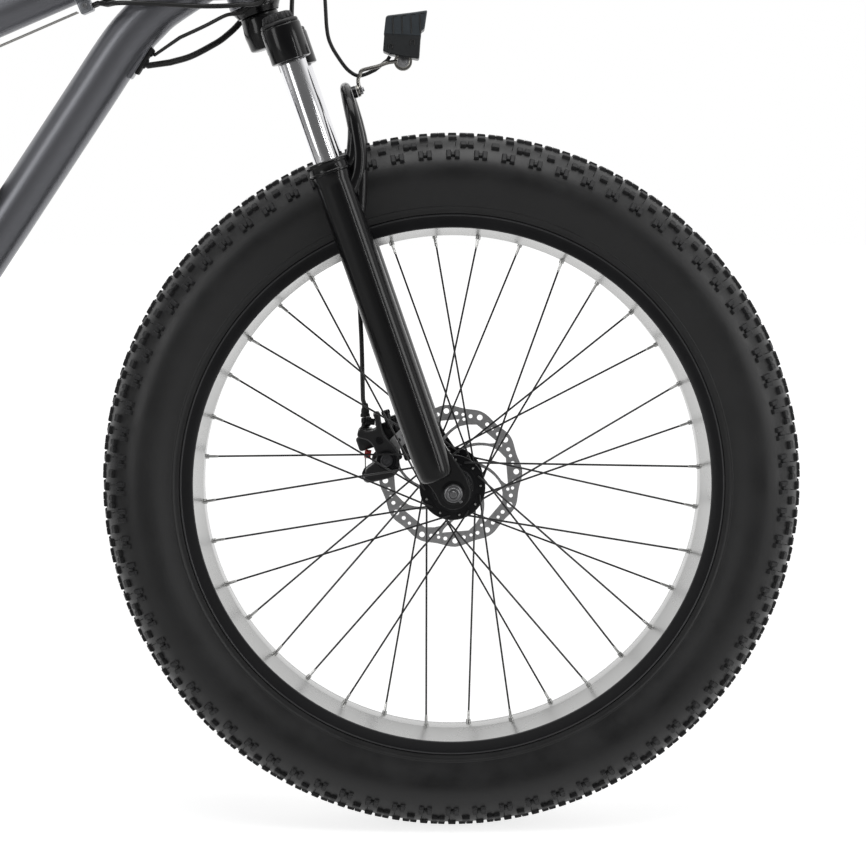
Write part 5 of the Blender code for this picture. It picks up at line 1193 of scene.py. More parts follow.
@dataclass
class Tyre:
    """A 26 x 4.0 tyre with rows of blocks."""

    centre: Vector
    node: str
    body: str
    pairs: int = 38
    steps: int = 152
    sink: float = 0.0012

    def carcass(self) -> list[tuple[float, float]]:
        """Return the ring that is turned: outside from tread to bead, then the inside.

        Returns:
            The (radius, height) points of the closed ring.
        """
        outer = mm(
            (366, 0), (365.8, 7), (365.1, 13), (363.6, 19), (361.2, 25), (358, 30.2), (354.1, 35),
            (349.7, 39.3), (345, 43), (340.8, 45.6), (337.2, 47.3), (333.4, 48.7), (329, 49.9), (324, 50.3),
            (319, 49.9), (314, 48.7), (309, 47), (304.5, 45), (300, 43), (295.8, 41.3), (293.6, 40.6),
            (292.8, 40.9), (291.8, 40.7), (291, 39.9), (288.4, 39.2), (286.6, 39.4), (285.7, 39),
            (285.5, 37.2), (276.8, 35.8),
        )
        inner = mm((276.8, 31.8), (290.5, 33.6), (324, 46.3), (348, 35), (358, 20))
        half = outer[1:] + inner
        middle = [(0.3603, 0.0)]
        return outer[:1] + half + middle + [(r, -y) for r, y in reversed(half)]

    def knob(
        self, form: bmesh.types.BMesh, spot: tuple[float, float, float], turn: float,
        size: tuple[float, float, float], shift: tuple[float, float] = (0.0, 0.0),
    ) -> None:
        """Add one block of rubber.

        Args:
            form: what it is added to.
            spot: its radius, its place across the tyre and the lean of its outward side.
            turn: its angle round the tyre.
            size: its length round the tyre, its width across and its height.
            shift: how far it is moved round the tyre and across.
        """
        radius, across, lean = spot
        long, wide, high = size
        cube = bmesh.new()
        bmesh.ops.create_cube(cube, size=1.0)
        for vert in cube.verts:
            top = vert.co.z > 0
            draft = 0.0011 if top else 0.0
            vert.co.x = math.copysign(long / 2 - draft / 2, vert.co.x) + shift[0]
            vert.co.y = math.copysign(wide / 2 - draft / 2, vert.co.y) + shift[1]
            vert.co.z = high if top else -self.sink
        crest = [e for e in cube.edges if min(v.co.z for v in e.verts) > 0]
        round_edges(cube, crest, 0.0005, 1)
        stand = (
            Matrix.Rotation(turn, 4, "Z")
            @ Matrix.Translation((radius, 0.0, across))
            @ Matrix.Rotation(-lean, 4, "Y")
            @ Matrix(((0, 0, 1, 0), (1, 0, 0, 0), (0, 1, 0, 0), (0, 0, 0, 1)))
        )
        cube.transform(stand)
        pour(cube, form)

    def tread_unit(self) -> bmesh.types.BMesh:
        """Return the blocks of two pitches.

        Returns:
            The form, in the wheel's frame.
        """
        form = bmesh.new()
        pitch = math.tau / (2 * self.pairs)
        for index in range(2):
            here = index * pitch
            between = here + pitch / 2
            for sign in (-1, 1):
                shoulder = (0.3456, sign * 0.0428, sign * math.radians(54))
                flank = (0.3556, sign * 0.0336, sign * math.radians(38))
                inner = (0.3624, sign * 0.0224, sign * math.radians(20))
                crown = (0.3655, sign * 0.0106, sign * math.radians(7))
                for slide in (-0.0043, 0.0043):
                    self.knob(form, shoulder, here, (0.0054, 0.0102, 0.003), (slide, 0.0))
                    self.knob(form, crown, between, (0.0078, 0.0088, 0.0027), (slide * 0.93, 0.0))
                self.knob(form, shoulder, here, (0.005, 0.005, 0.0024), (0.0, 0.0004))
                if index:
                    for slide in (-0.004, 0.004):
                        self.knob(form, flank, between, (0.0062, 0.0076, 0.0031), (slide, 0.0))
                    self.knob(form, flank, between, (0.004, 0.005, 0.0022))
                else:
                    self.knob(form, flank, between, (0.0086, 0.0076, 0.0031))
                self.knob(form, inner, here, (0.0088, 0.0074, 0.0029))
                self.knob(form, flank, here, (0.0007, 0.0007, 0.0046), (0.003, 0.0))
                self.knob(form, crown, between, (0.0007, 0.0007, 0.0032), (0.0, 0.0015))
            self.knob(form, (0.3659, 0.0, 0.0), here, (0.0092, 0.0068, 0.0027))
        return form

    def build(self) -> None:
        """Make the tyre."""
        shape = Shape("tyre_rubber", "tread_rubber")
        place = wheel_frame(self.centre)
        shape.turned(self.carcass(), place, self.steps, ring=True)
        form = self.tread_unit()
        bmesh.ops.spin(
            form,
            geom=form.verts[:] + form.edges[:] + form.faces[:],
            cent=(0.0, 0.0, 0.0),
            axis=(0.0, 0.0, 1.0),
            dvec=(0.0, 0.0, 0.0),
            angle=math.tau * (self.pairs - 1) / self.pairs,
            steps=self.pairs - 1,
            use_merge=False,
            use_duplicate=True,
        )
        shape.take(form, place, 1)
        shape.piece(self.node + "_dressed", self.body, [self.node], smooth=38.0)


@dataclass
class Rim:
    """A single-wall fat rim, black outside with lighter painted highlight lines on its lip and flange edge,
    bright inside, with its valve.
    """

    centre: Vector
    node: str
    body: str
    valve_angle: float = math.radians(113.0)

    def outline(self) -> list[tuple[float, float]]:
        """Return the ring that is turned.

        Returns:
            The (radius, height) points of the closed ring.
        """
        half = mm(
            (267.3, 12), (275.7, 36.6), (284.2, 37.2), (284.9, 38), (285, 39.2), (284.5, 39.9), (283.6, 40),
            (282.9, 39.6), (281.8, 39.4), (272.6, 39.7), (272, 40), (271.3, 40), (270.8, 39.6),
            (263.2, 13.2), (262.6, 12.3), (262.3, 11.4),
        )
        return half + [(r, -y) for r, y in reversed(half)]

    def band(self, radius: float, height: float) -> int:
        """Return the finish at a radius: bright on the hub's side, a lighter painted highlight line on the
        lip and the flange's edge, black elsewhere.

        Args:
            radius: a face's distance from the axle.
            height: its place across the rim.

        Returns:
            The finish's number.
        """
        if radius < 0.2706:
            return 0 if radius > 0.2673 and abs(height) < 0.03 else 1
        # The lip and the flange's outer edge get a lighter line: a painted highlight.
        if radius < 0.2722 and abs(height) > 0.0395:
            return 2
        if radius > 0.2832 and abs(height) > 0.0397:
            return 2
        return 0

    def build(self) -> None:
        """Make the rim."""
        shape = Shape("rim_black", "rim_silver", "valve_metal_and_edge_highlight", "soft_rubber")
        place = wheel_frame(self.centre)
        shape.turned(self.outline(), place, 180, ring=True, bands=self.band)
        out = wheel_way(self.valve_angle)
        foot = self.centre + out * RIM_SEAT
        shape.rod(foot, foot - out * 0.01, 0.0042, 3, 20, bevel=0.0006)
        shape.rod(foot - out * 0.0095, foot - out * 0.025, 0.0026, 2, 16)
        shape.rod(foot - out * 0.024, foot - out * 0.034, 0.0036, 3, 16, bevel=0.0008)
        shape.piece(self.node + "_dressed", self.body, [self.node])


@dataclass
class FrontSpokes:
    """The spokes and nipples of one flange."""

    side: Side
    count: int = 18
    lean: float = math.radians(60.0)
    first: float = math.radians(4.0)
    hole_circle: float = 0.0295
    outer_face: float = 0.0378
    inner_face: float = 0.0345

    def ends(self, index: int, lacing: Lacing) -> tuple[Vector, Vector, Vector]:
        """Find one spoke's ends.

        Args:
            index: its number round the rim.
            lacing: the way that it leans.

        Returns:
            Its place in the flange, its elbow beside it and its end in the rim.
        """
        sign = self.side.value
        pitch = math.tau / self.count
        start = self.first + (0.0 if self.side is Side.RIGHT else pitch / 2)
        angle = start + index * pitch
        hub_angle = angle - lacing.value * self.lean
        radial = wheel_way(hub_angle)
        outside = lacing is Lacing.TRAILING
        bend = self.outer_face + 0.0012 if outside else self.inner_face - 0.0012
        other = self.inner_face - 0.0016 if outside else self.outer_face + 0.0016
        flange = FRONT_AXLE + radial * self.hole_circle + Y_AXIS * sign * other
        elbow = FRONT_AXLE + radial * self.hole_circle + Y_AXIS * sign * bend
        out = wheel_way(angle)
        return flange, elbow, FRONT_AXLE + out * RIM_SEAT + Y_AXIS * sign * SPOKE_SPREAD

    def build(self) -> None:
        """Make the spokes."""
        shape = Shape("spoke_black", "nipple")
        for index in range(self.count):
            even = index % 2 == 0
            lacing = Lacing.TRAILING if even == (self.side is Side.RIGHT) else Lacing.LEADING
            flange, elbow, seat = self.ends(index, lacing)
            way = (seat - elbow).normalized()
            shape.tube([flange, elbow, elbow + way * 0.003, seat - way * 0.004], 0.00105, 0, None, 2)
            head = (flange - elbow).normalized()
            shape.rod(flange - head * 0.0002, flange + head * 0.0007, 0.0014, 1, 12, 0.0009)
            shape.rod(seat + way * 0.001, seat - way * 0.003, 0.0026, 1, 12)
            shape.rod(seat - way * 0.0028, seat - way * 0.0112, 0.0016, 1, 8, 0.0015)
            shape.rod(seat - way * 0.0108, seat - way * 0.0126, 0.0015, 1, 12, 0.0012)
        word = self.side.word
        shape.piece(f"spokes_{word}", "front_wheel", [f"front_spokes_{word}"])


@dataclass
class FrontHub:
    """Alloy hub with two large flanges, bearing covers and the disc's seat."""

    flange: float = 0.0345
    face: float = FrontSpokes.outer_face
    inside: float = FrontSpokes.inner_face

    def build(self) -> None:
        """Make the hub."""
        shape = Shape("hub_black", "bright_edge", "steel")
        place = wheel_frame(FRONT_AXLE)
        bore = 0.0048
        profile = [
            (bore, 0.0677), (0.0104, 0.0677), (0.011, 0.0671), (0.011, 0.0565), (0.016, 0.0565),
            (0.0165, 0.056), (0.0165, 0.0533), (0.022, 0.0533), (0.0225, 0.0528), (0.0225, 0.0488),
            (0.02, 0.047), (0.0194, 0.04), (0.0203, self.face), (0.0334, self.face),
            (0.0342, 0.0376), (self.flange, 0.0371), (self.flange, 0.0352), (0.0342, 0.0347),
            (0.0334, self.inside), (0.0206, self.inside), (0.0186, 0.032), (0.0168, 0.02),
            (0.0165, 0.0), (0.0168, -0.02), (0.0186, -0.032), (0.0206, -self.inside),
            (0.0334, -self.inside), (0.0342, -0.0347), (self.flange, -0.0352), (self.flange, -0.0371),
            (0.0342, -0.0376), (0.0334, -self.face), (0.026, -self.face), (0.0256, -0.0382),
            (0.0222, -0.0384), (0.0212, -0.0392), (0.0205, -0.042), (0.0203, -0.047),
            (0.0196, -0.05), (0.0168, -0.0512), (0.014, -0.052), (0.0128, -0.053),
            (0.0122, -0.06), (0.0108, -0.062), (0.0106, -0.0677), (bore, -0.0677),
        ]
        shape.turned(profile, place, 72, ring=True, bands=self.band)
        for side in (-1, 1):
            for index in range(FrontSpokes.count):
                turn = math.radians(4.0 + (0 if side < 0 else 10) + 20 * index - side * 60 * (-1) ** index)
                spot = wheel_way(turn) * FrontSpokes.hole_circle
                low = FRONT_AXLE + spot + Y_AXIS * side * self.face
                shape.rod(low - Y_AXIS * side * 0.0002, low + Y_AXIS * side * 0.00025, 0.0021, 0, 12)
        for index in range(6):
            turn = math.tau * index / 6 + 0.2
            spot = wheel_way(turn) * 0.0205
            shape.bolt(FRONT_AXLE + spot + Y_AXIS * 0.0554, Y_AXIS, 0.003, 0.0022, 2)
        shape.piece("hub_dressed", "front_wheel", ["front_hub"])

    def band(self, radius: float, height: float) -> int:
        """Return the finish: a bright turned ring beside the right flange, black elsewhere.

        Args:
            radius: a face's distance from the axle.
            height: its place along the hub.

        Returns:
            The finish's number.
        """
        if -0.05 < height < -0.0395 and radius > 0.019:
            return 1
        return 0


@dataclass
class BrakeDisc:
    """A waved disc with drilled rows and swept arms."""

    centre: Vector
    offset: float
    node: str
    body: str
    finish: str
    radius: float = 0.0765
    wave: float = 0.0013
    inner: float = 0.0628
    thickness: float = 0.0018
    lobes: int = 12
    arms: int = 8
    first_lobe: float = 3.9

    def rim(self) -> list[tuple[float, float]]:
        """Return the waved outside, in the plane of the wheel's frame.

        Returns:
            The points once round the disc.
        """
        points = []
        for step in range(144):
            angle = 360.0 * step / 144
            swing = math.cos(math.radians(self.lobes * (angle + self.first_lobe)))
            points.append(polar(self.radius + self.wave * swing, angle))
        return points

    def windows(self) -> list[list[tuple[float, float]]]:
        """Return the openings between the swept arms.

        Returns:
            One closed outline for each opening.
        """
        outlines = []
        low, high, width = 0.0245, self.inner, 0.0046
        for arm in range(self.arms):
            sides = []
            for sign, base in ((1, 45.0 * arm), (-1, 45.0 * (arm + 1))):
                edge = []
                for step in range(11):
                    share = step / 10
                    radius = low + (high - low) * share
                    middle = -30.0 - 29.0 * (0.0608 - radius) / 0.0218
                    half = math.degrees(width / 2 / radius)
                    half += 7.0 * max(0.0, share - 0.78) ** 1.5 / 0.22**1.5
                    half += 9.0 * max(0.0, 0.16 - share) / 0.16
                    edge.append(polar(radius, base + middle + sign * half))
                sides.append(edge)
            outlines.append(sides[0] + sides[1][::-1])
        return outlines

    def holes(self) -> list[list[tuple[float, float]]]:
        """Return the drilled holes: one large and five smaller ones for each wave.

        Returns:
            One closed outline for each hole.
        """
        outlines = []
        for lobe in range(self.lobes):
            base = -(self.first_lobe + 30.0 * lobe)
            outlines.append(ring_points(0.0031, 14, polar(0.0712, base)))
            for turn, spot, radius in (
                (8.8, 0.0688, 0.0022), (15.0, 0.0684, 0.0018), (22.0, 0.0687, 0.0022)
            ):
                outlines.append(ring_points(radius, 12, polar(spot, base + turn)))
        for arm in range(self.arms):
            outlines.append(ring_points(0.0018, 10, polar(0.0636, -32.0 - 45.0 * arm)))
        return outlines

    def build(self) -> None:
        """Make the disc."""
        shape = Shape(self.finish)
        place = wheel_frame(self.centre) @ Matrix.Translation((0.0, 0.0, self.offset))
        outlines = [self.rim(), ring_points(0.017, 36), *self.windows(), *self.holes()]
        shape.plate(outlines, self.thickness, place, 0, 0.0001)
        shape.piece(self.node + "_dressed", self.body, [self.node], smooth=25.0)


def build_front_wheel() -> None:
    """Build the front wheel's pieces."""
    Tyre(FRONT_AXLE, "front_tyre", "front_wheel").build()
    Rim(FRONT_AXLE, "front_rim", "front_wheel").build()
    FrontSpokes(Side.RIGHT).build()
    FrontSpokes(Side.LEFT).build()
    FrontHub().build()
    BrakeDisc(FRONT_AXLE, 0.0545, "front_brake_disc", "front_wheel", "disc_steel").build()


# Front axle


@dataclass
class FrontAxle:
    """Spindle with a turned nut on the right and the cam's seat on the left."""

    nut_foot: float = 0.0783
    seat: float = 0.0851

    def build(self) -> None:
        """Make the axle."""
        shape = Shape("axle_steel", "gloss_black")
        low = -self.nut_foot
        profile = [
            (0.0, low - 0.0098), (0.0026, low - 0.0098), (0.0031, low - 0.0093), (0.0034, low - 0.0078),
            (0.0046, low - 0.0076), (0.005, low - 0.0084), (0.0058, low - 0.0087), (0.0064, low - 0.0083),
            (0.0067, low - 0.0074), (0.0076, low - 0.0071), (0.008, low - 0.0076), (0.0088, low - 0.0072),
            (0.0095, low - 0.006), (0.0095, low), (0.0045, low), (0.0045, self.nut_foot),
            (0.0085, self.nut_foot), (0.0085, self.seat - 0.0004), (0.0081, self.seat), (0.0, self.seat),
        ]
        shape.turned(profile, wheel_frame(FRONT_AXLE), 48)
        tab = FRONT_AXLE + Vector((0.0068, low - 0.0018, -0.0078))
        shape.block(tab, (0.0056, 0.003, 0.0034), along_axes(Vector((0.66, 0, -0.75))), 0.0007)
        shape.piece("axle_and_nut", "lowers", ["front_axle"])


@dataclass
class QuickRelease:
    """Cam barrel and curved lever on the fork's far side."""

    barrel_y: float = 0.0919
    blade: float = 0.047

    def build(self) -> None:
        """Make the lever."""
        shape = Shape("steel", "satin_black")
        y = self.barrel_y
        shape.rod(fork(0.022, y, 0), fork(0.038, y, 0), 0.0065, 0, 32, bevel=0.0008)
        shape.rod(fork(0.0214, y, 0), fork(0.0386, y, 0), 0.0028, 1, 20, bevel=0.0004)
        top = 0.0102 + self.blade
        route = [
            fork(0.03, y + 0.0036, 0.0015), fork(0.03, y + 0.0052, 0.009),
            fork(0.03, y + 0.0066, 0.018), fork(0.03, y + 0.0073, 0.032),
            fork(0.03, y + 0.0072, 0.045), fork(0.03, y + 0.0066, top - 0.0022),
        ]
        points = smooth_route(route, 5)
        form = bmesh.new()
        bmesh.ops.create_circle(form, cap_ends=False, segments=16, radius=1.0)
        outline = [v.co.copy() for v in form.verts]
        form.clear()
        rings = []
        for index, point in enumerate(points):
            share = index / (len(points) - 1)
            wide = 0.0046 + 0.0018 * math.sin(math.pi * min(1.0, share * 1.15) ** 0.8)
            thick = 0.0021 - 0.0006 * share
            ring = []
            for spot in outline:
                ring.append(form.verts.new(point + FORK_FORWARD * spot.x * wide + Y_AXIS * spot.y * thick))
            rings.append(ring)
        for ring in rings:
            for a, b in zip(ring, ring[1:] + ring[:1]):
                form.edges.new((a, b))
        bmesh.ops.bridge_loops(form, edges=form.edges[:])
        bmesh.ops.holes_fill(form, edges=[e for e in form.edges if e.is_boundary], sides=0)
        shape.take(form, None, 0)
        shape.piece("release_lever", "release", ["quick_release_lever"])


# Fork


@dataclass
class ForkLegs:
    """Where the fork's two legs stand beside the steering axis."""

    ahead: float = 0.019
    aside: float = 0.077

    def leg_frame(self, side: int) -> Matrix:
        """Return the frame at a leg's foot whose Z runs up the fork."""
        return placed(fork(self.ahead, side * self.aside, 0.0), STEER_AXIS)


@dataclass
class ForkLowers(ForkLegs):
    """Two gloss legs with their seals, the arch ahead of them, dropouts and the brake's tab."""

    bore: float = 0.01455
    dropout: float = 0.073

    def leg_profile(self) -> list[tuple[float, float]]:
        """Return one leg from its foot up over the seal and down into its bore.

        Returns:
            The (radius, height) points from the foot to the bore's floor.
        """
        outside = mm(
            (0, 18), (10.5, 18.1), (14.8, 19), (16.5, 21), (17.5, 25), (18.2, 32), (18.7, 41), (19, 54),
            (19, 336), (19.3, 340), (20.3, 344), (20.5, 347), (20.6, 348.6), (21.6, 349.1), (22.4, 349.7),
            (22.5, 350.4), (22.4, 351.3), (21.7, 351.9), (21.5, 352.8), (21.5, 357.2), (21.8, 358.3),
            (22.4, 359), (22.5, 360), (22.3, 361.2), (21.4, 362.1), (18.4, 362.5), (17.8, 361.6),
            (17, 361.2), (16, 361.6), (15.2, 362.4), (14.7, 362.2),
        )
        return outside + [(self.bore, 0.361), (self.bore, 0.115), (0.0, 0.115)]

    def finish_band(self, radius: float, height: float) -> int:
        """Return the finish: rubber where the wiper closes on the stanchion."""
        return 1 if height > 0.3608 and radius < 0.0177 else 0

    def dropout_outline(self) -> list[tuple[float, float]]:
        """Return the plate round the axle, ahead and up from it.

        Returns:
            The closed outline, ahead and up from the axle.
        """
        eye = [
            (0.03 + 0.0178 * math.cos(math.radians(a)), 0.0178 * math.sin(math.radians(a)))
            for a in range(200, 375, 12)
        ]
        front = mm((47.6, 8), (46.2, 18), (43, 30), (39.2, 44), (36, 60))
        back = mm((10, 60), (4, 40), (3, 30), (6, 20.5), (9.6, 13))
        return eye + front + back + [(0.0118, 0.005), (0.0126, -0.001)]

    def legs(self, shape: Shape) -> None:
        """Add both legs and their dropouts.

        Args:
            shape: what they are added to.
        """
        for side in (-1, 1):
            shape.turned(self.leg_profile(), self.leg_frame(side), 72, bands=self.finish_band)
            middle = side * self.dropout
            place = Matrix.Translation(fork(0.0, middle, 0.0)) @ Matrix(
                (
                    (FORK_FORWARD.x, STEER_AXIS.x, 0.0),
                    (0.0, 0.0, -1.0),
                    (FORK_FORWARD.z, STEER_AXIS.z, 0.0),
                )
            ).to_4x4()
            shape.plate([self.dropout_outline()], 0.0098, place, 0, 0.0009)
            face = side * (self.dropout + 0.0049)
            low = fork(0.03, face - side * 0.0004, 0.0)
            shape.rod(low, fork(0.03, face + side * 0.0002, 0.0), 0.0128, 0, 48, bevel=0.0001)

    def arch(self, shape: Shape) -> None:
        """Add the arch with its ribs and the lamp's seat.

        Args:
            shape: what it is added to.
        """
        half = mm(
            (24, 77, 316), (33, 77.2, 327), (44, 77, 340), (51.5, 76.5, 356), (55.5, 75.5, 374),
            (57.8, 72.5, 392), (59.2, 64, 409), (60, 50, 420.5), (60.2, 36, 425.5), (60.2, 18, 427.8),
        )
        swell = [1.05, 1.0, 0.95, 0.9, 0.86, 0.8, 0.74, 0.68, 0.62, 0.59]
        middle = [(0.06, 0.0, 0.4282)]
        spots = half + middle + [(p, -y, s) for p, y, s in reversed(half)]
        factors = swell + [0.58] + swell[::-1]
        route = smooth_route([fork(*spot) for spot in spots], 4)
        spread = [factors[min(i // 4, len(factors) - 1)] for i in range(len(route))]
        windows = [spread[max(0, i - 3) : i + 4] for i in range(len(spread))]
        even = [sum(window) / len(window) for window in windows]
        shape.tube(route, 0.0092, 0, even, 8)
        rib_line = mm((33, 77, 350), (43, 77, 356), (50, 76.8, 370), (54.8, 74.2, 385), (57.8, 70, 399))
        brace_line = mm((30, 77.2, 296), (37.5, 77.2, 312), (43, 77.2, 326), (49, 76.8, 342))
        for side in (-1, 1):
            rib = [fork(p, side * y, s) for p, y, s in rib_line]
            slender = [1.0 - 0.45 * (i / 24) ** 2 for i in range(25)]
            shape.tube(smooth_route(rib, 6), 0.0068, 0, slender, 6)
            brace = [fork(p, side * y, s) for p, y, s in brace_line]
            shape.tube(smooth_route(brace, 6), 0.0064, 0, None, 6)
        shape.rod(fork(0.054, 0, LAMP_SEAT), fork(0.0698, 0, LAMP_SEAT), 0.0065, 0, 32, bevel=0.0006)

    def brake_tab(self, shape: Shape) -> None:
        """Add the tab that carries the caliper."""
        shape.block(fork(-0.003, 0.068, 0.056), (0.018, 0.012, 0.052), FORK_AXES, 0.0025, 0, 3)

    def build(self) -> None:
        """Make the lowers."""
        shape = Shape("gloss_black", "soft_rubber")
        self.legs(shape)
        self.arch(shape)
        self.brake_tab(shape)
        shape.piece("lowers_dressed", "lowers", ["fork_lowers"], smooth=40.0)


@dataclass
class ForkUppers(ForkLegs):
    """Chrome stanchions, the crown with its steerer, the knobs and the headset's lower cup."""

    knob_foot: float = 0.5053

    def stanchion(self, side: Side) -> None:
        """Add one chrome tube.

        Args:
            side: its side.
        """
        shape = Shape("chrome")
        profile = mm((12.4, 205), (13.5, 205), (14, 205.8), (14, 504.2), (13.5, 505), (12.4, 505))
        shape.turned(profile, self.leg_frame(side.value), 72, ring=True)
        shape.piece(f"chrome_tube_{side.word}", "steering", [f"stanchion_{side.word}"])

    def clamp_profile(self) -> list[tuple[float, float]]:
        """Return one clamp of the crown as a ring.

        Returns:
            The (radius, height) points of the closed ring.
        """
        return mm(
            (14.3, 469), (15, 468.5), (19.4, 468.5), (20.3, 469), (20.5, 470), (20.5, 502.6), (20.2, 503.6),
            (19.9, 503.8), (19.9, 504.6), (19.4, 505), (15, 505), (14.3, 504.6),
        )

    def bridge_outline(self) -> list[tuple[float, float]]:
        """Return the crown's bridge, seen from ahead.

        Returns:
            The closed outline, to the left and up the fork.
        """
        half = mm(
            (0, 493), (20, 492.4), (36, 489.5), (50, 484), (60, 479), (74, 476.8), (74, 503.2), (56, 503.6),
            (40, 504.8), (28, 507.5), (21, 512), (15, 514), (0, 514),
        )
        return half + [(-y, s) for y, s in reversed(half[1:-1])]

    def crown(self) -> None:
        """Add the crown."""
        shape = Shape("gloss_black")
        for side in (-1, 1):
            shape.turned(self.clamp_profile(), self.leg_frame(side), 72, ring=True)
        place = Matrix.Translation(fork(0.0115, 0.0, 0.0)) @ Matrix(
            ((0.0, STEER_AXIS.x, FORK_FORWARD.x), (1.0, 0.0, 0.0), (0.0, STEER_AXIS.z, FORK_FORWARD.z))
        ).to_4x4()
        shape.plate([self.bridge_outline()], 0.027, place, 0, 0.0036)
        boss = placed(STEER_FOOT, STEER_AXIS)
        profile = [
            (0.0, 0.4925), (0.016, 0.4927), (0.019, 0.4935), (0.0204, 0.495), (0.021, 0.504),
            (0.0216, 0.509), (0.0214, 0.514), (0.0205, 0.519), (0.02, 0.524), (0.0197, 0.5272),
            (0.019, 0.528), (0.0143, 0.528), (0.0143, STEM_TOP - 0.001), (0.0, STEM_TOP - 0.001),
        ]
        shape.turned(profile, boss, 64)
        shape.piece("crown_dressed", "steering", ["fork_crown"], smooth=42.0)

    def knob(self, side: Side) -> None:
        """Add one knurled preload knob.

        Args:
            side: its side.
        """
        shape = Shape("satin_black", "mark_white")
        axis = self.leg_frame(side.value)
        foot = self.knob_foot
        profile = [
            (0.0, foot), (0.0192, foot), (0.0196, foot + 0.0006), (0.0195, foot + 0.002),
            (0.0186, foot + 0.0032), (0.0162, foot + 0.004), (0.015, foot + 0.0046),
            (0.0146, foot + 0.0092), (0.0138, foot + 0.0108), (0.0122, foot + 0.0117),
            (0.0096, foot + 0.012), (0.006, foot + 0.0114), (0.0, foot + 0.0112),
        ]
        shape.turned(profile, axis, 64)
        for index in range(16):
            turn = math.tau * index / 16
            low, high = spun(axis, 0.0146, turn, foot + 0.0042), spun(axis, 0.0134, turn, foot + 0.0106)
            shape.rod(low, high, 0.0019, 0, 12, 0.0014, 0.0003)
        for index in range(3):
            turn = math.tau * index / 3 + 0.3
            spot = spun(axis, 0.0085, turn, foot + 0.0116)
            shape.block(spot, (0.0007, 0.004, 0.0003), axis.to_3x3() @ Matrix.Rotation(turn, 3, "Z"), 0, 1)
        word = side.word
        shape.piece(f"preload_{word}", f"{word}_preload", [f"preload_knob_{word}"])

    def cup(self) -> None:
        """Add the headset's lower cup."""
        shape = Shape("gloss_black", "bright_edge")
        axis = placed(fork(0.0, 0.0, 0.528), STEER_AXIS)
        profile = mm(
            (14.6, 10.7), (25.6, 10.7), (26.2, 10.1), (26.2, 8.2), (25.7, 7.6), (24.8, 7.4), (24.6, 6.2),
            (23.2, 4), (22.2, 2), (21.7, 0.7), (21, 0.3), (14.6, 0.3),
        )
        shape.turned(profile, axis, 64, ring=True)
        shape.piece("cup_dressed", "frame", ["lower_headset_cup"])

    def build(self) -> None:
        """Make all of them."""
        for side in Side:
            self.stanchion(side)
            self.knob(side)
        self.crown()
        self.cup()


# Headlight


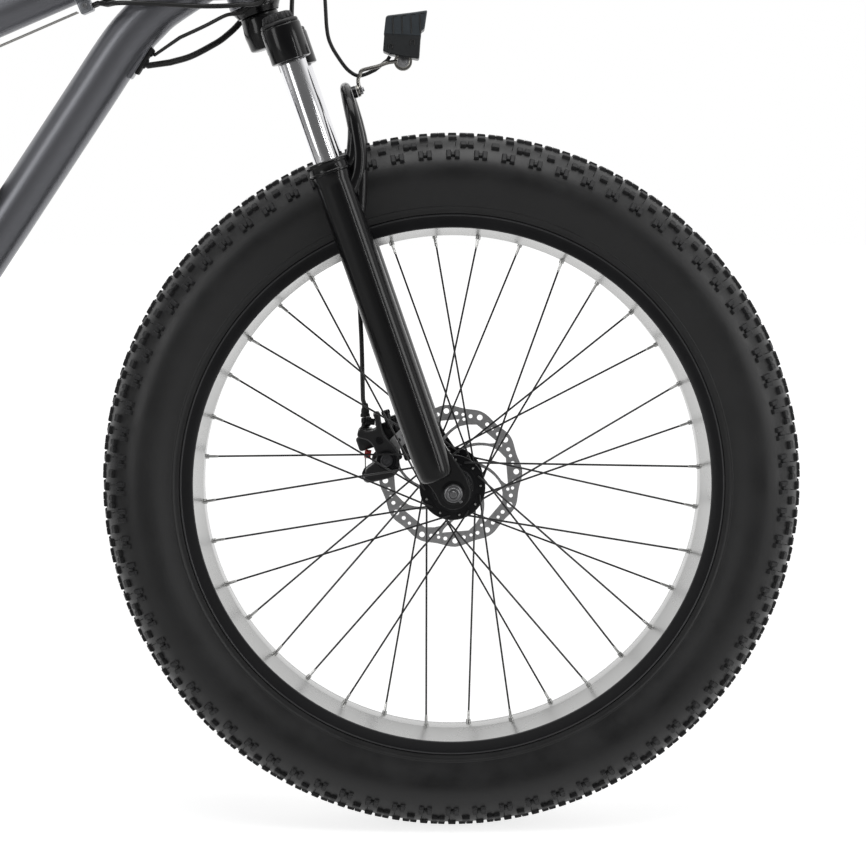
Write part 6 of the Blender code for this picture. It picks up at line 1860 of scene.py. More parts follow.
@dataclass
class Headlight:
    """Hooded lamp with ribbed sides, its lens, and the bent rod that holds it."""

    half_width: float = 0.023

    def at(self, x: float, y: float, z: float) -> Vector:
        """Return a point given from the hinge bolt."""
        return LAMP_PIVOT + Vector((x, y, z))

    def body(self) -> None:
        """Add the lamp."""
        shape = Shape("lamp_cover", "lamp_shell", "lamp_lens", "lamp_glow", "housing_black")
        plane = side_on(LAMP_PIVOT)
        hood = mm(
            (-19.7, 27), (-17.8, 43.6), (-17, 45.2), (-15.2, 46.3), (10, 49.4), (24, 51.4), (24.7, 51),
            (24.9, 50), (22.4, 33.6), (21.6, 32.4), (19.6, 31), (18.8, 29.6), (18.6, 25),
        )
        low = mm(
            (-20.6, 10.8), (-19, 30), (18, 33), (18.4, 25), (16.9, 3.6), (16, 2.4), (14.6, 2.2), (-12, 6.8),
            (-19.8, 9.8),
        )
        shape.plate([hood], 2 * self.half_width, plane, 0, 0.0011)
        shape.plate([low], 2 * self.half_width - 0.001, plane, 1, 0.001)
        for side in (-1, 1):
            y = side * (self.half_width - 0.0002)
            for index in range(4):
                x = -0.0106 + 0.0093 * index
                top = 0.044 + 0.0011 * index
                foot = self.at(x + 0.0008, y, 0.0275 + 0.0003 * index)
                head = self.at(x, y, top)
                shape.rod(foot, head, 0.0009, 4, 10)
                bends = ((0.0, 0.0), (0.002, 0.0013), (0.0048, 0.001))
                across = [self.at(x + a, y, top + b) for a, b in bends]
                shape.tube(smooth_route(across, 4), 0.0006, 4, None, 3)
            for x, z in ((-0.013, 0.015), (0.0095, 0.019)):
                bends = mm((-2, -2.6), (-1.4, 1.6), (0.6, 2.4), (2.2, 0.8), (2.2, -3))
                arch = [self.at(x + a, y - side * 0.0002, z + b) for a, b in bends]
                shape.tube(smooth_route(arch, 4), 0.0008, 4, None, 3)
        front = placed(self.at(0.0132, 0.0, 0.0178), Vector((1.0, 0.0, 0.075)))
        lens = mm((0, 1.6), (6, 2.4), (11, 2.2), (13.2, 1.4), (13.4, 0), (0, 0))
        bezel = mm((12.4, 0), (14.3, 0), (14.3, 2.2), (13.7, 2.7), (13, 2.2))
        shape.turned(bezel, front, 48, 1, True)
        shape.turned(lens, front, 48, 2)
        for index in range(5):
            y = -0.0084 + 0.0042 * index
            shape.rod(front @ Vector((0.0, y, 0.0016)), front @ Vector((0.0, y, 0.0027)), 0.0016, 3, 12)
        tongue = self.at(0.001, 0.0, 0.005)
        shape.block(tongue, (0.013, 0.009, 0.012), None, 0.001, 1)
        knuckle = placed(LAMP_PIVOT, Y_AXIS)
        ring = mm((2.7, -4.6), (7.6, -4.6), (8, -4.2), (8, 4.2), (7.6, 4.6), (2.7, 4.6))
        shape.turned(ring, knuckle, 36, 1, True)
        shape.piece("lamp_dressed", "lamp", ["headlight"], smooth=30.0)

    def bracket(self) -> None:
        """Add the bent steel rod with its eyes, nuts and bolts."""
        shape = Shape("zinc", "steel")
        low = fork(0.072, 0.0, LAMP_SEAT)
        shape.rod(low - FORK_FORWARD * 0.0019, low + FORK_FORWARD * 0.0012, 0.0062, 0, 32, bevel=0.0004)
        bolt_end = low + FORK_FORWARD * 0.006
        shape.rod(low, bolt_end, 0.0024, 1, 20, bevel=0.0003)
        shape.rod(low + FORK_FORWARD * 0.0012, low + FORK_FORWARD * 0.0042, 0.0046, 1, 6, bevel=0.0004)
        bend = from_axle(-0.0958, 0.0, 0.4332)
        route = [
            low + FORK_FORWARD * 0.0005, low + FORK_FORWARD * 0.002 + STEER_AXIS * 0.006,
            low + FORK_FORWARD * 0.0032 + STEER_AXIS * 0.011, bend + Vector((-0.0002, 0.0, -0.005)),
            bend + Vector((0.001, -0.0004, -0.0014)), bend + Vector((0.0046, -0.001, 0.0004)),
            self.at(-0.026, -0.0052, -0.0046), self.at(-0.016, -0.0074, -0.0012),
            self.at(-0.006, -0.0075, 0.0004),
        ]
        shape.tube(smooth_route(route, 6), 0.002, 0, None, 6)
        eye = placed(LAMP_PIVOT - Y_AXIS * 0.0093, Y_AXIS)
        ring = mm(
            (2.5, 0), (6, 0), (7, 0.6), (8.2, 0.2), (9.2, 0.4), (9.5, 1), (9.5, 3.2), (9, 3.8), (2.5, 3.8),
        )
        shape.turned(ring, eye, 40, 0, True)
        shape.rod(self.at(0, -0.0093, 0), self.at(0, -0.0104, 0), 0.006, 1, 32, bevel=0.0003)
        shape.rod(self.at(0, -0.0104, 0), self.at(0, -0.0119, 0), 0.0042, 1, 6, bevel=0.0003)
        shape.rod(self.at(0, -0.0125, 0), self.at(0, 0.008, 0), 0.0024, 1, 20, bevel=0.0002)
        shape.piece("lamp_rod", "lowers", ["headlight_bracket"], smooth=36.0)

    def build(self) -> None:
        """Make the lamp and its rod."""
        self.body()
        self.bracket()


# Front caliper


@dataclass
class FrontCaliper:
    """Cable-pulled caliper astride the disc, on the fork's left leg."""

    def spot(self, x: float, y: float, z: float) -> Vector:
        """Return a point given in millimetres from the front axle."""
        return from_axle(x / 1000, y / 1000, z / 1000)

    def body_outline(self) -> list[tuple[float, float]]:
        """Return the cast body, seen from the right, in metres from the axle.

        Returns:
            The closed outline.
        """
        points = [
            (-84.0, 68.0), (-80.5, 70.0), (-77.0, 68.0), (-75.0, 57.0), (-71.5, 46.0), (-63.5, 37.0),
            (-57.5, 28.5), (-55.6, 17.0), (-58.5, 5.0), (-65.0, 0.2), (-78.0, -3.4), (-88.0, -5.0),
            (-93.0, -2.0), (-91.5, 9.0), (-84.5, 14.5), (-80.5, 21.0), (-83.0, 32.0), (-89.5, 40.0),
            (-99.0, 43.0), (-101.0, 47.5), (-98.0, 52.5), (-91.0, 50.0), (-82.0, 52.0), (-80.0, 58.0),
        ]
        route = smooth_route([Vector((x / 1000, z / 1000, 0.0)) for x, z in points], 3)
        return [(p.x, p.y) for p in route]

    def build(self) -> None:
        """Make the caliper."""
        shape = Shape("cast_black", "steel", "reflector_red", "soft_rubber", "hub_black", "dark_steel")
        for y in (0.0462, 0.0622):
            shape.plate([self.body_outline()], 0.0115, side_on(FRONT_AXLE + Y_AXIS * y), 0, 0.0014)
        shape.block(self.spot(-79.0, 54.2, 62.0), (0.0055, 0.025, 0.012), None, 0.001, 0)
        shape.block(self.spot(-86.0, 54.2, 1.5), (0.008, 0.025, 0.006), None, 0.001, 0)
        ring = placed(self.spot(-69.6, 40.4, 19.0), -Y_AXIS)
        seat = mm((0, 0), (10.4, 0), (10.8, 0.6), (10.6, 1.8), (9.6, 2.2), (8, 2), (7.6, 1.2), (0, 1.2))
        shape.turned(seat, ring, 48, 4)
        dial = mm(
            (0, 1), (6.8, 1), (7, 1.4), (6.6, 2.4), (5.2, 2.8), (4.7, 1.8), (3.6, 1.8), (3.4, 2.6),
            (1.8, 2.8), (1.6, 1.4), (0, 1.4),
        )
        shape.turned(dial, ring, 40, 5)
        shape.bolt(self.spot(-77.4, 40.6, 40.5), -Y_AXIS, 0.0042, 0.0014, 4)
        shape.bolt(self.spot(-60.0, 40.6, 9.0), -Y_AXIS, 0.0036, 0.0012, 4)
        red = placed(self.spot(-86.5, 52.0, 24.0), Vector((-1.0, 0.0, 0.15)))
        cap = mm((0, 0), (4.8, 0), (4.8, 6.2), (4.2, 7), (0, 7))
        shape.turned(cap, red, 24, 2)
        pin = placed(self.spot(-82.0, 47.0, 60.0), Vector((-1.0, 0.0, 0.1)))
        head = mm((0, 0), (3.6, 0), (3.6, 4), (5, 4.6), (5.2, 5.4), (5.2, 9.4), (4.6, 10.2), (0, 10.2))
        shape.turned(head, pin, 24, 4)
        for x, z, y in ((-68.0, 62.0, 58.0), (-58.0, 54.0, 60.0)):
            foot = self.spot(x, y, z)
            shape.rod(foot - STEER_AXIS * 0.01, foot + STEER_AXIS * 0.006, 0.004, 0, 24, bevel=0.0006)
            shape.bolt(foot + STEER_AXIS * 0.006, STEER_AXIS, 0.0048, 0.004, 4)
        shape.block(fork(-0.033, 0.0655, 0.064), (0.044, 0.009, 0.016), FORK_AXES, 0.003, 0, 3)
        shape.block(fork(-0.02, 0.0655, 0.056), (0.014, 0.01, 0.044), FORK_AXES, 0.003, 0, 3)
        wire = self.spot(-93.0, 74.5, 0.0)
        shape.block(wire + Vector((0.001, -0.006, 0.0465)), (0.015, 0.018, 0.0095), None, 0.0022, 0, 3)
        screw = mm(
            (1, 40), (4.5, 40), (5, 40.6), (5, 52), (4.2, 52.8), (4, 56), (4.6, 56.6), (4.6, 60), (4, 61.6),
            (1, 61.8),
        )
        shape.turned(screw, Matrix.Translation(wire), 28, 4, True)
        boot = mm(
            (2.7, 62.5), (5.2, 62.5), (5.4, 64), (5, 66), (4.4, 66.8), (4.6, 69), (4, 72), (3.4, 72.8),
            (3.6, 74.5), (3, 77), (2.7, 77.5),
        )
        shape.turned(boot, Matrix.Translation(wire), 28, 3, True)
        shape.piece("caliper_dressed", "lowers", ["front_caliper"], smooth=34.0)
        self.arm()

    def arm(self) -> None:
        """Add the lever that the cable pulls up."""
        shape = Shape("cast_black", "steel")
        hub = fork(-0.036, 0.0745, 0.04)
        tip = self.spot(-90.0, 74.5, -4.0)
        shape.rod(hub - Y_AXIS * 0.002, hub + Y_AXIS * 0.002, 0.0105, 0, 36, bevel=0.0006)
        shape.bolt(hub + Y_AXIS * 0.002, Y_AXIS, 0.0048, 0.0026, 1)
        outline = mm(
            (-77, 26.5), (-86, 12), (-94.5, 6), (-96.8, 1), (-96.5, -5.2), (-91.5, -8.8), (-85, -7.5),
            (-79, -2), (-68, 6),
        )
        shape.plate([outline], 0.0034, side_on(FRONT_AXLE + Y_AXIS * 0.0745), 0, 0.0005)
        shape.rod(tip - Y_AXIS * 0.002, tip + Y_AXIS * 0.003, 0.0058, 1, 28, bevel=0.0004)
        shape.rod(tip + Y_AXIS * 0.003, tip + Y_AXIS * 0.0044, 0.004, 1, 6, bevel=0.0003)
        shape.rod(tip - Y_AXIS * 0.0034, tip - Y_AXIS * 0.002, 0.0046, 1, 6, bevel=0.0003)
        shape.piece("caliper_arm_dressed", "caliper_arm", ["front_caliper_arm"])


# Frame


@dataclass
class MainFrame:
    """The welded tubes with their beads, the dropouts, the port's boss and the rear stop."""

    down_radius: float = 0.025
    top_radius: float = 0.0205
    seat_radius: float = 0.0168
    head_radius: float = 0.0265
    stay_radius: float = 0.009
    dropout_y: float = 0.0915
    stop_drop: float = 0.02585

    def weld(
        self, shape: Shape, foot: Vector, way: Vector, radius: float, other: tuple[Vector, Vector, float]
    ) -> None:
        """Lay a rippled bead where one tube meets another.

        Args:
            shape: what it is added to.
            foot: a point on the first tube's axis, outside the other tube.
            way: the direction from there to the other tube.
            radius: the first tube's radius.
            other: a point on the other tube's axis, its direction and its radius.
        """
        place, axis, wall = other
        way = way.normalized()
        turn = facing(way).to_3x3()
        bead = []
        for step in range(96):
            angle = math.tau * step / 96
            start = foot + turn @ Vector((radius * math.cos(angle), radius * math.sin(angle), 0.0))
            flat = start - place - axis * (start - place).dot(axis)
            slope = way - axis * way.dot(axis)
            dip = flat.dot(slope) ** 2 - slope.dot(slope) * (flat.dot(flat) - wall**2)
            reach = (-flat.dot(slope) - math.sqrt(max(0.0, dip))) / slope.dot(slope)
            bead.append(start + way * reach)
        ripple = [1.0 + 0.16 * (i % 2) for i in range(96)]
        shape.tube(bead, 0.0024, 0, ripple, 3, closed=True)

    def down_route(self) -> list[Vector]:
        """Return the down tube's centre line, straight at first and bent into the head tube.

        Returns:
            The points from the bottom bracket to the head tube.
        """
        bend = [
            DOWN_BEND + DOWN_ALONG * 0.09, DOWN_BEND + DOWN_ALONG * 0.112,
            from_axle(-0.3525, 0.0, 0.4417), from_axle(-0.336, 0.0, 0.4642),
            from_axle(-0.3175, 0.0, 0.4842), from_axle(-0.294, 0.0, 0.5042),
            fork(0.0, 0.0, DOWN_JOIN),
        ]
        return [DOWN_START, *smooth_route(bend, 6)]

    def stays(self, shape: Shape) -> None:
        """Add the four stays, their bridge and the dropouts.

        Args:
            shape: what they are added to.
        """
        for side in (-1, 1):
            fore = mm((-6, 36, 0), (-75, 44, 2), (-115, 57, 6), (-150, 66, 10), (-240, 73, 22))
            aft = ((0.09, 0.087, -0.008), (0.04, self.dropout_y, -0.003))
            chainstay = [BRACKET + Vector((x, side * y, z)) for x, y, z in fore]
            chainstay += [from_rear_axle(x, side * y, z) for x, y, z in aft]
            low = (
                (0.006, self.dropout_y, 0.024), (0.06, 0.086, 0.09), (0.2, 0.072, 0.246),
                (0.26, 0.06, 0.306),
            )
            high = ((-0.04, 0.034, -0.014), (-0.004, 0.01, 0.006))
            top = seat_line(SEAT_LENGTH - 0.05)
            seatstay = [from_rear_axle(x, side * y, z) for x, y, z in low]
            seatstay += [top + Vector((x, side * y, z)) for x, y, z in high]
            shape.tube(smooth_route(chainstay, 6), self.stay_radius, 0, None, 7)
            shape.tube(smooth_route(seatstay, 6), self.stay_radius * 0.9, 0, None, 7)
            outline = mm((-20, 20), (-20, -22), (18, -22), (46, -12), (46, 10), (22, 40), (-6, 40))
            if side < 0:
                hanger = mm((-24, -10), (-26, -48), (-22, -52), (-8, -52), (0, -24))
                outline = outline[:1] + hanger + outline[2:]
            place = side_on(REAR_AXLE + Y_AXIS * side * self.dropout_y)
            shape.plate([outline], 0.0068, place, 0, 0.0008)
        bridge = from_rear_axle(0.262, 0.0, 0.308)
        shape.rod(bridge - Y_AXIS * 0.058, bridge + Y_AXIS * 0.058, 0.007, 0, 32)
        shape.block(from_rear_axle(0.06, 0.088, 0.052), (0.04, 0.0078, 0.06), None, 0.0016)

    def details(self, shape: Shape) -> None:
        """Add the port's boss, the rear cable stop and the kickstand's bracket.

        Args:
            shape: what they are added to.
        """
        out = PORT_AXES.col[2]
        shape.block(PORT_MIDDLE - out * 0.007, (0.048, 0.024, 0.0124), PORT_AXES, 0.003, 0, 3)
        rear = STOP_CENTRE - TOP_ALONG * 0.385 + TOP_BELOW * self.stop_drop
        shape.block(rear, (0.012, 0.018, 0.0145), TOP_AXES, 0.0014)
        axes = facing(Kickstand.axis(), X_AXIS)
        up = -axes.to_3x3().col[1]
        bracket = Kickstand.PIVOT - Kickstand.axis() * 0.014 + up * 0.014
        shape.block(bracket, (0.034, 0.05, 0.0215), axes, 0.002)

    def build(self) -> None:
        """Make the frame."""
        shape = Shape("frame_grey")
        head = placed(STEER_FOOT, STEER_AXIS)
        wall = self.head_radius
        profile = [
            (0.0158, 0.5393), (wall, 0.5393), (wall + 0.0006, 0.5399), (wall + 0.0006, 0.545),
            (wall, 0.5458), (wall, 0.674), (wall + 0.0006, 0.6748), (wall + 0.0006, 0.6794),
            (wall, 0.68), (0.0215, 0.6802), (0.0213, 0.691), (0.0207, 0.6917), (0.0158, 0.6917),
        ]
        shape.turned(profile, head, 64, ring=True)
        shape.tube(self.down_route(), self.down_radius, 0, None, 12)
        start = TOP_START - TOP_ALONG * 0.0057
        end = TOP_END - TOP_ALONG * 0.0072
        shape.tube([start, end], self.top_radius, 0, None, 12)
        tube_ring = [(0.0139, 0.15), (0.0, 0.15), (0.0, 0.0), (self.seat_radius, 0.0),
                     (self.seat_radius, SEAT_LENGTH), (0.0139, SEAT_LENGTH)]
        shape.turned(tube_ring, placed(BRACKET, SEAT_ALONG), 48, ring=True)
        shell = mm((9.8, -49.8), (20.9, -49.8), (21.5, -49.2), (21.5, 49.2), (20.9, 49.8), (9.8, 49.8))
        shape.turned(shell, placed(BRACKET, Y_AXIS), 48, ring=True)
        last = fork(0.0, 0.0, DOWN_JOIN)
        way = last - from_axle(-0.294, 0.0, 0.5042)
        steerer = (STEER_FOOT, STEER_AXIS, self.head_radius)
        self.weld(shape, last - way.normalized() * 0.08, way, self.down_radius, steerer)
        self.weld(shape, TOP_END - TOP_ALONG * 0.08, TOP_ALONG, self.top_radius, steerer)
        seat_tube = (BRACKET, SEAT_ALONG, self.seat_radius)
        self.weld(shape, TOP_START + TOP_ALONG * 0.08, -TOP_ALONG, self.top_radius * 0.8, seat_tube)
        bottom = (BRACKET, Y_AXIS, SHELL_RADIUS)
        self.weld(shape, seat_line(0.08), -SEAT_ALONG, self.seat_radius, bottom)
        self.weld(shape, down_line(0.09), -DOWN_ALONG, self.down_radius * 0.82, bottom)
        self.stays(shape)
        self.details(shape)
        shape.piece("frame_dressed", "frame", ["main_frame"], smooth=40.0)
        self.stop()
        self.port()

    def stop(self) -> None:
        """Add the clamped cable stop under the top tube."""
        shape = Shape("clamp_grey", "steel")
        band = placed(STOP_CENTRE, TOP_ALONG)
        ring = mm((20.8, -7), (22.2, -7), (22.7, -6.5), (22.7, 6.5), (22.2, 7), (20.8, 7))
        shape.turned(ring, band, 56, 0, True)
        middle = STOP_CENTRE + TOP_BELOW * self.stop_drop
        shape.block(middle, (0.0138, 0.018, 0.0144), TOP_AXES, 0.002, 0, 3)
        for y in (-WIRE_HOLE_Y, WIRE_HOLE_Y):
            face = stop_hole(y) + TOP_ALONG * 0.0062
            shape.rod(face, face + TOP_ALONG * 0.0008, 0.0038, 1, 24, bevel=0.0002)
        shape.bolt(middle - Y_AXIS * 0.0088, -Y_AXIS, 0.003, 0.0022, 1)
        shape.piece("cable_clamp", "frame", ["top_tube_cable_stop"])

    def port(self) -> None:
        """Add the rubber plate that two cables come out of."""
        shape = Shape("soft_rubber")
        out = PORT_AXES.col[2]
        shape.block(PORT_MIDDLE, (0.032, 0.016, 0.0055), PORT_AXES, 0.002, 0, 3)
        for place, radius in ((-0.0018, 0.0038), (0.0112, 0.0024)):
            mouth = placed(PORT_MIDDLE + PORT_AXES.col[0] * place + out * 0.002, out)
            ring = [(radius, 0.0), (radius + 0.0018, 0.0), (radius + 0.0016, 0.0018),
                    (radius + 0.001, 0.0024), (radius + 0.0002, 0.0022)]
            shape.turned(ring, mouth, 28, 0, True)
        shape.piece("port_plate", "frame", ["cable_port"])


@dataclass
class Kickstand:
    """Side stand on the left chainstay."""

    PIVOT = REAR_AXLE + Vector((0.175, 0.1, -0.0458))
    FOOT = Vector((PIVOT.x + 0.03, PIVOT.y + 0.135, 0.0))

    @classmethod
    def axis(cls) -> Vector:
        """Return the axis that it swings about."""
        down = (cls.FOOT - cls.PIVOT).normalized()
        return down.cross(Vector((-1.0, 0.08, 0.04)).normalized()).normalized()

    def build(self) -> None:
        """Make the stand."""
        axis = self.axis()
        down = (self.FOOT - self.PIVOT).normalized()
        shape = Shape("satin_black", "soft_rubber", "steel")
        shape.rod(self.PIVOT - axis * 0.0027, self.PIVOT + axis * 0.011, 0.011, 0, 40, bevel=0.0008)
        shape.bolt(self.PIVOT + axis * 0.011, axis, 0.006, 0.003, 2)
        knee = self.PIVOT + axis * 0.0055
        shape.tube([knee, knee + down * 0.02, self.FOOT - down * 0.01], 0.008, 0, [1.1, 1.0, 1.0], 8)
        shape.rod(self.FOOT, self.FOOT + Z_AXIS * 0.004, 0.019, 1, 40, bevel=0.0008)
        shape.rod(self.FOOT + Z_AXIS * 0.004, self.FOOT + Z_AXIS * 0.014, 0.018, 1, 40, 0.012, 0.001)
        shape.piece("stand_leg", "stand", ["kickstand"])


# Cables


@dataclass
class Cable:
    """A housing, a sheathed cable or a bare wire that follows a route."""

    name: str
    route: Sequence[Vector]
    radius: float
    body: str | tuple[str, str, Vector, Vector]
    nodes: Sequence[str] = ()
    finish: str = "housing_black"
    stiffness: str = "medium"
    lay: str = "hanging"
    slot: str = "black_rubber"

    def build(self) -> None:
        shape = Shape(self.finish)
        shape.tube(self.route, self.radius, resolution=4)
        made = shape.piece(self.name, self.body, self.nodes, smooth=60.0)


@dataclass
class Cabling:
    """Every cable of the bicycle, along the same points as its solids."""

    housing: float = 0.0025
    wire: float = 0.0008
    harness: float = 0.0034
    sensor: float = 0.002

    def front_brake(self) -> None:
        """Add the front brake's wire and its housing up to the left lever."""
        foot = from_axle(-0.093, 0.0745, 0.0)
        Cable(
            "front_brake_wire",
            [foot + Z_AXIS * 0.0019, foot + Z_AXIS * 0.0623],
            self.wire,
            ("caliper_arm", "lowers", foot + Z_AXIS * 0.004, foot + Z_AXIS * 0.06),
            finish="wire_steel",
            stiffness="stiff",
            lay="taut",
            slot="steel",
        ).build()
        start = foot + Z_AXIS * 0.0623
        route = places(
            from_axle, (-95.4, 77, 81.2), (-97.5, 88, 156.5), (-102.8, 94, 216.3), (-120.2, 102, 276),
            (-143.9, 106, 340.9), (-167.5, 108, 411), (-172, 112, 501.2), (-165, 120, 591.2),
            (-165, 130, 681.2), (-182, 148, 739.2),
        )
        points = [start, start + Z_AXIS * 0.012, *smooth_route(route), *lever_stop(Side.LEFT)]
        bend = ("steering", "lowers", fork(0.0, 0.11, 0.46), fork(0.0, 0.08, 0.12))
        Cable("front_brake_housing", points, self.housing, bend, ["front_brake_cable"]).build()

    def stopped(self, name: str, y: float, rear: list[Vector], front: list[Vector]) -> None:
        """Add a cable whose bare wire runs under the top tube.

        Args:
            name: the cable's name, which its solid has too.
            y: its hole's place across the stop.
            rear: the points behind the rear stop.
            front: the points ahead of the front stop.
        """
        hole = stop_hole(y)
        behind = [*rear, hole - TOP_ALONG * 0.3973, hole - TOP_ALONG * 0.3913]
        Cable(name + "_rear", behind, self.housing, "frame").build()
        bare = [hole - TOP_ALONG * 0.375, hole - TOP_ALONG * 0.01]
        Cable(
            name + "_wire", bare, self.wire, "frame", finish="wire_steel", stiffness="stiff",
            lay="taut", slot="steel",
        ).build()
        ahead = [hole + TOP_ALONG * 0.0073, hole + TOP_ALONG * 0.0133, *front]
        bend = ("frame", "steering", from_axle(-0.32, 0.0, 0.5), from_axle(-0.155, 0.0, 0.56))
        Cable(name + "_front", ahead, self.housing, bend, [name]).build()

    def rear_brake(self) -> None:
        """Add the rear brake's cable, from its caliper to the right lever."""
        forwards = REAR_CALIPER_AXES.col[0]
        back = places(
            from_rear_axle, (103.5, 77, 86.2), (132.5, 80, 149.2), (208.5, 72, 237.2), (274, 59, 293.2),
            (325, 38, 317.2), (368, 25, 323.2), (398, 15, 329.2),
        )
        front = places(
            from_axle, (-349, -10, 505.7), (-332, -28, 508.7), (-294, -34, 507.2), (-250, -35, 504.2),
            (-216, -34.5, 507.2), (-184, -40, 519.2), (-162, -56, 571.2), (-157, -80, 651.2),
            (-172, -120, 729.2),
        )
        rear = [REAR_CALIPER + forwards * 0.0203, REAR_CALIPER + forwards * 0.0303]
        self.stopped(
            "rear_brake_cable",
            WIRE_HOLE_Y,
            [*rear, *smooth_route(back)],
            [*smooth_route(front), *lever_stop(Side.RIGHT)],
        )

    def shift(self) -> None:
        """Add the shift cable, from the derailleur to the shifter."""
        back = places(
            from_rear_axle, (-47, -102, -68.8), (-50, -102, -38.8), (-33, -102, 3.2), (5, -102, 32.2),
            (44, -100, 59.2), (94, -88, 111.2), (130, -82, 151.2), (208.5, -72, 237.2), (274, -59, 293.2),
            (325, -38, 317.2), (368, -25, 323.2), (398, -15, 329.2),
        )
        front = places(
            from_axle, (-355, -15, 498.8), (-339, -28.5, 499.8), (-299.5, -32, 498.5), (-258.6, -35, 496),
            (-217.7, -34.5, 497.5), (-190, -48, 504.2), (-176, -74, 561.2), (-176, -100, 641.2),
            (-194, -130, 709.2),
        )
        rear = [from_rear_axle(-0.0127, -0.102, -0.0674), from_rear_axle(-0.021, -0.102, -0.071)]
        self.stopped(
            "shift_cable",
            -WIRE_HOLE_Y,
            [*rear, *smooth_route(back)],
            [*smooth_route(front), *shifter_stop()],
        )

    def port_cables(self) -> None:
        """Add the two cables that go from the port in the down tube to the display."""
        thick = places(
            from_axle, (-293.9, 8, 441.2), (-273.7, 17, 447.7), (-253.4, 25, 458.6), (-238.1, 30, 468.8),
            (-220, 34, 487.2), (-195, 36, 526.2), (-184, 30, 591.2), (-177, 30, 661.2), (-176, 30, 721.2),
        )
        thin = places(
            from_axle, (-281.2, -12, 465.7), (-254.4, -23, 476.8), (-232, -30, 487.2), (-214.5, -31, 491.2),
            (-190, -30, 516.2), (-174, -24, 581.2), (-170, -20, 651.2), (-175, -18, 716.2),
        )
        bend = ("frame", "steering", from_axle(-0.31, 0.0, 0.45), from_axle(-0.185, 0.0, 0.53))
        for name, place, route, radius, y in (
            ("harness_cable", -0.0018, thick, self.harness, 0.02),
            ("sensor_cable", 0.0112, thin, self.sensor, -0.018),
        ):
            points = [*port_start(place), *smooth_route(route), *display_stop(y)]
            Cable(name + "_sheath", points, radius, bend, [name]).build()

    def lamp(self) -> None:
        """Add the headlight's cable, from under the lamp to the display."""
        route = places(
            from_axle, (-80.3, 4.5, 433.4), (-90.7, 4.5, 428.8), (-99.1, 4.5, 427.7), (-108.4, 4.5, 433.4),
            (-116.7, 4, 443.7), (-125.9, 2, 459), (-129.9, 0, 474.2), (-131.7, -2, 504.6),
            (-136, -2, 581.2), (-146, 0, 671.2), (-172, 1, 731.2),
        )
        start = [
            LAMP_PIVOT + Vector((-0.0137, 0.003, 0.006)), LAMP_PIVOT + Vector((-0.016, 0.0034, 0.0022)),
        ]
        bend = ("steering", "lowers", from_axle(-0.138, 0.0, 0.62), from_axle(-0.112, 0.0, 0.44))
        points = [*start, *smooth_route(route), *display_stop(0.001)]
        Cable("headlight_sheath", points, self.sensor, bend, ["headlight_cable"]).build()

    def build(self) -> None:
        """Make every cable."""
        self.front_brake()
        self.rear_brake()
        self.shift()
        self.port_cables()
        self.lamp()


# Cockpit


def hand_axes(side: Side) -> Matrix:
    """Return the directions at one hand as columns: outwards, ahead and up."""
    return Matrix(bar_axes(side)).transposed()


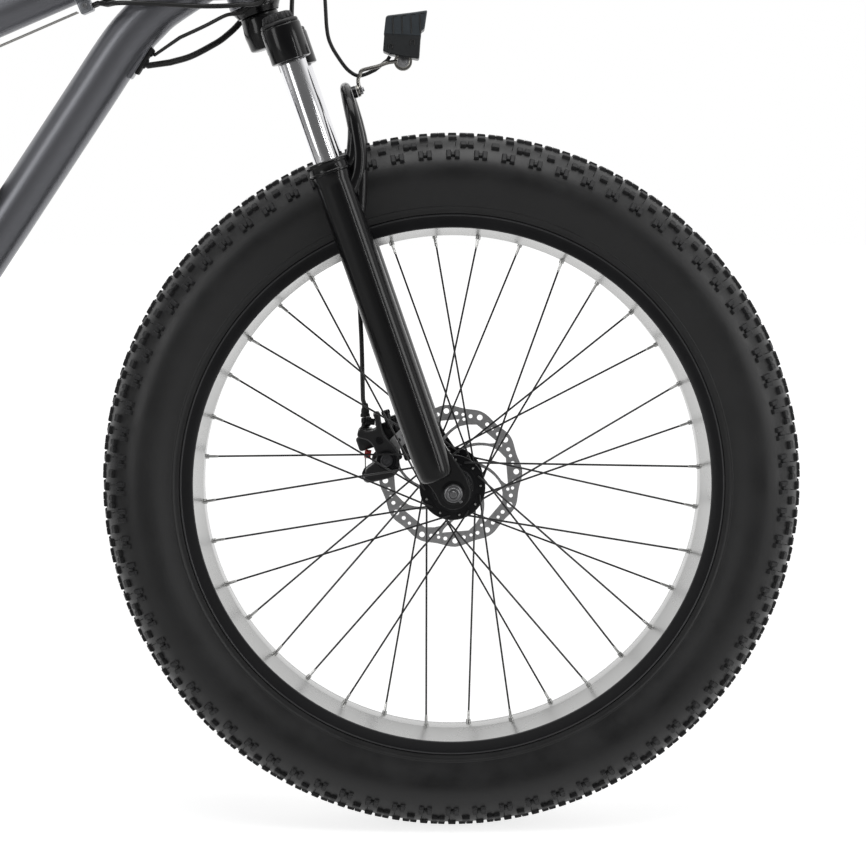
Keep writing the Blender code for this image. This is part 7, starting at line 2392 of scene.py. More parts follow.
@dataclass
class Cockpit:
    """Stem, bar, grips, throttle, lever mounts, levers, shifter and display."""

    bar_radius: float = 0.0111
    left_grip: float = 0.118
    right_grip: float = 0.0834

    def stem(self) -> None:
        """Add the stem with its cap and bolts."""
        shape = Shape("satin_black", "steel")
        axis = placed(STEER_FOOT, STEER_AXIS)
        clamp = mm((14.6, 692.7), (18.4, 692.7), (19, 693.3), (19, 748.4), (18.4, 749), (14.6, 749))
        cap = mm((0, 749.2), (17.2, 749.2), (17.6, 749.8), (17, 751.8), (12, 752.8), (0, 753))
        shape.turned(clamp, axis, 56, ring=True)
        shape.turned(cap, axis, 56)
        shape.bolt(fork(0.0, 0.0, 0.7526), STEER_AXIS, 0.0042, 0.0022, 1)
        bar = fork(BAR_FORWARD, 0.0, BAR_HEIGHT)
        shape.rod(fork(0.006, 0.0, 0.722), bar, 0.0152, 0, 40, 0.0145)
        shape.rod(bar - Y_AXIS * 0.023, bar + Y_AXIS * 0.023, 0.0195, 0, 56, bevel=0.0016)
        shape.block(fork(-0.019, 0.0, 0.7208), (0.01, 0.018, 0.046), FORK_AXES, 0.002)
        for side in (-1, 1):
            for rise in (-0.0125, 0.0125):
                spot = bar + FORK_FORWARD * 0.014 + STEER_AXIS * rise + Y_AXIS * side * 0.015
                shape.bolt(spot, FORK_FORWARD, 0.0033, 0.005, 1)
            shape.bolt(fork(-0.0195, -0.0088, 0.7208 + side * 0.014), -Y_AXIS, 0.0032, 0.0024, 1)
        shape.piece("stem_dressed", "steering", ["stem"])

    def bar(self) -> None:
        """Add the swept bar."""
        shape = Shape("satin_black")
        rises = mm((26, 752), (45, 752), (62, 758), (128, 791))
        left = [fork(BAR_FORWARD, y, s) for y, s in rises]
        left += [bar_at(Side.LEFT, BAR_BEND_Y), bar_at(Side.LEFT, 0.185), bar_point(Side.LEFT, 1.0)]
        right = [Vector((p.x, -p.y, p.z)) for p in left]
        shape.tube(smooth_route([*reversed(right), *left], 5), self.bar_radius, 0, None, 7)
        shape.piece("bar_dressed", "steering", ["handlebar"], smooth=40.0)

    def grip(self, side: Side, length: float) -> None:
        """Add one ribbed grip.

        Args:
            side: its side.
            length: how far it reaches in from the bar's end.
        """
        shape = Shape("soft_rubber")
        out = bar_axes(side)[0]
        profile = mm((0, 0), (15.8, 0), (16.5, 0.7), (16.5, 5), (15.2, 6))
        for rib in range(int((length - 0.0176) / 0.005) + 1):
            foot = 0.008 + 0.005 * rib
            profile += [
                (0.015, foot), (0.0157, foot + 0.0008), (0.0158, foot + 0.0028), (0.015, foot + 0.0036)
            ]
        profile += [
            (0.0152, length - 0.006), (0.0165, length - 0.005), (0.0165, length + 0.0028),
            (0.0158, length + 0.0038), (0.0, length + 0.004),
        ]
        shape.turned(profile, placed(bar_point(side, 1.0) - out * length, out), 44)
        shape.piece(f"grip_{side.word}_dressed", "steering", [f"grip_{side.word}"])

    def throttle(self) -> None:
        """Add the twist throttle inside the right grip."""
        shape = Shape("soft_rubber", "satin_black")
        out, _, up = bar_axes(Side.RIGHT)
        axes = hand_axes(Side.RIGHT)
        inner = bar_point(Side.RIGHT, 1.0) - out * 0.118
        profile = mm(
            (11.5, 0), (17.2, 0), (18, 0.8), (18, 6), (17.2, 7), (17, 30), (17.6, 32), (17.6, 33.5),
            (17, 34), (11.5, 34),
        )
        shape.turned(profile, placed(inner, out), 48, 1, True)
        lug = inner + out * 0.017 + up * 0.0161
        shape.block(lug, (0.02, 0.008, 0.01), axes, 0.0022, 0, 3)
        for index in range(4):
            ridge = lug + out * (index * 0.004 - 0.006) + up * 0.0048
            shape.block(ridge, (0.0014, 0.0064, 0.001), axes, 0.0002, 0, 1)
        shape.piece("throttle_dressed", "twist", ["throttle"])

    def mount(self, side: Side) -> None:
        """Add one lever's mount, with the shifter's housing on the right.

        Args:
            side: its side.
        """
        shape = Shape("cast_black", "steel")
        out, ahead, up = bar_axes(side)
        axes = hand_axes(side)
        centre = bar_at(side, LEVER_Y)
        ring = mm((11.4, -8), (15.8, -8), (16.5, -7.3), (16.5, 7.3), (15.8, 8), (11.4, 8))
        shape.turned(ring, placed(centre, out), 44, ring=True)
        shape.block(centre + ahead * 0.0165 - up * 0.004, (0.014, 0.012, 0.016), axes, 0.0025, 0, 3)
        hub = lever_pivot(side)
        for sign in (-1, 1):
            low, high = hub + up * sign * 0.0052, hub + up * sign * 0.0082
            shape.rod(low, high, 0.0075, 0, 32, bevel=0.0005)
            plate = hub - ahead * 0.007 + up * sign * 0.0067
            shape.block(plate, (0.012, 0.014, 0.003), axes, 0.0008)
        base = hub - out * 0.022 - ahead * 0.004
        shape.rod(base - out * 0.006, base + out * 0.014, 0.0044, 1, 24, bevel=0.0004)
        for index in range(3):
            knurl = base - out * (0.005 - 0.004 * index)
            shape.rod(knurl, knurl + out * 0.0026, 0.0052, 0, 18, bevel=0.0003)
        shape.bolt(centre - up * 0.0155 - ahead * 0.004, -up, 0.003, 0.0022, 1)
        if side is Side.RIGHT:
            pod = centre - up * 0.0245 - out * 0.01
            shape.block(pod, (0.034, 0.026, 0.018), axes, 0.0045, 0, 4)
            shape.block(centre - up * 0.015, (0.012, 0.014, 0.012), axes, 0.002)
            shape.bolt(pod - up * 0.0088 + ahead * 0.007, -up, 0.0028, 0.001, 1)
        shape.piece(f"mount_{side.word}", "steering", [f"lever_mount_{side.word}"])

    def brake_lever(self, side: Side) -> None:
        """Add one brake lever with its pin and its ball end.

        Args:
            side: its side.
        """
        shape = Shape("cast_black", "steel")
        out, ahead, up = bar_axes(side)
        hub = lever_pivot(side)
        shape.rod(hub - up * 0.0047, hub + up * 0.0047, 0.007, 0, 36, bevel=0.0006)
        shape.rod(hub - up * 0.0086, hub + up * 0.0086, 0.0019, 1, 16, bevel=0.0003)
        spots = mm((0, 0), (18, 10), (45, 24), (80, 32), (112, 36))
        route = smooth_route([hub + out * far + ahead * fore for far, fore in spots], 6)
        swell = [1.15 - 0.3 * math.sin(math.pi * i / (len(route) - 1)) for i in range(len(route))]
        shape.tube(route, 0.0043, 0, swell, 6)
        shape.ball(route[-1], (0.0062, 0.0062, 0.0056), hand_axes(side), 0)
        shape.piece(f"lever_{side.word}", f"{side.word}_lever", [f"brake_lever_{side.word}"])

    def shift_lever(self) -> None:
        """Add the shifter's thumb lever."""
        shape = Shape("satin_black", "steel")
        out, ahead, up = bar_axes(Side.RIGHT)
        hub = bar_at(Side.RIGHT, LEVER_Y) - up * 0.0358 - out * 0.01
        shape.rod(hub - up * 0.002, hub + up * 0.002, 0.009, 0, 36, bevel=0.0005)
        shape.bolt(hub - up * 0.0019, -up, 0.0036, 0.0008, 1)
        paddle = hub + out * 0.02 - ahead * 0.006
        shape.block(paddle, (0.034, 0.012, 0.0034), hand_axes(Side.RIGHT), 0.0014, 0, 3)
        for index in range(5):
            ridge = paddle + out * (0.002 + 0.0026 * index) - up * 0.0016
            shape.block(ridge, (0.001, 0.008, 0.0008), hand_axes(Side.RIGHT), 0.0002, 0, 1)
        shape.piece("shift_paddle", "shifter", ["shift_lever"])

    def display(self) -> None:
        """Add the display with its dark screen, five plain bars and three keys."""
        shape = Shape("satin_black", "screen", "mark_white", "soft_rubber")
        grip = fork(BAR_FORWARD, 0.036, BAR_HEIGHT)
        ring = mm((11.4, -6), (15.4, -6), (16, -5.4), (16, 5.4), (15.4, 6), (11.4, 6))
        shape.turned(ring, placed(grip, Y_AXIS), 40, ring=True)
        shape.block(fork(BAR_FORWARD, 0.036, 0.776), (0.016, 0.012, 0.026), FORK_AXES, 0.002)
        centre = display_centre()
        up = DISPLAY_AXES.col[2]
        shape.block(centre, (0.052, 0.084, 0.014), DISPLAY_AXES, 0.004, 0, 4)
        face = centre + up * 0.0059
        shape.block(face + DISPLAY_AXES.col[0] * 0.004, (0.034, 0.062, 0.0012), DISPLAY_AXES, 0.0004, 1)
        for index in range(5):
            spot = face + DISPLAY_AXES @ Vector((0.014, 0.018 - 0.006 * index, 0.0005))
            shape.block(spot, (0.004, 0.0042, 0.0003), DISPLAY_AXES, 0.0, 2, 1)
        for y in (-0.02, 0.0, 0.02):
            key = face + DISPLAY_AXES @ Vector((-0.019, y, 0.0002))
            shape.block(key, (0.006, 0.012, 0.0014), DISPLAY_AXES, 0.0006, 3)
        shape.piece("display_dressed", "steering", ["display"])

    def build(self) -> None:
        """Make all of them."""
        self.stem()
        self.bar()
        self.grip(Side.LEFT, self.left_grip)
        self.grip(Side.RIGHT, self.right_grip)
        self.throttle()
        for side in Side:
            self.mount(side)
            self.brake_lever(side)
        self.shift_lever()
        self.display()


# Seat


def closed_route(points: Sequence[Vector]) -> list[Vector]:
    """Read points from a closed Catmull-Rom curve.

    Args:
        points: the route's own points, the first not repeated.

    Returns:
        The points once round the curve.
    """
    steps = 6
    route = smooth_route([points[-1], *points, points[0], points[1]], steps)
    return route[steps : steps * (len(points) + 1)]


def as_shown(thing: bpy.types.Object) -> bpy.types.Mesh:
    """Return a new mesh of what an object's modifiers make."""
    graph = bpy.context.evaluated_depsgraph_get()
    return bpy.data.meshes.new_from_object(thing.evaluated_get(graph))


def blow_up(form: bmesh.types.BMesh, reach: float, foot: float) -> bmesh.types.BMesh:
    """Fill a closed form as a stuffed cover, as cloth under pressure.

    Args:
        form: the form, a little smaller than the pad, which is used up.
        reach: the most that a point may move.
        foot: the height under which nothing sinks.

    Returns:
        The filled form.
    """
    scene = bpy.context.scene
    data = bpy.data.meshes.new("pad")
    form.to_mesh(data)
    form.free()
    pad = bpy.data.objects.new("pad", data)
    scene.collection.objects.link(pad)
    remesh = pad.modifiers.new("remesh", "REMESH")
    remesh.mode = "VOXEL"
    remesh.voxel_size = 0.0045
    pad.data = as_shown(pad)
    pad.modifiers.clear()
    cloth = pad.modifiers.new("cloth", "CLOTH")
    cloth.settings.use_pressure = True
    cloth.settings.uniform_pressure_force = 4.0
    cloth.settings.effector_weights.gravity = 0.0
    for number in range(1, 21):
        scene.frame_set(number)
    blown = as_shown(pad)
    pad.modifiers.clear()
    scene.frame_set(1)
    for vert, swollen in zip(pad.data.vertices, blown.vertices):
        move = swollen.co - vert.co
        if move.length > reach:
            move *= reach / move.length
        vert.co += move
        vert.co.z = max(vert.co.z, foot)
    filled = bmesh.new()
    filled.from_mesh(pad.data)
    bpy.data.objects.remove(pad)
    return filled


@dataclass
class Seat:
    """Clamp, post, saddle base on its rails, and the stuffed cushion."""

    half_length: float = 0.135
    half_width: float = 0.09
    post_radius: float = 0.0136

    def middle(self) -> Vector:
        """Return the place where the rails are held."""
        top = seat_line(POST_TOP)
        return Vector((top.x, 0.0, top.z + 0.0103))

    def outline(self, scale: float, height: float) -> list[Vector]:
        """Return the saddle's outline, seen from above.

        Args:
            scale: its size against the cushion's widest row.
            height: its height.

        Returns:
            The points once round it.
        """
        half = [(-1.0, 0.3), (-0.86, 0.85), (-0.55, 1.0), (-0.15, 0.62), (0.25, 0.3), (0.8, 0.24),
                (1.0, 0.1)]
        spots = half + [(x, -y) for x, y in reversed(half)]
        middle = self.middle().x + 0.005
        return closed_route([
            Vector((middle + x * self.half_length * scale, y * self.half_width * scale, height))
            for x, y in spots
        ])

    def clamp_and_post(self) -> None:
        """Add the clamp round the seat tube's mouth, and the post."""
        shape = Shape("satin_black", "steel")
        profile = mm((13.9, 0.3), (19.9, 0.3), (20.5, 1), (20.5, 12.5), (19.9, 13.2), (13.9, 13.2))
        shape.turned(profile, placed(seat_line(SEAT_LENGTH), SEAT_ALONG), 48, ring=True)
        lug = seat_line(0.467) - X_AXIS * 0.0225
        shape.block(lug, (0.012, 0.016, 0.012), None, 0.0018)
        shape.bolt(lug - Y_AXIS * 0.0078, -Y_AXIS, 0.0034, 0.003, 1)
        shape.piece("clamp_dressed", "frame", ["seat_clamp"])
        shape = Shape("satin_black", "steel")
        shape.rod(seat_line(0.27), seat_line(POST_TOP), self.post_radius, 0, 48, bevel=0.0006)
        head = seat_line(POST_TOP) + Z_AXIS * 0.002
        shape.block(head, (0.052, 0.036, 0.016), None, 0.004, 0, 4)
        for x in (-0.019, 0.019):
            shape.bolt(head + Vector((x, 0.0, -0.0078)), -Z_AXIS, 0.0034, 0.0036, 1)
        shape.piece("post_dressed", "seat", ["seat_post"])

    def base(self) -> None:
        """Add the pan, its rails and the yoke that holds them."""
        shape = Shape("satin_black", "steel")
        x, z = self.middle().x, self.middle().z
        for side in (-1, 1):
            spots = mm(
                (-85, 41.8, 34), (-60, 30.8, 12), (-35, 22, 3.6), (45, 22, 3.6), (80, 15.4, 14),
                (120, 5.5, 34),
            )
            route = smooth_route([Vector((x + a, side * b, z + c)) for a, b, c in spots], 6)
            shape.tube(route, 0.0035, 1, None, 6)
        shape.block(Vector((x, 0.0, z + 0.003)), (0.044, 0.06, 0.006), None, 0.0018)
        pan = [(p.x, p.y) for p in self.outline(0.9, 0.0)]
        shape.plate([pan], 0.006, Matrix.Translation((0.0, 0.0, z + 0.036)), 0, 0.0014)
        shape.piece("saddle_pan", "seat", ["saddle_base"])

    def cushion(self) -> None:
        """Add the cushion: a stuffed cover with a relief channel, piping and a base edge."""
        foot = self.middle().z + 0.0395
        form = bmesh.new()
        rows = []
        for scale, rise in ((0.92, 0.0), (0.975, 0.01), (0.955, 0.024), (0.79, 0.037), (0.46, 0.043)):
            row = [form.verts.new(p) for p in self.outline(scale, foot + rise)]
            for a, b in zip(row, row[1:] + row[:1]):
                form.edges.new((a, b))
            rows.append(row)
        bmesh.ops.bridge_loops(form, edges=form.edges[:])
        for row in (rows[0], rows[-1]):
            form.faces.new(row)
        bmesh.ops.recalc_face_normals(form, faces=form.faces)
        filled = blow_up(form, 0.0055, foot)
        middle = self.middle().x
        for vert in filled.verts:
            along = max(0.0, 1.0 - ((vert.co.x - middle + 0.005) / 0.11) ** 2)
            crest = max(0.0, min(1.0, (vert.co.z - foot - 0.022) / 0.012))
            vert.co.z -= 0.0048 * along * crest * math.exp(-((vert.co.y / 0.0085) ** 2))
        bmesh.ops.smooth_vert(
            filled, verts=filled.verts, factor=0.4, use_axis_x=True, use_axis_y=True, use_axis_z=True
        )
        shape = Shape("vinyl")
        shape.take(filled)
        tree = self.surface(shape)
        cover = shape.piece("cushion_cover", "seat", ["saddle_cushion"], smooth=80.0)
        fine = cover.modifiers.new("fine", "SUBSURF")
        fine.levels = 1
        fine.render_levels = 1
        self.trim(tree, foot)

    def surface(self, shape: Shape) -> BVHTree:
        """Return a tree of the cover's faces, for finding places on it."""
        return BVHTree.FromBMesh(shape.mesh)

    def trim(self, tree: BVHTree, foot: float) -> None:
        """Add the piping round the cover and two sewn rows beside the channel.

        Args:
            tree: the cover's faces.
            foot: the height of the cushion's foot.
        """
        shape = Shape("soft_rubber", "thread")
        piping = [tree.find_nearest(p)[0] for p in self.outline(1.02, foot + 0.02)]
        shape.tube(piping, 0.0013, 0, None, 3, closed=True)
        middle = self.middle().x
        for side in (-1, 1):
            for index in range(34):
                x = middle - 0.1 + 0.0058 * index
                ends = []
                for shift in (0.0, 0.0036):
                    hit = tree.ray_cast(Vector((x + shift, side * 0.0125, foot + 0.1)), -Z_AXIS)[0]
                    ends.append(hit)
                if all(ends):
                    lift = Z_AXIS * 0.0002
                    shape.rod(ends[0] + lift, ends[1] + lift, 0.00045, 1, 6)
        shape.piece("cushion_trim", "seat")

    def build(self) -> None:
        """Make the seat."""
        self.clamp_and_post()
        self.base()
        self.cushion()


# Battery


@dataclass
class Battery:
    """Pack that slides on a rail on top of the down tube."""

    distance: float = 0.2475

    def at(self, along: float, y: float, above: float) -> Vector:
        """Return a point from the middle of the pack."""
        return down_line(self.distance, 0.0713) + DOWN_AXES @ Vector((along, y, above))

    def build(self) -> None:
        """Make the rail and the pack."""
        shape = Shape("satin_black", "steel")
        rail = down_line(self.distance, 0.027)
        shape.block(rail, (0.269, 0.04, 0.02), DOWN_AXES, 0.003, 0, 3)
        for along in (-0.095, 0.0, 0.095):
            for side in (-1, 1):
                spot = rail + DOWN_ALONG * along + Y_AXIS * side * 0.0195
                shape.bolt(spot, Y_AXIS * side, 0.003, 0.0014, 1)
        shape.piece("rail_dressed", "frame", ["battery_rail"])
        shape = Shape("pack_black", "steel", "soft_rubber", "gloss_black", "mark_white")
        shape.block(self.at(0.0, 0.0, 0.0), (0.285, 0.086, 0.068), DOWN_AXES, 0.011, 0, 5)
        for side in (-1, 1):
            for above in (-0.018, -0.012, -0.006):
                low, high = self.at(-0.112, side * 0.0427, above), self.at(0.112, side * 0.0427, above)
                shape.rod(low, high, 0.0012, 0, 10)
            shape.block(self.at(0.0, side * 0.0427, 0.01), (0.236, 0.0012, 0.015), DOWN_AXES, 0.0005, 3)
        lock = self.at(0.118, -0.0425, -0.02)
        shape.rod(lock, lock - Y_AXIS * 0.003, 0.008, 1, 32, bevel=0.0006)
        shape.block(lock - Y_AXIS * 0.003, (0.0012, 0.0008, 0.007), DOWN_AXES, 0.0, 2, 1)
        shape.block(self.at(-0.112, 0.0425, -0.02), (0.022, 0.0024, 0.014), DOWN_AXES, 0.001, 2)
        half = ((0.133, 0.026, 0.024), (0.138, 0.026, 0.03), (0.1385, 0.014, 0.032))
        handle = [self.at(x, -y, z) for x, y, z in half] + [self.at(*spot) for spot in half[::-1]]
        shape.tube(smooth_route(handle, 5), 0.0028, 2, None, 5)
        for index in range(4):
            mark = self.at(0.098 - 0.009 * index, 0.0, 0.034)
            shape.rod(mark, mark + DOWN_ABOVE * 0.0004, 0.0018, 4, 16)
        shape.piece("pack_dressed", "battery", ["battery_pack"])


# Rear wheel


@dataclass
class RearWheel:
    """Wheel with a hub motor, its spokes and its disc."""

    count: int = 18
    foot_radius: float = 0.084
    foot_y: float = 0.033
    lean: float = math.radians(8.0)

    def motor(self) -> None:
        """Add the motor's shell with its cover screws, and the spokes."""
        shape = Shape("cast_black", "steel", "spoke_black", "nipple")
        place = wheel_frame(REAR_AXLE)
        profile = mm(
            (6.3, 73), (16.1, 73), (16.5, 72.6), (16.5, 68.8), (22.1, 68.8), (22.5, 68.4), (22.5, 54.5),
            (24, 53.6), (57, 50.2), (59, 49.6), (77, 40.5), (78.5, 39.7), (87.2, 36.1), (88, 35.5),
            (88, 30.6), (87.2, 29.8), (80, 27), (78.5, 25.5), (78, 0), (78.5, -25.5), (80, -27),
            (87.2, -29.8), (88, -30.6), (88, -35.5), (87.2, -36.1), (78.5, -39.7), (77, -40.5), (59, -49.6),
            (57, -50.2), (21, -52), (20, -52.6), (20, -59.5), (6.3, -59.5),
        )
        shape.turned(profile, place, 96, ring=True)
        for side in (-1, 1):
            for index in range(10):
                spot = polar(0.068, 36.0 * index + 9.0)
                foot = place @ Vector((*spot, side * 0.0445))
                shape.bolt(foot, Y_AXIS * side, 0.003, 0.0022, 1)
            self.spokes(shape, place, side)
        for index in range(6):
            spot = polar(0.0205, 60.0 * index)
            shape.bolt(place @ Vector((*spot, 0.0709)), Y_AXIS, 0.0028, 0.0016, 1)
        shape.piece("motor_dressed", "rear_wheel", ["rear_hub_motor"], smooth=28.0)

    def spokes(self, shape: Shape, place: Matrix, side: int) -> None:
        """Add one flange's spokes.

        Args:
            shape: what they are added to.
            place: the wheel's frame.
            side: the sign of Y on their side.
        """
        for index in range(self.count):
            angle = math.radians(20.0 * index + (10.0 if side > 0 else 0.0))
            hub_angle = angle + self.lean * (1 if index % 2 else -1)
            low = Vector((math.cos(hub_angle), math.sin(hub_angle), 0.0)) * self.foot_radius
            high = Vector((math.cos(angle), math.sin(angle), 0.0)) * RIM_SEAT
            foot = place @ (low + Z_AXIS * side * self.foot_y)
            seat = place @ (high + Z_AXIS * side * SPOKE_SPREAD)
            way = (seat - foot).normalized()
            shape.rod(foot, seat - way * 0.004, 0.0012, 2, 8)
            shape.rod(seat + way * 0.001, seat - way * 0.003, 0.0026, 3, 10)
            shape.rod(seat - way * 0.0028, seat - way * 0.0112, 0.0017, 3, 8, 0.0015)

    def build(self) -> None:
        """Make the wheel and what holds it in the frame."""
        Tyre(REAR_AXLE, "rear_tyre", "rear_wheel").build()
        Rim(REAR_AXLE, "rear_rim", "rear_wheel").build()
        self.motor()
        BrakeDisc(REAR_AXLE, 0.07, "rear_brake_disc", "rear_wheel", "rear_disc_steel").build()
        shape = Shape("steel", "dark_steel")
        shape.rod(REAR_AXLE - Y_AXIS * 0.1113, REAR_AXLE + Y_AXIS * 0.1113, 0.006, 0, 32, bevel=0.0006)
        for side in (-1, 1):
            out = Y_AXIS * side
            low = REAR_AXLE + out * 0.0953
            shape.rod(low, low + out * 0.0018, 0.0115, 1, 40, bevel=0.0003)
            shape.rod(low + out * 0.0018, low + out * 0.01, 0.0104, 0, 6, bevel=0.0006)
        shape.piece("rear_axle_dressed", "frame", ["rear_axle"])
        self.caliper()

    def caliper(self) -> None:
        """Add the caliper that straddles the rear disc."""
        shape = Shape("cast_black", "steel", "dark_steel")
        outward, across, up = (REAR_CALIPER_AXES.col[i] for i in range(3))
        for y in (-0.0078, 0.0078):
            shape.block(REAR_CALIPER + across * y, (0.0398, 0.0112, 0.0356), REAR_CALIPER_AXES, 0.003, 0, 4)
        shape.block(REAR_CALIPER + outward * 0.0155, (0.0086, 0.02, 0.03), REAR_CALIPER_AXES, 0.0016)
        for rise in (-0.013, 0.013):
            foot = REAR_CALIPER + across * 0.0132 + up * rise + outward * 0.012
            shape.bolt(foot, across, 0.0032, 0.0026, 1)
        cap = placed(REAR_CALIPER + across * 0.0132 - outward * 0.003, across)
        profile = mm((0, 0), (10.5, 0), (11, 0.6), (10.2, 1.6), (6, 1.8), (5.6, 1), (0, 1))
        shape.turned(profile, cap, 40, 2)
        exit_place = REAR_CALIPER + outward * 0.015
        shape.rod(exit_place, exit_place + outward * 0.0052, 0.0044, 1, 24, bevel=0.0004)
        shape.piece("rear_caliper_dressed", "frame", ["rear_caliper"])


# Drive


def toothed(teeth: int, root: float, tip: float) -> list[tuple[float, float]]:
    """Return a sprocket's outline.

    Args:
        teeth: how many teeth it has.
        root: the radius between them.
        tip: the radius at their tips.

    Returns:
        The points once round it.
    """
    flank = root + (tip - root) * 0.55
    steps = ((0.08, root), (0.3, flank), (0.44, tip), (0.56, tip), (0.7, flank), (0.92, root))
    return [
        polar(radius, 360.0 * (tooth + share) / teeth)
        for tooth in range(teeth)
        for share, radius in steps
    ]


@dataclass
class Drive:
    """Cranks, pedals, sprockets, chain and derailleur."""

    chain_line: float = 0.072
    crank_length: float = 0.17
    ring_teeth: int = 44
    pulley_radius: float = 0.02
    guide: tuple[float, float] = (-0.577, 0.284)
    tension: tuple[float, float] = (-0.556, 0.212)
    link_pitch: float = 0.0127

    def pitch_radius(self, teeth: int) -> float:
        """Return the radius that the chain's pins lie on."""
        return teeth * self.link_pitch / math.tau

    def plane(self, centre: Vector, y: float) -> Matrix:
        """Return a frame seen from the right, at a distance across."""
        return side_on(Vector((centre.x, y, centre.z)))

    def arm(self, shape: Shape, side: Side) -> None:
        """Add one crank arm with its hub and its eye.

        Args:
            shape: what it is added to.
            side: its side.
        """
        sign = side.value
        start = BRACKET + Y_AXIS * sign * 0.088
        end = BRACKET - X_AXIS * sign * self.crank_length + Y_AXIS * sign * CRANK_EYE_Y
        along = (end - start).normalized()
        far = (end - start).length
        outline = [polar(0.0165, a) for a in range(60, 301, 15)]
        outline += [(far + x, y) for x, y in (polar(0.013, a) for a in range(-90, 91, 15))]
        axes = Matrix((along, Z_AXIS, along.cross(Z_AXIS))).transposed()
        shape.plate([outline], 0.0115, Matrix.Translation(start) @ axes.to_4x4(), 0, 0.002)
        shape.rod(end - Y_AXIS * 0.006, end + Y_AXIS * 0.006, 0.014, 0, 40, bevel=0.0008)

    def cranks(self) -> None:
        """Add both cranks, the right one with its chainring."""
        shape = Shape("satin_black", "steel", "dark_steel")
        shape.rod(BRACKET - Y_AXIS * 0.0665, BRACKET - Y_AXIS * 0.096, 0.0175, 0, 48, bevel=0.001)
        self.arm(shape, Side.RIGHT)
        windows = []
        for quarter in range(4):
            base = 45.0 + 90.0 * quarter
            low = [polar(0.038, base + a) for a in range(-24, 25, 6)]
            high = [polar(0.07, base + a) for a in range(34, -35, -4)]
            windows.append(low + high)
        radius = self.pitch_radius(self.ring_teeth)
        rim = toothed(self.ring_teeth, radius - 0.004, radius + 0.003)
        place = self.plane(BRACKET, -self.chain_line)
        shape.plate([rim, *windows], 0.0026, place, 2, 0.0003)
        for quarter in range(4):
            spot = polar(0.056, 90.0 * quarter)
            foot = BRACKET + Vector((spot[0], -0.0733, spot[1]))
            shape.bolt(foot, -Y_AXIS, 0.0046, 0.0022, 1)
        shape.bolt(BRACKET - Y_AXIS * 0.0958, -Y_AXIS, 0.009, 0.0026, 1)
        shape.piece("crank_and_ring", "cranks", ["crank_right"])
        shape = Shape("satin_black", "steel")
        shape.rod(BRACKET - Y_AXIS * 0.066, BRACKET + Y_AXIS * 0.07, 0.0095, 1, 32)
        shape.rod(BRACKET + Y_AXIS * 0.056, BRACKET + Y_AXIS * 0.096, 0.0175, 0, 48, bevel=0.001)
        self.arm(shape, Side.LEFT)
        shape.bolt(BRACKET + Y_AXIS * 0.0958, Y_AXIS, 0.009, 0.0026, 1)
        shape.piece("crank_and_spindle", "cranks", ["crank_left"])

    def pedal(self, side: Side) -> None:
        """Add one platform pedal with pins and reflectors.

        Args:
            side: its side.
        """
        shape = Shape("satin_black", "steel", "reflector_amber")
        out = Y_AXIS * side.value
        eye = BRACKET - X_AXIS * side.value * self.crank_length + out * CRANK_EYE_Y
        shape.rod(eye - out * 0.0065, eye + out * 0.108, 0.006, 1, 24, bevel=0.0005)
        shape.rod(eye + out * 0.0063, eye + out * 0.012, 0.0095, 1, 6, bevel=0.0006)
        centre = eye + out * 0.064
        corner = 0.01
        rim = []
        for sx, sy, first in ((1, 1, 0), (-1, 1, 90), (-1, -1, 180), (1, -1, 270)):
            for step in range(0, 91, 18):
                x, y = polar(corner, first + step)
                rim.append((sx * (0.046 - corner) + x, sy * (0.049 - corner) + y))
        holes = [
            [(x - 0.012, -0.033), (x + 0.012, -0.033), (x + 0.012, 0.033), (x - 0.012, 0.033)]
            for x in (-0.026, 0.026)
        ]
        shape.plate([rim, *holes], 0.018, Matrix.Translation(centre), 0, 0.0016)
        shape.rod(centre - out * 0.048, centre + out * 0.048, 0.0094, 0, 28, bevel=0.001)
        for x in (-0.0415, 0.0415):
            for y in (-0.036, -0.012, 0.012, 0.036):
                spot = centre + Vector((x, y, 0.0))
                shape.rod(spot - Z_AXIS * 0.01, spot + Z_AXIS * 0.01, 0.0016, 1, 8)
            face = centre + X_AXIS * math.copysign(0.0452, x)
            shape.block(face, (0.0012, 0.05, 0.01), None, 0.0004, 2)
        shape.piece(f"platform_{side.word}", f"{side.word}_pedal", [f"pedal_{side.word}"])

    def sprockets(self) -> None:
        """Add the freewheel's five sprockets on their body."""
        shape = Shape("cog_steel", "dark_steel")
        for teeth, y in ((28, -0.0624), (24, -0.0672), (20, -0.072), (17, -0.0768), (14, -0.0816)):
            radius = self.pitch_radius(teeth)
            outlines = [toothed(teeth, radius - 0.0036, radius + 0.002)]
            if teeth > 18:
                reach = (radius + 0.015) / 2
                outlines += [ring_points(0.0042, 14, polar(reach, 60.0 * i)) for i in range(6)]
            shape.plate(outlines, 0.0019, self.plane(REAR_AXLE, y), 0, 0.0003)
        body = mm((6.3, 59.8), (18.6, 59.8), (19, 60.2), (19, 83.2), (18.6, 83.6), (6.3, 83.6))
        shape.turned([(r, -y) for r, y in body], placed(REAR_AXLE, Y_AXIS), 44, 1, True)
        shape.piece("freewheel_dressed", "sprockets", ["freewheel"])

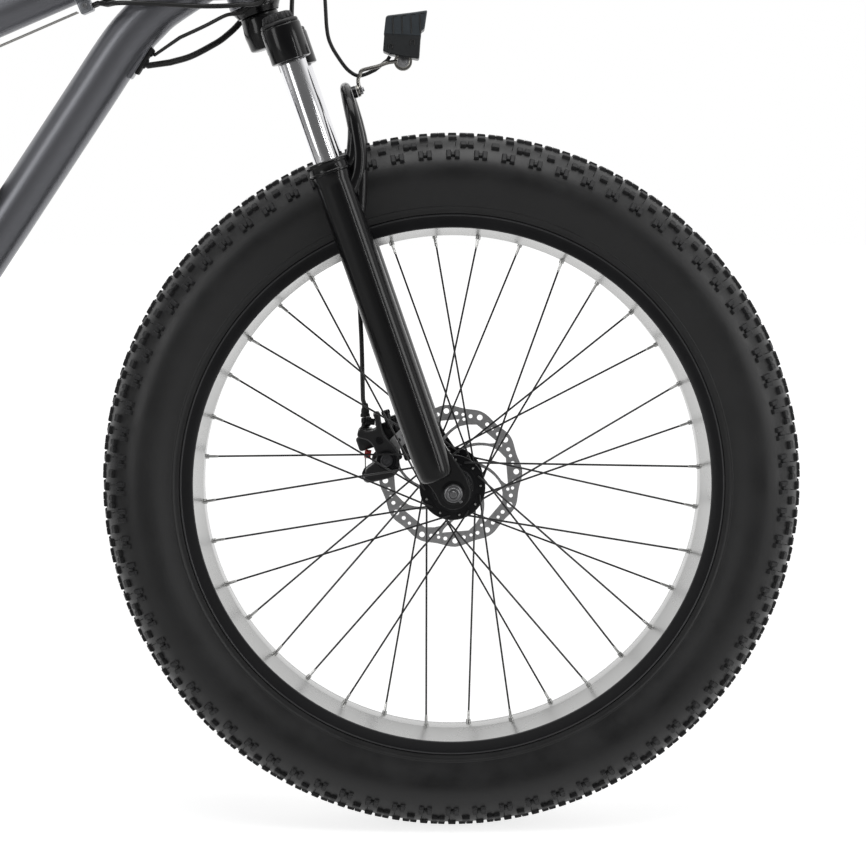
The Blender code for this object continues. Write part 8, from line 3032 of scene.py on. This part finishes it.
    def chain_path(self) -> list[Vector]:
        """Return the closed line of the chain's pins.

        Returns:
            The points once round the chain, close enough to measure along.
        """
        wheels = [
            (BRACKET.x, BRACKET.z, -self.pitch_radius(self.ring_teeth)),
            (*self.tension, -self.pulley_radius),
            (*self.guide, self.pulley_radius),
            (REAR_AXLE.x, REAR_AXLE.z, -self.pitch_radius(20)),
        ]
        runs = [self.tangent(a, b) for a, b in zip(wheels, wheels[1:] + wheels[:1])]
        path = []
        for index, (x, z, radius) in enumerate(wheels):
            start, end = runs[index - 1][1], runs[index][0]
            first = math.atan2(start[1] - z, start[0] - x)
            sweep = (math.atan2(end[1] - z, end[0] - x) - first) % math.tau
            if radius < 0:
                sweep -= math.tau
            steps = max(4, int(abs(sweep) / math.radians(6.0)))
            for step in range(steps + 1):
                angle = first + sweep * step / steps
                place = (x + abs(radius) * math.cos(angle), z + abs(radius) * math.sin(angle))
                path.append(Vector((place[0], -self.chain_line, place[1])))
        return path

    def tangent(self, one: tuple, two: tuple) -> tuple[tuple[float, float], tuple[float, float]]:
        """Return the ends of the straight run between two wheels of signed radius.

        Args:
            one: the first wheel's X, Z and radius, which is negative where the chain turns the other way.
            two: the next wheel's.

        Returns:
            Where the run leaves the first wheel and where it meets the next.
        """
        (ax, az, ar), (bx, bz, br) = one, two
        base = math.atan2(bz - az, bx - ax)
        angle = base - math.acos((ar - br) / math.hypot(bx - ax, bz - az))
        ahead = (math.cos(angle), math.sin(angle))
        return (ax + ar * ahead[0], az + ar * ahead[1]), (bx + br * ahead[0], bz + br * ahead[1])

    def pins(self) -> list[Vector]:
        """Return the places of the chain's pins, a pitch apart along its closed line.

        Returns:
            The pins' places, in their order.
        """
        path = self.chain_path()
        spans = [(a, b) for a, b in zip(path, path[1:] + path[:1]) if (b - a).length > 1e-7]
        total = sum((b - a).length for a, b in spans)
        count = 2 * round(total / self.link_pitch / 2)
        gap = total / count
        pins = []
        walked = 0.0
        for a, b in spans:
            length = (b - a).length
            while len(pins) < count and len(pins) * gap < walked + length:
                pins.append(a.lerp(b, (len(pins) * gap - walked) / length))
            walked += length
        return pins

    def chain(self) -> None:
        """Add the chain, link by link."""
        shape = Shape("chain_steel")
        link = bmesh.new()
        bmesh.ops.create_cone(link, cap_ends=True, segments=14, radius1=0.004, radius2=0.004, depth=0.0008)
        for vert in link.verts:
            vert.co.x += math.copysign(self.link_pitch / 2, vert.co.x)
        pins = self.pins()
        for index, (here, after) in enumerate(zip(pins, pins[1:] + pins[:1])):
            reach = 0.003 if index % 2 else 0.0021
            for side in (-1, 1):
                middle = (here + after) / 2 + Y_AXIS * side * reach
                shape.take(link.copy(), placed(middle, Y_AXIS, after - here))
            shape.rod(here - Y_AXIS * 0.0019, here + Y_AXIS * 0.0019, 0.0038, 0, 10)
            shape.rod(here - Y_AXIS * 0.0036, here + Y_AXIS * 0.0036, 0.0017, 0, 8)
        link.free()
        shape.piece("chain_links", "frame", ["chain"])

    def derailleur(self) -> None:
        """Add the derailleur's body on its hanger, and the cage with its pulleys."""
        shape = Shape("satin_black", "steel")
        hanger = Vector((REAR_AXLE.x - 0.015, 0.0, REAR_AXLE.z - 0.044))
        guide = Vector((self.guide[0], 0.0, self.guide[1]))
        tension = Vector((self.tension[0], 0.0, self.tension[1]))
        shape.rod(hanger - Y_AXIS * 0.0953, hanger - Y_AXIS * 0.1093, 0.008, 0, 36, bevel=0.0008)
        shape.bolt(hanger - Y_AXIS * 0.109, -Y_AXIS, 0.0056, 0.0016, 1)
        shape.rod(guide - Y_AXIS * 0.0798, guide - Y_AXIS * 0.1093, 0.011, 0, 40, bevel=0.001)
        shape.bolt(guide - Y_AXIS * 0.109, -Y_AXIS, 0.0048, 0.0014, 1)
        start, end = hanger - Y_AXIS * 0.1023, guide - Y_AXIS * 0.1023
        size = ((end - start).length, 0.014, 0.014)
        shape.block((start + end) / 2, size, along_axes(end - start), 0.003, 0, 3)
        shape.piece("derailleur_dressed", "frame", ["derailleur_body"])
        shape = Shape("dark_steel", "satin_black", "steel")
        way = tension - guide
        outline = [polar(0.01, a) for a in range(60, 301, 20)]
        outline += [(way.length + x, y) for x, y in (polar(0.01, a) for a in range(-120, 121, 20))]
        waist = [(way.length * 0.5, 0.0062), (way.length * 0.5, -0.0062)]
        outline = [waist[0], *outline[:13], waist[1], *outline[13:]]
        axes = Matrix((way.normalized(), way.normalized().cross(Y_AXIS), Y_AXIS)).transposed()
        for y in (-0.0785, -0.0665):
            place = Matrix.Translation(guide + Y_AXIS * y) @ axes.to_4x4()
            shape.plate([outline], 0.0017, place, 0, 0.0003)
        for centre in (guide, tension):
            holes = [ring_points(0.003, 10, polar(0.0115, 60.0 * i)) for i in range(6)]
            wheel = toothed(10, 0.0168, 0.022)
            shape.plate([wheel, *holes], 0.0021, self.plane(centre, -self.chain_line), 1, 0.0003)
            shape.rod(centre - Y_AXIS * 0.0788, centre - Y_AXIS * 0.066, 0.0045, 2, 20, bevel=0.0003)
        shape.piece("cage_dressed", "cage", ["derailleur_cage"])

    def build(self) -> None:
        """Make the drive."""
        self.cranks()
        for side in Side:
            self.pedal(side)
        self.sprockets()
        self.chain()
        self.derailleur()


def main() -> None:
    """Build the bicycle's looks, piece by piece."""
    logging.basicConfig(level=logging.INFO, format="%(name)s %(message)s")
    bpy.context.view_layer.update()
    Studio().build()
    Cabling().build()
    build_front_wheel()
    FrontAxle().build()
    QuickRelease().build()
    ForkLowers().build()
    ForkUppers().build()
    Headlight().build()
    FrontCaliper().build()
    MainFrame().build()
    Kickstand().build()
    Cockpit().build()
    Seat().build()
    Battery().build()
    RearWheel().build()
    Drive().build()


if __name__ == "__main__":
    main()
